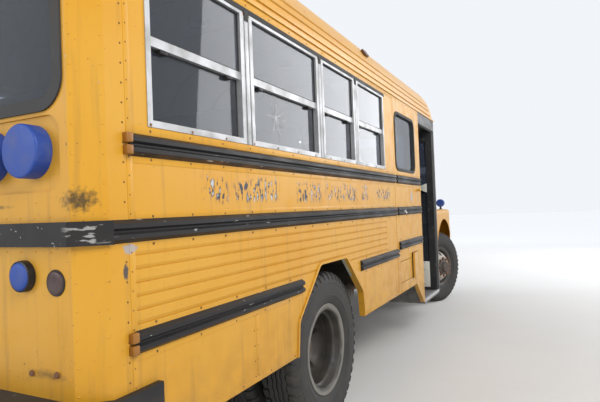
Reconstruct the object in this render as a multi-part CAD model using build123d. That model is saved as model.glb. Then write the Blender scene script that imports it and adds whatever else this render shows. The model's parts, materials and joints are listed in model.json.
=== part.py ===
"""School bus with a short body on a long-nosed truck chassis, in millimetres.

X runs across the bus (its entry side is -X), Y runs along it (its nose is at -Y), Z is up.
The origin is on the ground under the middle of the bus. The bus stands as it parks: front
wheels steered to the entry side, entry door folded open, one small hatch ajar.
Heights build up from the tyres: tyre radius, frame rails, floor, then the body on the floor.
"""
import math
import os

from build123d import *

# Driving sizes of the whole bus
HALF_WIDTH = 1220.0
REAR_Y = 3610.0
TYRE_R = 505.0
WHEELBASE = 4580.0
REAR_AXLE_Y = 1690.0
FRONT_AXLE_Y = REAR_AXLE_Y - WHEELBASE
WALL = 40.0

# Clearances
FIT = 0.3
RUNNING = 0.05
TOUCH = 0.05
PANEL_GAP = 6.0
OVER = 1.0
FAR = 9000.0

# Frame rails and floor
RAIL_LOW_Z = TYRE_R + 105.0
RAIL_TALL = 250.0
RAIL_TOP_Z = RAIL_LOW_Z + RAIL_TALL
RAIL_OUT_X = 432.0
RAIL_FLANGE = 75.0
RAIL_THICK = 8.0
SILL_TALL = 100.0
SILL_WIDE = 50.0
SILL_END = 70.0
FLOOR_THICK = 30.0
FLOOR_Z = RAIL_TOP_Z + SILL_TALL + FLOOR_THICK

# Body shell heights above the floor, and its plan
SKIRT_Z = FLOOR_Z - 380.0
EAVE_Z = FLOOR_Z + 1465.0
CROWN_Z = EAVE_Z + 595.0
CORNER_CUT_X = 90.0
CORNER_CUT_Y = 76.0
CORNER_X = HALF_WIDTH - CORNER_CUT_X
CORNER_Y = REAR_Y - CORNER_CUT_Y
SEAM_Y = REAR_Y - 160.0
CORNER_TURN = math.atan2(CORNER_CUT_X, CORNER_CUT_Y)
COWL_Y = -1800.0
COWL_HALF = HALF_WIDTH - 60.0
WALL_END_Y = COWL_Y + 210.0
PANEL_SEAM_Y = 180.0
PANEL_SEAM_HALF = 22.0
INNER_X = HALF_WIDTH - WALL

# Roof section and its end curves
ROOF_HALF = HALF_WIDTH - 25.0
ROOF_THICK = 45.0
SHOULDER_R = 540.0
ROOF_END_R = 300.0
ROOF_FRONT_Y = COWL_Y + 150.0
DRIP_OUT = 34.0
DRIP_TALL = 18.0
DRIP_SUNK = 20.0
DRIP_FRONT = 60.0
DRIP_REAR = 20.0
RIB_COUNT = 3
RIB_PITCH = 62.0
RIB_START = 70.0
RIB_HALF = 11.0
RIB_OUT = 9.0
RIB_SUNK = 4.0
RIB_FRONT = 120.0
RIB_REAR = 250.0

# Side windows: distance of each post from the rear face
WINDOW_POSTS = tuple(REAR_Y - back for back in (265.0, 947.0, 1800.0, 2442.0, 3130.0))
POST_WIDE = 56.0
WINDOW_LOW_Z = FLOOR_Z + 760.0
WINDOW_TOP_Z = EAVE_Z - 55.0
SASH_SPLIT_Z = (WINDOW_LOW_Z + WINDOW_TOP_Z) / 2
FRAME_WIDE = 26.0
FRAME_DEEP = 46.0
FRAME_PROUD = 4.0
SASH_RAIL = 36.0
UPPER_PANE_DEEP = 12.0
LOWER_PANE_DEEP = 30.0
PANE = 6.0
FIXED_REAR_Y = PANEL_SEAM_Y - 35.0
FIXED_FRONT_Y = -560.0
FIXED_LOW_Z = FLOOR_Z + 780.0
FIXED_TOP_Z = FLOOR_Z + 1320.0
FIXED_R = 85.0
FIXED_PANE_DEEP = 15.0
GASKET_WIDE = 22.0
SIDE_GASKET = 13.0
GASKET_OUT = 8.0
DRIVER_REAR_Y = -700.0
DRIVER_FRONT_Y = WALL_END_Y + 110.0
DRIVER_LOW_Z = WINDOW_LOW_Z - 60.0
DRIVER_PANE_DEEP = 20.0

# Entry door: two leaves folded at the front post, and the opening that they close
LEAF_LENGTH = 350.0
LEAF_THICK = 35.0
LEAF_PROUD = 8.0
LEAF_STILE = 75.0
LEAF_EDGE = 3.0
LEAF_PIN_OVER = 4.0
LEAF_PIN_R = 4.0
LEAF_LUG_R = 7.0
LEAF_LUG_TALL = 26.0
LUG_INSET = 14.0
LUG_GAP = 1.0
DOOR_FRONT_Y = WALL_END_Y + 40.0
LEAF_PIVOT_Y = DOOR_FRONT_Y + 50.0
LEAF_PIVOT_X = -HALF_WIDTH + 7.0
DOOR_REAR_Y = LEAF_PIVOT_Y + 2 * LEAF_LENGTH + 10.0
DOOR_LOW_Z = FLOOR_Z - 620.0
DOOR_TOP_Z = FLOOR_Z + 1340.0
LEAF_LOW_Z = DOOR_LOW_Z + 30.0
LEAF_TOP_Z = DOOR_TOP_Z - 12.0
LEAF_GLASS_LOW_Z = LEAF_LOW_Z + 240.0
LEAF_GLASS_TOP_Z = LEAF_TOP_Z - 118.0
LEAF_HINGES = (LEAF_LOW_Z + 120.0, LEAF_TOP_Z - 138.0)
NOTCH_FOOT_Y = DOOR_REAR_Y + 35.0
NOTCH_Y = NOTCH_FOOT_Y + 275.0

# Steps: distance of each riser from the outer wall, and the rise between treads
STEP_FIRST = LEAF_LENGTH + 35.0
STEP_LAST = HALF_WIDTH - RAIL_OUT_X - 4.0
STEP_RISERS = (STEP_FIRST, (STEP_FIRST + STEP_LAST) / 2, STEP_LAST)
STEP_PLATE = 4.0
STEP_LOW_Z = FLOOR_Z - 605.0
STEP_RISE = (FLOOR_Z - STEP_LOW_Z) / len(STEP_RISERS)
STEP_FOOT = 40.0
STEP_BACK_X = STEP_FIRST - HALF_WIDTH + 35.0
STEP_BACK_Z = FLOOR_Z - 230.0
STEP_SIDE = 1.0

# Rear wheel arch from the axle's middle, and the box over the wheels
ARCH_FOOT = TYRE_R + 40.0
ARCH_KNEE = TYRE_R + 15.0
ARCH_KNEE_Z = TYRE_R + 295.0
ARCH_TOP = 215.0
ARCH_TOP_Z = 2 * TYRE_R + 72.0
ARCH_R = 70.0
ARCH_LIP = 16.0
ARCH_LIP_OUT = 8.0
BOX_HALF_Y = TYRE_R + 70.0
BOX_SHOULDER_Z = FLOOR_Z + 10.0
BOX_TOP_HALF_Y = TYRE_R - 85.0
BOX_TOP_Z = 2 * TYRE_R + 110.0
BOX_THICK = 5.0

# Fluted panel
FLUTE_COUNT = 6
FLUTE_LOW_Z = FLOOR_Z + 60.0
FLUTE_PITCH = 48.0
FLUTE_DEEP = 5.0
FLUTE_TALL = 14.0
FLUTE_FRONT_Y = 510.0

# Rub rails: section, then height, rear end and front end of each
RUB_TALL = 80.0
RUB_OUT = 22.0
RUB_VALLEY = 9.0
RUB_SECTION = ((0.0, 0.0), (16.0, 0.12), (RUB_OUT, 0.18), (RUB_OUT, 0.36), (RUB_VALLEY, 0.46))
RUB_FRONT_Y = DOOR_REAR_Y + 50.0
RUB_REAR_Y = SEAM_Y - 10.0
RUB_WRAP_Z = FLOOR_Z + 347.0
RAIL_A_Z = FLOOR_Z + 647.0
RAIL_C_Z = FLOOR_Z - 39.0
RAIL_D_Z = FLOOR_Z + 23.0
RAIL_ROWS = (
    (RAIL_A_Z, RUB_REAR_Y, PANEL_SEAM_Y + PANEL_SEAM_HALF),
    (RAIL_A_Z, PANEL_SEAM_Y - PANEL_SEAM_HALF, RUB_FRONT_Y),
    (RUB_WRAP_Z, CORNER_Y, PANEL_SEAM_Y + PANEL_SEAM_HALF),
    (RUB_WRAP_Z, PANEL_SEAM_Y - PANEL_SEAM_HALF, RUB_FRONT_Y),
    (RAIL_C_Z, RUB_REAR_Y, REAR_AXLE_Y + TYRE_R - 35.0),
    (RAIL_C_Z, REAR_AXLE_Y - TYRE_R + 5.0, PANEL_SEAM_Y + 10.0),
    (RAIL_D_Z, PANEL_SEAM_Y - 50.0, RUB_FRONT_Y),
)

# Rear wall, its windows and its door
REAR_WALL_LOW_Z = SKIRT_Z + 30.0
REAR_DOOR_HALF = 320.0
REAR_DOOR_LOW_Z = FLOOR_Z - 55.0
REAR_DOOR_TOP_Z = FLOOR_Z + 1340.0
REAR_DOOR_STILE = 70.0
REAR_DOOR_PANE_R = 60.0
REAR_DOOR_PANES = ((FLOOR_Z + 70.0, FLOOR_Z + 310.0), (FLOOR_Z + 820.0, FLOOR_Z + 1270.0))
REAR_WINDOW_IN_X = REAR_DOOR_HALF + 110.0
REAR_WINDOW_OUT_X = CORNER_X - 38.0
REAR_WINDOW_LOW_Z = FLOOR_Z + 820.0
REAR_WINDOW_TOP_Z = FLOOR_Z + 1360.0
REAR_WINDOW_R = 90.0
REAR_PANE_DEEP = 20.0
RECESS_DEEP = 8.0
RECESS_IN_X = REAR_DOOR_HALF + 280.0
RECESS_OUT_X = CORNER_X - 40.0
RECESS_LOW_Z = FLOOR_Z + 530.0
RECESS_TOP_Z = FLOOR_Z + 785.0
RECESS_R = 60.0
HINGE_PIN_R = 6.0
HINGE_BARREL_R = 12.0
HINGE_TALL = 90.0
HINGE_EAR = 11.0
HINGE_GAP = 1.0
HINGE_STRAP = 10.0
HINGE_STANDOFF = 18.0
HINGE_X = -(REAR_DOOR_HALF + 2 * PANEL_GAP)
HINGE_Y = REAR_Y + HINGE_STANDOFF
HINGE_ROWS = (FLOOR_Z + 100.0, FLOOR_Z + 570.0, FLOOR_Z + 1190.0)
STRAP_START_X = -REAR_DOOR_HALF + 10.0
STRAP_END_X = -REAR_DOOR_HALF + 90.0
RUB_DOOR_GAP = 32.0
RUB_DOOR_END = 12.0
RUB_STRAP_ROOM = 60.0
HANDLE_Z = FLOOR_Z + 280.0
HANDLE_TALL = 40.0
HANDLE_OUT = 45.0
HANDLE_PLATE = 12.0
HANDLE_LONG = 130.0
HANDLE_BASE = 90.0
HANDLE_IN = 20.0

# Lamps: distance in from the corner, height above the floor, radius, how far they stand out
REAR_LAMPS = (
    (175.0, 667.0, 91.0, 52.0),
    (395.0, 667.0, 91.0, 52.0),
    (230.0, 247.0, 54.0, 34.0),
)
REFLECTORS = ((75.0, 228.0, 44.0, 10.0),)
MARKER_YS = (600.0,)
MARKER_TURN = 33.0
MARKER_SIZE = (60.0, 100.0, 24.0)
HEAD_LAMP_IN = 350.0
HEAD_LAMP_Z = FLOOR_Z + 30.0
HEAD_LAMP_R = 92.0
HEAD_LAMP_OUT = 28.0
FENDER_LAMP_IN = 80.0
FENDER_LAMP_Y = FRONT_AXLE_Y - 210.0
FENDER_LAMP_R = 58.0
FENDER_LAMP_LONG = 80.0
FENDER_LAMP_STEM = 15.0
FENDER_LAMP_RISE = 95.0
WARNING_LAMP_XS = (560.0, 815.0)
WARNING_LAMP_R = 88.0
WARNING_LAMP_OUT = 42.0
WARNING_LAMP_Z = EAVE_Z + 165.0

# Bumpers
BUMPER_PLATE = 8.0
REAR_BUMPER_Y = REAR_Y + 130.0
REAR_BUMPER_LOW_Z = FLOOR_Z - 390.0
REAR_BUMPER_TOP_Z = FLOOR_Z - 158.0
REAR_BUMPER_END_Y = CORNER_Y - 204.0
REAR_BUMPER_OUT = 26.0
BUMPER_BOLT_R = 9.0
BUMPER_BOLT_X = RAIL_OUT_X - 42.0

# Nose: fenders, hood, grille and front bumper
FENDER_HALF = HALF_WIDTH - 170.0
FENDER_IN_X = RAIL_OUT_X + 33.0
FENDER_TOP_Z = FLOOR_Z + 360.0
FENDER_LOW_Z = RAIL_LOW_Z + 30.0
FENDER_FRONT_Y = FRONT_AXLE_Y - 670.0
FENDER_SKIN = 8.0
FENDER_ARCH_R = TYRE_R + 55.0
FENDER_ARCH_Z = TYRE_R + 145.0
FENDER_ARCH_DEEP = 160.0
FENDER_NOSE_R = 260.0
FENDER_PLAN_R = 250.0
FENDER_EDGE_R = 70.0
FENDER_REAR_GAP = TOUCH
FENDER_OPEN = 10.0
FENDER_SADDLE = 50.0
FENDER_SADDLE_Z = RAIL_TOP_Z + 10.0
COWL_Z = FLOOR_Z + 610.0
HOOD_BACK_HALF = 620.0
HOOD_NOSE_HALF = 480.0
HOOD_NOSE_Y = FENDER_FRONT_Y + 15.0
HOOD_BACK_Z = COWL_Z - 10.0
HOOD_NOSE_Z = COWL_Z - 100.0
HOOD_SIDE_Z = FENDER_TOP_Z + PANEL_GAP
HOOD_THICK = 12.0
HOOD_EDGE_R = 110.0
HOOD_CROWN = 24.0
HOOD_HINGES = (-330.0, 330.0)
HOOD_BARREL_R = 12.0
HOOD_BARREL_HALF = 40.0
HOOD_EAR = 11.0
HOOD_STRAP = 60.0
HOOD_STRAP_THICK = 8.0
HOOD_PIN_Y = COWL_Y - 22.0
HOOD_PIN_Z = HOOD_BACK_Z + HOOD_BARREL_R - 2.0
GRILLE_Y = FENDER_FRONT_Y - 40.0
GRILLE_DEEP = 45.0
GRILLE_HALF = FENDER_IN_X - PANEL_GAP
GRILLE_LOW_Z = RAIL_TOP_Z
GRILLE_TOP_Z = HOOD_NOSE_Z - 15.0
GRILLE_EDGE = 40.0
GRILLE_HEAD = 60.0
GRILLE_BARS = 9
GRILLE_BAR_TALL = 18.0
GRILLE_BAR_DEEP = 24.0
RAIL_FRONT_Y = GRILLE_Y - 80.0
FRONT_BUMPER_Y = RAIL_FRONT_Y - 60.0
FRONT_BUMPER_HALF = FENDER_HALF
FRONT_BUMPER_LOW_Z = RAIL_LOW_Z - 110.0
FRONT_BUMPER_TOP_Z = RAIL_LOW_Z + 130.0
FRONT_BUMPER_TURN = 60.0
FRONT_BUMPER_BACK = 120.0
BUMPER_BOLT_Z = FRONT_BUMPER_TOP_Z - 60.0

# Cowl and windscreen
SCREEN_TOP_Y = COWL_Y + 160.0
SCREEN_POST = 22.0
SCREEN_SIDE = COWL_HALF - 75.0
SCREEN_LOW_Z = COWL_Z + 60.0
SCREEN_TOP_Z = EAVE_Z - 115.0
SCREEN_INSET = 10.0
SCREEN_SKIN = 22.0
SCREEN_CUT = 50.0

# Chassis
RAIL_REAR_Y = REAR_BUMPER_Y - BUMPER_PLATE
RAIL_TAPER_Y = REAR_Y - 110.0
RAIL_TAPER_Z = RAIL_TOP_Z - 70.0
CROSS_MEMBERS = (REAR_Y - 310.0, 2450.0, 900.0, -100.0, -1100.0, RAIL_FRONT_Y + 200.0)
CROSS_WIDE = 80.0
CROSS_LOW_Z = RAIL_LOW_Z + 90.0
CROSS_TOP_Z = RAIL_TOP_Z - 30.0

# Leaf springs
LEAF_COUNT = 4
LEAF_PLATE = 15.0
LEAF_SHORTER = 0.2
LEAF_FLAT = 1.0
EYE_R = 26.0
SPRING_WIDE = 75.0
REAR_EYE = 620.0
REAR_SPRING_IN = RAIL_OUT_X + 8.0
REAR_SPRING_OUT = REAR_SPRING_IN + SPRING_WIDE
REAR_SPRING_SEAT_Z = TYRE_R + 70.0
REAR_EYE_Z = RAIL_LOW_Z + 80.0
FRONT_EYE = 560.0
FRONT_SPRING_OUT = RAIL_OUT_X
FRONT_SPRING_IN = FRONT_SPRING_OUT - SPRING_WIDE
FRONT_SPRING_SEAT_Z = TYRE_R - 53.0
FRONT_EYE_Z = RAIL_LOW_Z - EYE_R - FIT
SPRING_SEAT_HALF = 60.0
HANGER_HALF = 30.0
HANGER_TALL = 60.0

# Wheels
TYRE_WIDTH = 256.0
TYRE_SHOULDER = 50.0
TYRE_TREAD = 24.0
TYRE_BEAD = FIT
TYRE_BELLY = 14.0
TYRE_CHAFE = 42.0
TYRE_WALL_UP = 105.0
RIM_FLANGE_R = 290.0
RIM_SEAT_R = 254.0
RIM_HALF = 95.0
RIM_LIP = 12.0
RIM_WELL_R = 236.0
RIM_WELL_HALF = 45.0
RIM_WALL = 9.0
DISC_THICK = 12.0
DISC_OFFSET = TYRE_WIDTH / 2 + 27.0
DISC_BORE_R = 111.0
DISC_DISH = 26.0
BOLT_FACE_R = 140.0
HAND_HOLES = 5
HAND_HOLE_R = 28.0
HAND_HOLE_SIDES = 8
HAND_HOLE_CIRCLE = 185.0
HUB_R = 80.0
HUB_FLANGE = 22.0
HUB_PILOT_R = 110.0
HUB_CORE_R = 0.5
HUB_END_GAP = 6.0
FRONT_CAP_LONG = 76.0
FRONT_CAP_R = 66.0
REAR_HUB_IN = 190.0
REAR_HUB_MORE = 10.0
REAR_CAP_STEP = 48.0
REAR_CAP_LONG = 112.0
REAR_CAP_R = 66.0
DRUM_R = 185.0
DRUM_WALL = 22.0
DRUM_BACK = 13.0
DRUM_LAP = 5.0
FRONT_DRUM_IN = 34.0
FRONT_DRUM_OUT = 110.0
REAR_DRUM_IN = 250.0
REAR_DRUM_OUT = 120.0
REAR_DRUM_MORE = 20.0
REAR_TYRE_OUT = HALF_WIDTH - 48.0
REAR_MOUNT_X = REAR_TYRE_OUT - TYRE_WIDTH / 2 - DISC_OFFSET
BOX_IN_X = REAR_MOUNT_X - DISC_OFFSET - TYRE_WIDTH / 2 - 46.0

# Front axle and steering
KINGPIN_X = HALF_WIDTH - 420.0
KINGPIN_R = 20.0
SCRUB = 90.0
STEER_DEG = -22.0
BEAM_TOP_Z = FRONT_SPRING_SEAT_Z - 2.0
BEAM_LOW_Z = BEAM_TOP_Z - 80.0
BEAM_HALF = 45.0
BEAM_KNEE_IN = 240.0
BEAM_SLIP = 40.0
BEAM_END_IN = 80.0
BEAM_END_HALF = 60.0
BOSS_R = 38.0
BOSS_HALF = 75.0
BOSS_GAP = 12.0
EAR_TALL = 30.0
EAR_GAP = 5.0
EAR_REACH = 60.0
WEB_HALF = 45.0
WEB_IN = BOSS_R + 10.0
WEB_OUT = 70.0
SPINDLE_R = 32.0
SPINDLE_SHORT = 35.0
HUB_IN = 78.0
ARM_REACH = 140.0
ARM_HALF = 18.0
TIE_PIN_R = 12.0
TIE_PIN_OVER = 8.0
TIE_EYE_R = 26.0
TIE_EYE_TALL = 30.0
TIE_EYE_GAP = 3.0
TIE_ROD_R = 13.0

# Rear axle
REAR_SPINDLE_R = 46.0
REAR_SPINDLE_IN = 30.0
HOUSING_R = 62.0
HOUSING_IN = 180.0
DIFF_R = 175.0
DIFF_HALF = 55.0
DIFF_COVER_R = 100.0
DIFF_COVER = 55.0
PINION_R = 62.0
PINION_Y = REAR_AXLE_Y - 250.0

# Engine, shaft, exhaust and tank
ENGINE_HALF = 270.0
ENGINE_FRONT_Y = FRONT_AXLE_Y - 410.0
ENGINE_REAR_Y = COWL_Y - 550.0
ENGINE_LOW_Z = RAIL_LOW_Z - 50.0
ENGINE_TOP_Z = FLOOR_Z + 240.0
GEARBOX_HALF = 170.0
GEARBOX_LOW_Z = RAIL_LOW_Z - 130.0
GEARBOX_TOP_Z = RAIL_TOP_Z - 40.0
GEARBOX_Y = COWL_Y + 320.0
TAIL_HOUSING = 200.0
TAIL_HOUSING_R = 70.0
TAIL_HOUSING_Z = TYRE_R + 60.0
SHAFT_R = 44.0
SHAFT_Z = TYRE_R + 10.0
EXHAUST_R = 30.0
EXHAUST_BEND = 120.0
EXHAUST_GAP = 14.0
EXHAUST_CROSS = 760.0
PIPE_LAP = 20.0
EXHAUST_X = -240.0
EXHAUST_Z = RAIL_LOW_Z - 55.0
MUFFLER_R = 105.0
MUFFLER_X = -620.0
MUFFLER_Z = RAIL_LOW_Z - 10.0
MUFFLER_REAR_Y = 660.0
MUFFLER_FRONT_Y = 60.0
HANGER_ROWS = (MUFFLER_FRONT_Y + 60.0, MUFFLER_REAR_Y - 60.0)
HANGER_WIDE = 40.0
HANGER_THICK = 8.0
TAIL_STRAIGHT = 170.0
TAIL_OVER = 105.0
TAIL_DOWN = 705.0
TAIL_SHORT = 40.0
TAIL_X = -(REAR_SPRING_OUT + EXHAUST_R + 11.0)
TAIL_Z = TYRE_R + HOUSING_R + 75.0
TAIL_END_Z = REAR_BUMPER_LOW_Z - 55.0
TANK_OUT_X = HALF_WIDTH - 220.0
TANK_REAR_Y = 850.0
TANK_FRONT_Y = -100.0
TANK_LOW_Z = RAIL_LOW_Z - 70.0
TANK_TOP_Z = RAIL_TOP_Z - 10.0
TANK_R = 60.0

# Floor sills: place along the bus, half length
SILL_HALF = HALF_WIDTH - SILL_END
SHORT_SILL_HALF = BOX_IN_X - 20.0
SILLS = (
    (REAR_Y - 210.0, SILL_HALF),
    (2800.0, SILL_HALF),
    (2360.0, SILL_HALF),
    (REAR_AXLE_Y, SHORT_SILL_HALF),
    (1020.0, SILL_HALF),
    (420.0, SILL_HALF),
    (-180.0, SILL_HALF),
    (-700.0, SILL_HALF),
    (-1180.0, SILL_HALF),
)

# Benches and driver's place
BENCH_COUNT = 5
BENCH_FIRST_Y = 270.0
BENCH_PITCH = 720.0
BENCH_IN_X = 205.0
BENCH_OUT_X = INNER_X - 15.0
BENCH_DEEP = 400.0
CUSHION_LOW_Z = FLOOR_Z + 316.0
CUSHION_TALL = 120.0
CUSHION_GAP = 6.0
BACK_TALL = 540.0
BACK_THICK = 90.0
SEAT_TUBE = 25.0
SEAT_LEG_IN = 60.0
SEAT_LEG_SPREAD = 150.0
SEAT_POST_IN = 100.0
SEAT_POST_BACK = 30.0
DRIVER_X = 640.0
DRIVER_Y = -880.0
DRIVER_HALF = 230.0
DRIVER_PEDESTAL = 150.0
DRIVER_PEDESTAL_TALL = 260.0
DRIVER_PAN_Z = FLOOR_Z + DRIVER_PEDESTAL_TALL + 30.0
DRIVER_PAN_REAR = 220.0
DRIVER_CUSHION = 110.0
DRIVER_BACK_TALL = 620.0
DRIVER_BACK_THICK = 90.0
DRIVER_CUSHION_FRONT = 240.0
DRIVER_CUSHION_REAR = 130.0
WHEEL_Y = COWL_Y + 430.0
WHEEL_Z = FLOOR_Z + 480.0
WHEEL_R = 230.0
WHEEL_TUBE_R = 14.0
WHEEL_SIDES = 6
WHEEL_TILT = 32.0
WHEEL_HUB_R = 45.0
WHEEL_HUB_LOW = 24.0
WHEEL_HUB_TOP = 16.0
SPOKE_WIDE = 22.0
SPOKE_THICK = 10.0
COLUMN_R = 28.0
COLUMN_LONG = 620.0
DASH_IN_X = -780.0
DASH_LOW_Z = FLOOR_Z + 250.0
DASH_DEEP = 240.0
DASH_LIP = 80.0
DASH_FOOT = 90.0
DASH_LEAN = 40.0
DASH_BROW = 70.0
DASH_TOP = 120.0

# Hatches in the entry-side skirt: rear edge, front edge, low edge, top edge
BATTERY_HATCH = (120.0, -280.0, SKIRT_Z + 90.0, SKIRT_Z + 295.0)
SIDE_HATCH = (-310.0, -590.0, SKIRT_Z + 80.0, SKIRT_Z + 340.0)
HATCH_THICK = 18.0
HATCH_PIN_R = 4.0
HATCH_PIN_DEEP = 30.0
HATCH_PIN_END = 2.0
HATCH_EDGE = 9.0
HATCH_AJAR_DEG = 6.0
HATCH_X = -HALF_WIDTH + HATCH_EDGE

OUT = "parts"
SIDES = (-1.0, 1.0)

os.makedirs(OUT, exist_ok=True)


def block(x0, x1, y0, y1, z0, z1):
    """Box between two corners, given in any order."""
    size = Box(abs(x1 - x0), abs(y1 - y0), abs(z1 - z0))
    return Pos((x0 + x1) / 2, (y0 + y1) / 2, (z0 + z1) / 2) * size


def side_draw(face, x0, x1):
    """Face in Y and Z, drawn out across the bus from x0 to x1."""
    return extrude(Plane.YZ.offset(min(x0, x1)) * face, amount=abs(x1 - x0))


def front_draw(face, y0, y1):
    """Face in X and Z, drawn out along the bus from y0 to y1."""
    return extrude(Plane.XZ.offset(-max(y0, y1)) * face, amount=abs(y1 - y0))


def side_prism(points, x0, x1):
    """Outline in Y and Z, drawn out across the bus from x0 to x1."""
    return side_draw(make_face(Polyline(*points, close=True)), x0, x1)


def front_prism(points, y0, y1):
    """Outline in X and Z, drawn out along the bus from y0 to y1."""
    return front_draw(make_face(Polyline(*points, close=True)), y0, y1)


def plan_prism(points, z0, z1):
    """Outline in X and Y, drawn up from z0 to z1."""
    face = make_face(Polyline(*points, close=True))
    return extrude(Plane.XY.offset(z0) * face, amount=z1 - z0)


def rounded_side(y0, y1, z0, z1, x0, x1, radius):
    """Rounded rectangle seen from the side, drawn from x0 to x1."""
    face = RectangleRounded(abs(y1 - y0), abs(z1 - z0), radius)
    return side_draw(Pos((y0 + y1) / 2, (z0 + z1) / 2) * face, x0, x1)


def rounded_rear(x0, x1, z0, z1, y0, y1, radius):
    """Rounded rectangle seen from the rear, drawn from y0 to y1."""
    face = RectangleRounded(abs(x1 - x0), abs(z1 - z0), radius)
    return front_draw(Pos((x0 + x1) / 2, (z0 + z1) / 2) * face, y0, y1)


def across(radius, x0, x1, y, z):
    """Round bar across the bus."""
    return Pos((x0 + x1) / 2, y, z) * Rot(0, 90, 0) * Cylinder(radius, abs(x1 - x0))


def along(radius, y0, y1, x, z):
    """Round bar along the bus."""
    return Pos(x, (y0 + y1) / 2, z) * Rot(90, 0, 0) * Cylinder(radius, abs(y1 - y0))


def upright(radius, z0, z1, x, y):
    """Round bar standing up."""
    return Pos(x, y, (z0 + z1) / 2) * Cylinder(radius, abs(z1 - z0))


def mirrored(points):
    """Half outline on the positive side, followed by its mirror image."""
    return list(points) + [(-p[0], p[1]) for p in reversed(points)]


def both_sides(shape):
    """A piece of the driver's side and its mirror image."""
    return [mirror(shape, about=Plane.YZ), shape]


def write(name, *shapes):
    """Write all solids of one node to its STEP file."""
    solids = [solid for shape in shapes for solid in shape.solids()]
    export_step(Compound(children=solids), os.path.join(OUT, name + ".step"))


# Body shell

def corner_plan(inset):
    """Plan of one angled rear corner, moved in by the inset on all its sides."""
    slip_y = inset * math.tan(CORNER_TURN / 2)
    slip_x = inset * math.tan(math.pi / 4 - CORNER_TURN / 2)
    return [(HALF_WIDTH - inset, CORNER_Y - slip_y), (CORNER_X - slip_x, REAR_Y - inset)]


def arch_form(grow, x0, x1):
    """Rear wheel arch drawn across the wall, its upper corners rounded."""
    half = [
        (ARCH_FOOT + grow, 0.0),
        (ARCH_FOOT + grow, SKIRT_Z),
        (ARCH_KNEE + grow, ARCH_KNEE_Z),
        (ARCH_TOP + grow / 2, ARCH_TOP_Z + grow),
    ]
    face = make_face(Polyline(*[(REAR_AXLE_Y + y, z) for y, z in mirrored(half)], close=True))
    corners = [vertex for vertex in face.vertices() if vertex.Y > SKIRT_Z + OVER]
    return side_draw(fillet(corners, ARCH_R), x0, x1)


def wall_outline(side):
    """Side wall outline; the entry side ends at the doorway, with its foot over the steps."""
    if side > 0:
        return [(SEAM_Y, SKIRT_Z), (SEAM_Y, EAVE_Z), (WALL_END_Y, EAVE_Z), (WALL_END_Y, SKIRT_Z)]
    points = [(SEAM_Y, SKIRT_Z), (SEAM_Y, EAVE_Z), (DOOR_REAR_Y, EAVE_Z), (DOOR_REAR_Y, DOOR_LOW_Z)]
    return points + [(NOTCH_FOOT_Y, DOOR_LOW_Z), (NOTCH_Y, SKIRT_Z)]


def flutes(side):
    """Wedge grooves that give the lower panel its clapboard steps."""
    cuts = []
    for row in range(FLUTE_COUNT):
        z = FLUTE_LOW_Z + row * FLUTE_PITCH
        points = [
            (side * (HALF_WIDTH + OVER), z),
            (side * (HALF_WIDTH - FLUTE_DEEP), z),
            (side * HALF_WIDTH, z + FLUTE_TALL),
            (side * (HALF_WIDTH + OVER), z + FLUTE_TALL),
        ]
        cuts.append(front_prism(points, FLUTE_FRONT_Y, SEAM_Y + OVER))
    return cuts


def window_bays():
    """Rear edge and front edge of each sash window opening."""
    bays = []
    for rear, front in zip(WINDOW_POSTS, WINDOW_POSTS[1:]):
        rear_gap = 0.0 if rear == WINDOW_POSTS[0] else POST_WIDE / 2
        front_gap = 0.0 if front == WINDOW_POSTS[-1] else POST_WIDE / 2
        bays.append((rear - rear_gap, front + front_gap))
    return bays


def side_wall(side):
    """One side wall with its windows, wheel arch and hatches."""
    outer = side * HALF_WIDTH
    lip_x = side * (HALF_WIDTH + ARCH_LIP_OUT)
    far = side * (HALF_WIDTH + WALL)
    near = side * (INNER_X - WALL)
    wall = side_prism(wall_outline(side), side * INNER_X, outer)
    lip = arch_form(ARCH_LIP, outer, lip_x)
    wall += lip & block(outer, lip_x, -FAR, FAR, SKIRT_Z, EAVE_Z)
    wall -= arch_form(0.0, near, far)
    for rear, front in window_bays():
        wall -= block(near, far, front, rear, WINDOW_LOW_Z, WINDOW_TOP_Z)
    wall -= rounded_side(FIXED_REAR_Y, FIXED_FRONT_Y, FIXED_LOW_Z, FIXED_TOP_Z, near, far, FIXED_R)
    if side < 0:
        for rear, front, low, top in (BATTERY_HATCH, SIDE_HATCH):
            wall -= block(near, far, front, rear, low, top)
        wall += hatch_pins()
    else:
        wall -= block(near, far, DRIVER_FRONT_Y, DRIVER_REAR_Y, DRIVER_LOW_Z, WINDOW_TOP_Z)
    for cut in flutes(side):
        wall -= cut
    return wall


def entry_door_frame():
    """Header over the entry door and the post in front of it, with the door's upper pin."""
    outline = [
        (DOOR_REAR_Y, DOOR_TOP_Z),
        (DOOR_REAR_Y, EAVE_Z),
        (WALL_END_Y, EAVE_Z),
        (WALL_END_Y, DOOR_LOW_Z),
        (DOOR_FRONT_Y, DOOR_LOW_Z),
        (DOOR_FRONT_Y, DOOR_TOP_Z),
    ]
    frame = side_prism(outline, -HALF_WIDTH, -INNER_X)
    low = LEAF_TOP_Z - LEAF_LUG_TALL - LEAF_PIN_OVER
    return frame + upright(LEAF_PIN_R, low, DOOR_TOP_Z, LEAF_PIVOT_X, LEAF_PIVOT_Y)


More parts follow.
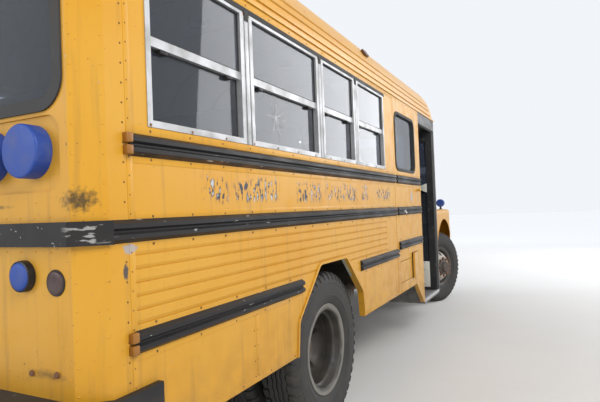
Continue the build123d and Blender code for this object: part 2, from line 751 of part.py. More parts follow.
def sash_frame(side, rear, front):
    """Aluminium frame of one two-sash window, with its middle rail set inboard."""
    outer = side * (HALF_WIDTH + FRAME_PROUD)
    inner = side * (HALF_WIDTH + FRAME_PROUD - FRAME_DEEP)
    low = WINDOW_LOW_Z + FRAME_WIDE
    top = WINDOW_TOP_Z - FRAME_WIDE
    y0 = front + FRAME_WIDE
    y1 = rear - FRAME_WIDE
    ring = block(outer, inner, front + FIT, rear - FIT, WINDOW_LOW_Z + FIT, WINDOW_TOP_Z - FIT)
    ring -= block(outer + side, inner - side, y0, y1, low, top)
    rail_x = side * (HALF_WIDTH - UPPER_PANE_DEEP + FRAME_PROUD)
    half = SASH_RAIL / 2
    return ring + block(rail_x, inner, y0, y1, SASH_SPLIT_Z - half, SASH_SPLIT_Z + half)


def sash_glass(side, rear, front):
    """Upper pane near the outside and lower pane set inboard, in one sash window."""
    y0 = front + FRAME_WIDE
    y1 = rear - FRAME_WIDE
    half = SASH_RAIL / 2
    upper_x = side * (HALF_WIDTH - UPPER_PANE_DEEP)
    lower_x = side * (HALF_WIDTH - LOWER_PANE_DEEP)
    upper = block(upper_x, upper_x - side * PANE, y0, y1, SASH_SPLIT_Z + half, WINDOW_TOP_Z - FRAME_WIDE)
    lower = block(lower_x, lower_x - side * PANE, y0, y1, WINDOW_LOW_Z + FRAME_WIDE, SASH_SPLIT_Z - half)
    return [upper, lower]


def side_rub_rails(side):
    """Double-ridged rub rails of one side."""
    section = RUB_SECTION + tuple((out, 1.0 - share) for out, share in reversed(RUB_SECTION))
    rails = []
    for z, rear, front in RAIL_ROWS:
        points = [(side * (HALF_WIDTH + out), z + RUB_TALL * share) for out, share in section]
        rails.append(front_prism(points, rear, front))
    return rails


# Rear wall and its door

def rear_wall():
    """Rear wall with corner posts, door opening, windows and lamp recess."""
    wall = plan_prism(mirrored([(HALF_WIDTH, SEAM_Y)] + corner_plan(0.0)), REAR_WALL_LOW_Z, EAVE_Z)
    inside = mirrored([(INNER_X, SEAM_Y - OVER)] + corner_plan(WALL))
    wall -= plan_prism(inside, REAR_WALL_LOW_Z - OVER, EAVE_Z + OVER)
    half = REAR_DOOR_HALF + PANEL_GAP
    near = REAR_Y - 2 * WALL
    far = REAR_Y + WALL
    wall -= block(-half, half, near, far, REAR_DOOR_LOW_Z - PANEL_GAP, REAR_DOOR_TOP_Z + PANEL_GAP)
    for side in SIDES:
        rail_out = side * (RAIL_OUT_X + PANEL_GAP)
        rail_in = side * (RAIL_OUT_X - RAIL_FLANGE - PANEL_GAP)
        wall -= block(rail_out, rail_in, near, far, 0.0, RAIL_TAPER_Z + PANEL_GAP)
        wall -= rounded_rear(side * REAR_WINDOW_IN_X, side * REAR_WINDOW_OUT_X,
                             REAR_WINDOW_LOW_Z, REAR_WINDOW_TOP_Z, near, far, REAR_WINDOW_R)
        wall -= rounded_rear(side * RECESS_IN_X, side * RECESS_OUT_X, RECESS_LOW_Z, RECESS_TOP_Z,
                             REAR_Y - RECESS_DEEP, far, RECESS_R)
    return wall


def rear_gasket():
    """Rubber ring that holds a fixed pane in the rear wall, driver's side."""
    wide = GASKET_WIDE
    x0, x1 = REAR_WINDOW_IN_X, REAR_WINDOW_OUT_X
    z0, z1 = REAR_WINDOW_LOW_Z, REAR_WINDOW_TOP_Z
    ring = rounded_rear(x0 - wide, x1 + wide, z0 - wide, z1 + wide,
                        REAR_Y, REAR_Y + GASKET_OUT, REAR_WINDOW_R + wide)
    ring += rounded_rear(x0 + FIT, x1 - FIT, z0 + FIT, z1 - FIT,
                         REAR_Y - WALL, REAR_Y, REAR_WINDOW_R - FIT)
    ring -= rounded_rear(x0 + wide, x1 - wide, z0 + wide, z1 - wide,
                         REAR_Y - WALL - OVER, REAR_Y + GASKET_OUT + OVER, REAR_WINDOW_R - wide)
    return ring


def side_gasket():
    """Rubber ring of the fixed pane in the driver's side wall."""
    wide = SIDE_GASKET
    y0, y1 = FIXED_FRONT_Y, FIXED_REAR_Y
    z0, z1 = FIXED_LOW_Z, FIXED_TOP_Z
    ring = rounded_side(y0 - wide, y1 + wide, z0 - wide, z1 + wide,
                        HALF_WIDTH, HALF_WIDTH + GASKET_OUT, FIXED_R + wide)
    ring += rounded_side(y0 + FIT, y1 - FIT, z0 + FIT, z1 - FIT,
                         INNER_X, HALF_WIDTH, FIXED_R - FIT)
    ring -= rounded_side(y0 + wide, y1 - wide, z0 + wide, z1 - wide,
                         INNER_X - OVER, HALF_WIDTH + GASKET_OUT + OVER, FIXED_R - wide)
    return ring


def fixed_panes():
    """Fixed panes of the driver's side: side wall and rear wall."""
    wide = SIDE_GASKET
    x = HALF_WIDTH - FIXED_PANE_DEEP
    side_pane = rounded_side(FIXED_FRONT_Y + wide, FIXED_REAR_Y - wide, FIXED_LOW_Z + wide,
                             FIXED_TOP_Z - wide, x, x - PANE, FIXED_R - wide)
    wide = GASKET_WIDE
    y = REAR_Y - REAR_PANE_DEEP
    rear_pane = rounded_rear(REAR_WINDOW_IN_X + wide, REAR_WINDOW_OUT_X - wide, REAR_WINDOW_LOW_Z + wide,
                             REAR_WINDOW_TOP_Z - wide, y, y + PANE, REAR_WINDOW_R - wide)
    return [side_pane, rear_pane]


def rear_hinge(z):
    """Outside hinge on the rear wall: a fixed pin with ears, and a barrel with its strap."""
    half = HINGE_TALL / 2
    reach = half + HINGE_GAP + HINGE_EAR
    pin = upright(HINGE_PIN_R, z - reach, z + reach, HINGE_X, HINGE_Y)
    for end in SIDES:
        low = z + end * (half + HINGE_GAP)
        high = z + end * reach
        pin += block(HINGE_X - HINGE_STRAP, HINGE_X + HINGE_STRAP / 2, REAR_Y,
                     HINGE_Y + HINGE_PIN_R, low, high)
    barrel = upright(HINGE_BARREL_R, z - half, z + half, HINGE_X, HINGE_Y)
    strap_y = HINGE_STRAP / 2
    barrel += block(HINGE_X, STRAP_END_X, HINGE_Y - strap_y, HINGE_Y + strap_y, z - half, z + half)
    barrel += block(STRAP_START_X, STRAP_END_X, REAR_Y, HINGE_Y - strap_y, z - half, z + half)
    barrel -= upright(HINGE_PIN_R + RUNNING, z - half - OVER, z + half + OVER, HINGE_X, HINGE_Y)
    return pin, barrel


def rear_door():
    """Emergency door in the rear wall: panel with two panes cut, and its handle."""
    half = REAR_DOOR_HALF
    door = block(-half, half, REAR_Y - WALL, REAR_Y, REAR_DOOR_LOW_Z, REAR_DOOR_TOP_Z)
    edge = half - REAR_DOOR_STILE
    for z0, z1 in REAR_DOOR_PANES:
        door -= rounded_rear(-edge, edge, z0, z1, REAR_Y - WALL - OVER, REAR_Y + OVER, REAR_DOOR_PANE_R)
    low = HANDLE_Z - HANDLE_TALL / 2
    top = HANDLE_Z + HANDLE_TALL / 2
    end = half - HANDLE_IN
    start = end - HANDLE_LONG
    out = REAR_Y + HANDLE_OUT
    door += block(start, start + HANDLE_BASE, REAR_Y, REAR_Y + HANDLE_PLATE, low, top)
    door += block(start, start + HANDLE_PLATE, REAR_Y, out, low, top)
    return door + block(start, end, out - HANDLE_PLATE, out, low, top)


def rear_door_panes():
    """Two panes of the rear door."""
    edge = REAR_DOOR_HALF - REAR_DOOR_STILE
    y = REAR_Y - REAR_PANE_DEEP
    return [rounded_rear(-edge, edge, z0, z1, y, y + PANE, REAR_DOOR_PANE_R)
            for z0, z1 in REAR_DOOR_PANES]


def rear_rub_rail():
    """Rub rail across the rear wall and its angled corner, clear of the door, driver's side."""
    start = REAR_DOOR_HALF + RUB_DOOR_GAP
    plan = [
        (start, REAR_Y),
        (CORNER_X, REAR_Y),
        (HALF_WIDTH, CORNER_Y),
        (HALF_WIDTH + RUB_OUT, CORNER_Y),
        (CORNER_X + RUB_OUT * math.tan(math.pi / 4 - CORNER_TURN / 2), REAR_Y + RUB_OUT),
        (start, REAR_Y + RUB_OUT),
    ]
    return plan_prism(plan, RUB_WRAP_Z, RUB_WRAP_Z + RUB_TALL)


def door_rub_rail():
    """Rub rail piece on the rear door."""
    half = REAR_DOOR_HALF - RUB_DOOR_END
    start = -half + RUB_STRAP_ROOM
    return block(start, half, REAR_Y, REAR_Y + RUB_OUT, RUB_WRAP_Z, RUB_WRAP_Z + RUB_TALL)


# Roof

def roof_section(half, crown_z, shoulder_r):
    """Face across the roof: eave, shoulder arc, flatter crown arc and their mirror images."""
    rise = crown_z - EAVE_Z
    shoulder_x = half - shoulder_r
    crown_r = (shoulder_x**2 + rise**2 - shoulder_r**2) / (2 * (rise - shoulder_r))
    lean = math.atan2(shoulder_x, crown_r - rise)
    meet = (shoulder_x + shoulder_r * math.sin(lean), EAVE_Z + shoulder_r * math.cos(lean))
    middle = (math.pi / 2 + lean) / 2
    bend = (shoulder_x + shoulder_r * math.sin(middle), EAVE_Z + shoulder_r * math.cos(middle))
    outline = [
        Line((-half, EAVE_Z), (half, EAVE_Z)),
        ThreePointArc((half, EAVE_Z), bend, meet),
        ThreePointArc(meet, (0, crown_z), (-meet[0], meet[1])),
        ThreePointArc((-meet[0], meet[1]), (-bend[0], bend[1]), (-half, EAVE_Z)),
    ]
    return make_face(outline)


def roof_body(inset):
    """Closed roof form: the section drawn along the bus, with rounded ends and cut corners."""
    section = roof_section(ROOF_HALF - inset, CROWN_Z - inset, SHOULDER_R - inset)
    rear_y = REAR_Y - inset
    front_y = ROOF_FRONT_Y + inset
    body = front_draw(section, rear_y, front_y)
    top = CROWN_Z - inset + OVER
    low = EAVE_Z - OVER
    outline = make_face(Polyline((front_y, low), (rear_y, low), (rear_y, top), (front_y, top), close=True))
    corners = outline.vertices().sort_by(Axis.Y)[-2:]
    body &= side_draw(fillet(corners, ROOF_END_R - inset), -HALF_WIDTH, HALF_WIDTH)
    return body & plan_prism(mirrored([(HALF_WIDTH, front_y)] + corner_plan(inset)), low, top)


def roof_rib(row):
    """Pressed rib along the roof's shoulder on the driver's side."""
    turn = (RIB_START + row * RIB_PITCH) / SHOULDER_R
    centre_x = ROOF_HALF - SHOULDER_R
    points = []
    for radius, slide in (
        (SHOULDER_R - RIB_SUNK, -RIB_HALF),
        (SHOULDER_R + RIB_OUT, -RIB_HALF / 2),
        (SHOULDER_R + RIB_OUT, RIB_HALF / 2),
        (SHOULDER_R - RIB_SUNK, RIB_HALF),
    ):
        x = centre_x + radius * math.cos(turn) - slide * math.sin(turn)
        z = EAVE_Z + radius * math.sin(turn) + slide * math.cos(turn)
        points.append((x, z))
    return front_prism(points, ROOF_FRONT_Y + RIB_FRONT, REAR_Y - RIB_REAR)


def roof():
    """Roof shell with drip rails and the ribs above them."""
    shell = roof_body(0.0)
    for row in range(RIB_COUNT):
        for rib in both_sides(roof_rib(row)):
            shell += rib
    drip = block(ROOF_HALF - DRIP_SUNK, ROOF_HALF + DRIP_OUT, ROOF_FRONT_Y + DRIP_FRONT,
                 CORNER_Y - DRIP_REAR, EAVE_Z, EAVE_Z + DRIP_TALL)
    for rail in both_sides(drip):
        shell += rail
    return shell - roof_body(ROOF_THICK) - block(-HALF_WIDTH, HALF_WIDTH, -FAR, FAR, 0.0, EAVE_Z)


def marker_lamps():
    """Small clearance lamps on the roof shoulders."""
    lamps = []
    turn = math.radians(MARKER_TURN)
    reach = SHOULDER_R + MARKER_SIZE[2] / 2
    for side in SIDES:
        for y in MARKER_YS:
            x = side * (ROOF_HALF - SHOULDER_R + reach * math.cos(turn))
            z = EAVE_Z + reach * math.sin(turn)
            lamps.append(Pos(x, y, z) * Rot(0, side * (90 - MARKER_TURN), 0) * Box(*MARKER_SIZE))
    return lamps


def warning_lamps():
    """Round warning lamps on both flat ends of the roof."""
    lamps = []
    for side in SIDES:
        for x in WARNING_LAMP_XS:
            lamps.append(along(WARNING_LAMP_R, REAR_Y, REAR_Y + WARNING_LAMP_OUT, side * x, WARNING_LAMP_Z))
            front = ROOF_FRONT_Y - WARNING_LAMP_OUT
            lamps.append(along(WARNING_LAMP_R, front, ROOF_FRONT_Y, side * x, WARNING_LAMP_Z))
    return lamps


# Cowl and windscreen

def screen_y(z):
    """Front face of the cowl and screen at a height."""
    if z <= COWL_Z:
        return COWL_Y
    return COWL_Y + (z - COWL_Z) * (SCREEN_TOP_Y - COWL_Y) / (EAVE_Z - COWL_Z)


def cowl_plan(inset):
    """Plan of the cowl, which narrows towards the nose."""
    half = [
        (COWL_HALF - inset, COWL_Y - (OVER if inset else 0.0)),
        (HALF_WIDTH - inset, WALL_END_Y),
        (HALF_WIDTH - inset, WALL_END_Y + (OVER if inset else 0.0)),
    ]
    return plan_prism(mirrored(half if inset else half[:2]), SKIRT_Z - OVER, EAVE_Z + OVER)


def front_cowl():
    """Cowl, screen posts and header, open towards the cabin."""
    back = WALL_END_Y
    outline = [
        (back, SKIRT_Z),
        (COWL_Y, SKIRT_Z),
        (COWL_Y, COWL_Z),
        (SCREEN_TOP_Y, EAVE_Z),
        (back, EAVE_Z),
    ]
    cowl = side_prism(outline, -HALF_WIDTH, HALF_WIDTH) & cowl_plan(0.0)
    inner = [
        (back + OVER, SKIRT_Z - OVER),
        (COWL_Y + WALL, SKIRT_Z - OVER),
        (COWL_Y + WALL, COWL_Z),
        (SCREEN_TOP_Y + SCREEN_SKIN, EAVE_Z + OVER),
        (back + OVER, EAVE_Z + OVER),
    ]
    cowl -= side_prism(inner, -INNER_X, INNER_X) & cowl_plan(WALL)
    cowl -= block(-SCREEN_SIDE, SCREEN_SIDE, COWL_Y - OVER, back, 0.0, RAIL_TOP_Z + FIT)
    for side in SIDES:
        cowl -= block(side * SCREEN_POST, side * SCREEN_SIDE, COWL_Y - SCREEN_CUT, back + OVER,
                      SCREEN_LOW_Z, SCREEN_TOP_Z)
    return cowl


def screen_pane():
    """Flat pane of the windscreen in front of the driver."""
    points = [(screen_y(z) + SCREEN_INSET, z) for z in (SCREEN_LOW_Z, SCREEN_TOP_Z)]
    points += [(y + PANE, z) for y, z in reversed(points)]
    return side_prism(points, SCREEN_POST, SCREEN_SIDE)


# Nose

def hood_section(half, top_z, crown, inset):
    """Rounded hood section, raised along the middle by the crown, closed at its foot."""
    r = HOOD_EDGE_R - inset
    w = half - inset
    z = top_z - inset
    k = r * (1 - math.sqrt(0.5))
    outline = [
        Line((-w, HOOD_SIDE_Z), (w, HOOD_SIDE_Z)),
        Line((w, HOOD_SIDE_Z), (w, z - r)),
        ThreePointArc((w, z - r), (w - k, z - k), (w - r, z)),
        Line((w - r, z), (0.0, z + crown)),
        Line((0.0, z + crown), (-w + r, z)),
        ThreePointArc((-w + r, z), (-w + k, z - k), (-w, z - r)),
        Line((-w, z - r), (-w, HOOD_SIDE_Z)),
    ]
    return make_face(outline)


def hood_form(inset):
    """Closed hood form, narrowing and falling towards the nose."""
    over = OVER if inset else 0.0
    back_y = COWL_Y - PANEL_GAP + over
    nose_y = HOOD_NOSE_Y - over
    back = Plane.XZ.offset(-back_y) * hood_section(HOOD_BACK_HALF, HOOD_BACK_Z, 0.0, inset)
    nose = Plane.XZ.offset(-nose_y) * hood_section(HOOD_NOSE_HALF, HOOD_NOSE_Z, HOOD_CROWN, inset)
    return loft([back, nose], ruled=True)


def hood():
    """Hood lid with its hinge barrels."""
    lid = hood_form(0.0) - hood_form(HOOD_THICK)
    low = HOOD_PIN_Z - HOOD_BARREL_R
    for x in HOOD_HINGES:
        x0 = x - HOOD_BARREL_HALF
        x1 = x + HOOD_BARREL_HALF
        lid += across(HOOD_BARREL_R, x0, x1, HOOD_PIN_Y, HOOD_PIN_Z)
        lid += block(x0, x1, HOOD_PIN_Y - HOOD_STRAP, HOOD_PIN_Y, low, low + HOOD_STRAP_THICK)
        lid -= across(HINGE_PIN_R + RUNNING, x0 - OVER, x1 + OVER, HOOD_PIN_Y, HOOD_PIN_Z)
    return lid


def hood_pins():
    """Pins and ears on the cowl that carry the hood."""
    pins = []
    inner = HOOD_BARREL_HALF + HINGE_GAP
    outer = inner + HOOD_EAR
    for x in HOOD_HINGES:
        pin = across(HINGE_PIN_R, x - outer, x + outer, HOOD_PIN_Y, HOOD_PIN_Z)
        for end in SIDES:
            pin += block(x + end * inner, x + end * outer, HOOD_PIN_Y - HINGE_PIN_R, COWL_Y,
                         HOOD_PIN_Z - HINGE_PIN_R, HOOD_PIN_Z + HINGE_PIN_R)
        pins.append(pin)
    return pins


def fender_form(inset):
    """Closed fender form on the driver's side: the common part of three rounded outlines."""
    y0 = FENDER_FRONT_Y + inset
    y1 = COWL_Y - FENDER_REAR_GAP + (FENDER_OPEN if inset else 0.0)
    z0 = FENDER_LOW_Z - (FENDER_OPEN if inset else 0.0)
    z1 = FENDER_TOP_Z - inset
    x0 = FENDER_IN_X + inset
    x1 = FENDER_HALF - inset
    side_face = make_face(Polyline((y0, z0), (y1, z0), (y1, z1), (y0, z1), close=True))
    nose = side_face.vertices().sort_by(Axis.Y)[-2:].sort_by(Axis.X)[:1]
    side_face = fillet(nose, FENDER_NOSE_R - inset)
    plan_face = make_face(Polyline((x0, y0), (x1, y0), (x1, y1), (x0, y1), close=True))
    corner = plan_face.vertices().sort_by(Axis.Y)[:2].sort_by(Axis.X)[-1:]
    plan_face = fillet(corner, FENDER_PLAN_R - inset)
    front_face = make_face(Polyline((x0, z0), (x1, z0), (x1, z1), (x0, z1), close=True))
    edge = front_face.vertices().sort_by(Axis.Y)[-2:].sort_by(Axis.X)[-1:]
    front_face = fillet(edge, FENDER_EDGE_R - inset)
    form = side_draw(side_face, x0, x1) & extrude(Plane.XY.offset(z0) * plan_face, amount=z1 - z0)
    return form & front_draw(front_face, y0, y1)


def fender():
    """Front fender of the driver's side: a thin shell over the steered wheel, open at its back."""
    arch = across(FENDER_ARCH_R, FENDER_HALF - FENDER_ARCH_DEEP, FENDER_HALF + FENDER_ARCH_DEEP,
                  FRONT_AXLE_Y, FENDER_ARCH_Z)
    saddle = block(FENDER_IN_X - OVER, FENDER_IN_X + FENDER_SADDLE, -FAR, FAR, 0.0, FENDER_SADDLE_Z)
    return fender_form(0.0) - fender_form(FENDER_SKIN) - arch - saddle


def fender_lamp():
    """Round turn lamp on its stem, on top of the driver's side fender."""
    x = FENDER_HALF - FENDER_LAMP_IN
    z = FENDER_TOP_Z + FENDER_LAMP_RISE
    half = FENDER_LAMP_LONG / 2
    lamp = along(FENDER_LAMP_R, FENDER_LAMP_Y - half, FENDER_LAMP_Y + half, x, z)
    return lamp + upright(FENDER_LAMP_STEM, FENDER_TOP_Z, z, x, FENDER_LAMP_Y)


def grille():
    """Radiator shell with a frame and level bars."""
    half = GRILLE_HALF
    edge = half - GRILLE_EDGE
    low = GRILLE_LOW_Z + GRILLE_EDGE
    top = GRILLE_TOP_Z - GRILLE_HEAD
    back = GRILLE_Y + GRILLE_DEEP
    shell = block(-half, half, GRILLE_Y, back, GRILLE_LOW_Z, GRILLE_TOP_Z)
    shell -= block(-edge, edge, GRILLE_Y - OVER, back + OVER, low, top)
    pitch = (top - low) / (GRILLE_BARS + 1)
    y0 = GRILLE_Y + (GRILLE_DEEP - GRILLE_BAR_DEEP) / 2
    for row in range(1, GRILLE_BARS + 1):
        z = low + pitch * row
        half_bar = GRILLE_BAR_TALL / 2
        shell += block(-edge, edge, y0, y0 + GRILLE_BAR_DEEP, z - half_bar, z + half_bar)
    return shell


def head_lamp():
    """Round headlamp on the nose of the driver's side fender."""
    x = FENDER_HALF - HEAD_LAMP_IN
    return along(HEAD_LAMP_R, FENDER_FRONT_Y - HEAD_LAMP_OUT, FENDER_FRONT_Y, x, HEAD_LAMP_Z)


# Bumpers

def rear_bumper():
    """Channel bumper that wraps round the rear corners."""
    plate = BUMPER_PLATE
    out_x = HALF_WIDTH + REAR_BUMPER_OUT
    edge_x = CORNER_X + REAR_BUMPER_OUT
    low = REAR_BUMPER_LOW_Z
    top = REAR_BUMPER_TOP_Z
    outer = [(out_x, REAR_BUMPER_END_Y), (out_x, CORNER_Y), (edge_x, REAR_BUMPER_Y)]
    inner = [
        (out_x - plate, REAR_BUMPER_END_Y - OVER),
        (out_x - plate, CORNER_Y),
        (edge_x - plate, REAR_BUMPER_Y - plate),
    ]
    body = [(HALF_WIDTH, REAR_BUMPER_END_Y - 2 * OVER), (HALF_WIDTH, CORNER_Y), (CORNER_X, REAR_Y)]
    bumper = plan_prism(mirrored(outer), low, top)
    bumper -= plan_prism(mirrored(inner), low - OVER, top - plate)
    return bumper - plan_prism(mirrored(body), low - OVER, top + OVER)


def front_bumper():
    """Pressed steel front bumper with turned-back ends."""
    half = FRONT_BUMPER_HALF
    plate = BUMPER_PLATE
    low = FRONT_BUMPER_LOW_Z
    top = FRONT_BUMPER_TOP_Z
    end_y = RAIL_FRONT_Y + FRONT_BUMPER_BACK
    turn_x = half - FRONT_BUMPER_TURN
    outer = [(half, end_y), (half, RAIL_FRONT_Y), (turn_x, FRONT_BUMPER_Y)]
    inner = [
        (half - plate, end_y + OVER),
        (half - plate, RAIL_FRONT_Y),
        (turn_x - plate / 2, FRONT_BUMPER_Y + plate),
    ]
    bumper = plan_prism(mirrored(outer), low, top)
    bumper -= plan_prism(mirrored(inner), low + plate, top - plate)
    bumper -= block(-turn_x, turn_x, RAIL_FRONT_Y, end_y + OVER, low - OVER, top + OVER)
    for side in SIDES:
        x = side * BUMPER_BOLT_X
        bumper -= along(BUMPER_BOLT_R, FRONT_BUMPER_Y - OVER, RAIL_FRONT_Y, x, BUMPER_BOLT_Z)
    return bumper


# Chassis

def frame_rail():
    """Channel rail of the driver's side, tapered at its tail."""
    rail_in = RAIL_OUT_X - RAIL_FLANGE
    rail = block(RAIL_OUT_X, rail_in, RAIL_FRONT_Y, RAIL_REAR_Y, RAIL_LOW_Z, RAIL_TOP_Z)
    rail -= block(RAIL_OUT_X - RAIL_THICK, rail_in - OVER, RAIL_FRONT_Y - OVER, RAIL_REAR_Y + OVER,
                  RAIL_LOW_Z + RAIL_THICK, RAIL_TOP_Z - RAIL_THICK)
    rail -= block(RAIL_OUT_X + OVER, rail_in - OVER, RAIL_TAPER_Y, RAIL_REAR_Y + OVER,
                  RAIL_TAPER_Z, RAIL_TOP_Z + OVER)
    low = REAR_EYE_Z + EYE_R + FIT
    for y in (REAR_AXLE_Y - REAR_EYE, REAR_AXLE_Y + REAR_EYE):
        rail += block(RAIL_OUT_X, REAR_SPRING_OUT, y - HANGER_HALF, y + HANGER_HALF, low, low + HANGER_TALL)
    return rail


def chassis_frame():
    """Two channel rails joined by cross members."""
    right, left = both_sides(frame_rail())
    frame = right
    reach = RAIL_OUT_X - RAIL_THICK
    half = CROSS_WIDE / 2
    for y in CROSS_MEMBERS:
        bar = block(-reach, reach, y - half, y + half, CROSS_LOW_Z, CROSS_TOP_Z)
        bar -= block(-reach - OVER, reach + OVER, y - half + RAIL_THICK, y + half + OVER,
                     CROSS_LOW_Z + RAIL_THICK, CROSS_TOP_Z - RAIL_THICK)
        frame += bar
    return frame + left


def leaf_spring(x0, x1, axle_y, seat_z, eye_reach, eye_z):
    """Pack of arched leaves, each shorter than the one above, with an eye at each end."""
    base_z = seat_z + LEAF_COUNT * LEAF_PLATE
    sag = eye_z - base_z
    radius = (eye_reach**2 + sag**2) / (2 * sag)
    centre_z = base_z + radius
    pack = None
    for leaf in range(LEAF_COUNT):
        reach = eye_reach * (1.0 - LEAF_SHORTER * leaf) / radius
        corners = []
        for bow in (radius + leaf * LEAF_PLATE, radius + (leaf + 1) * LEAF_PLATE):
            span = bow * math.sin(reach)
            drop = centre_z - bow * math.cos(reach)
            corners.append(((axle_y - span, drop), (axle_y, centre_z - bow), (axle_y + span, drop)))
        upper, lower = corners
        outline = [
            ThreePointArc(*upper),
            Line(upper[2], lower[2]),
            ThreePointArc(*reversed(lower)),
            Line(lower[0], upper[0]),
        ]
        plate = side_draw(make_face(outline), x0, x1)
        pack = plate if pack is None else pack + plate
    for end in SIDES:
        pack += across(EYE_R, x0, x1, axle_y + end * eye_reach, eye_z)
    return pack - block(x0 - OVER, x1 + OVER, -FAR, FAR, 0.0, seat_z + LEAF_FLAT)


def springs():
    """Four leaf springs."""
    rear = leaf_spring(REAR_SPRING_IN, REAR_SPRING_OUT, REAR_AXLE_Y,
                       REAR_SPRING_SEAT_Z, REAR_EYE, REAR_EYE_Z)
    front = leaf_spring(FRONT_SPRING_IN, FRONT_SPRING_OUT, FRONT_AXLE_Y,
                        FRONT_SPRING_SEAT_Z, FRONT_EYE, FRONT_EYE_Z)
    return both_sides(rear) + both_sides(front)


def front_axle():
    """Dropped beam with a boss and kingpin at each end, and spring seats."""
    z = TYRE_R
    end_x = KINGPIN_X - BEAM_END_IN
    half = [
        (KINGPIN_X - BEAM_KNEE_IN, BEAM_LOW_Z),
        (end_x, z - BEAM_END_HALF),
        (KINGPIN_X, z - BEAM_END_HALF),
        (KINGPIN_X, z + BEAM_END_HALF),
        (end_x, z + BEAM_END_HALF),
        (KINGPIN_X - BEAM_KNEE_IN - BEAM_SLIP, BEAM_TOP_Z),
    ]
    beam = front_prism(mirrored(half), FRONT_AXLE_Y - BEAM_HALF, FRONT_AXLE_Y + BEAM_HALF)
    reach = BOSS_HALF + EAR_GAP + EAR_TALL
    low = BEAM_LOW_Z - OVER
    top = z + reach
    seat_z = FRONT_SPRING_SEAT_Z + LEAF_FLAT - TOUCH
    for side in SIDES:
        x = side * KINGPIN_X
        room = upright(BOSS_R + BOSS_GAP, low, top, x, FRONT_AXLE_Y)
        beam -= room & block(x, side * (KINGPIN_X + BOSS_R + BOSS_GAP), -FAR, FAR, low, top)
        beam += upright(BOSS_R, z - BOSS_HALF, z + BOSS_HALF, x, FRONT_AXLE_Y)
        beam += upright(KINGPIN_R, z - reach, z + reach, x, FRONT_AXLE_Y)
        beam += block(side * FRONT_SPRING_IN, side * FRONT_SPRING_OUT, FRONT_AXLE_Y - SPRING_SEAT_HALF,
                      FRONT_AXLE_Y + SPRING_SEAT_HALF, BEAM_TOP_Z, seat_z)
    return beam


def steered(side, shape):
    """Place a piece made round the kingpin, its wheel side at +X, at its rest pose."""
    turn = STEER_DEG if side > 0 else STEER_DEG + 180.0
    return Location((side * KINGPIN_X, FRONT_AXLE_Y, TYRE_R), (0, 0, turn)) * shape


def knuckle(side):
    """Steering knuckle: two ears on the kingpin, web, spindle and steering arm."""
    reach = BOSS_HALF + EAR_GAP
    top = reach + EAR_TALL
    body = block(WEB_IN, WEB_OUT, -WEB_HALF, WEB_HALF, -top, top)
    for end in SIDES:
        body += block(0.0, EAR_REACH, -BOSS_R, BOSS_R, end * reach, end * top)
        body += upright(BOSS_R, end * reach, end * top, 0.0, 0.0)
    body += across(SPINDLE_R, EAR_REACH, DISC_OFFSET + SCRUB - SPINDLE_SHORT, 0.0, 0.0)
    arm_y = ARM_REACH * side
    body += block(-ARM_HALF, ARM_HALF, 0.0, arm_y, -top, -reach)
    body += upright(TIE_EYE_R, -top, -reach, 0.0, arm_y)
    body += upright(TIE_PIN_R, -top - TIE_EYE_TALL - TIE_PIN_OVER, -top, 0.0, arm_y)
    body -= upright(KINGPIN_R + RUNNING, -top - OVER, top + OVER, 0.0, 0.0)
    return steered(side, body)


def tie_rod():
    """Rod between the two steering arms."""
    turn = math.radians(STEER_DEG)
    top = TYRE_R - BOSS_HALF - EAR_GAP - EAR_TALL - TIE_EYE_GAP
    low = top - TIE_EYE_TALL
    y = FRONT_AXLE_Y + ARM_REACH * math.cos(turn)
    ends = [side * KINGPIN_X - ARM_REACH * math.sin(turn) for side in SIDES]
    rod = across(TIE_ROD_R, ends[0], ends[1], y, (top + low) / 2)
    for x in ends:
        rod += upright(TIE_EYE_R, low, top, x, y)
    for x in ends:
        rod -= upright(TIE_PIN_R + RUNNING, low - OVER, top + OVER, x, y)
    return rod


# Wheels: each is made with its axle along X and its outer face towards +X

def ring(points):
    """Ring turned about X from an outline of distance along the axle and radius."""
    return revolve(Plane.XZ * make_face(Polyline(*points, close=True)), axis=Axis.X)


def tyre():
    """Tyre with its beads, rounded side walls and shoulders."""
    half = TYRE_WIDTH / 2
    outline = [
        (RIM_HALF - FIT, RIM_SEAT_R + TYRE_BEAD),
        (half - TYRE_BELLY, RIM_FLANGE_R + TYRE_CHAFE),
        (half, TYRE_R - TYRE_WALL_UP),
        (half - TYRE_BELLY, TYRE_R - TYRE_TREAD),
        (half - TYRE_SHOULDER, TYRE_R),
    ]
    return ring(outline + [(-x, r) for x, r in reversed(outline)])


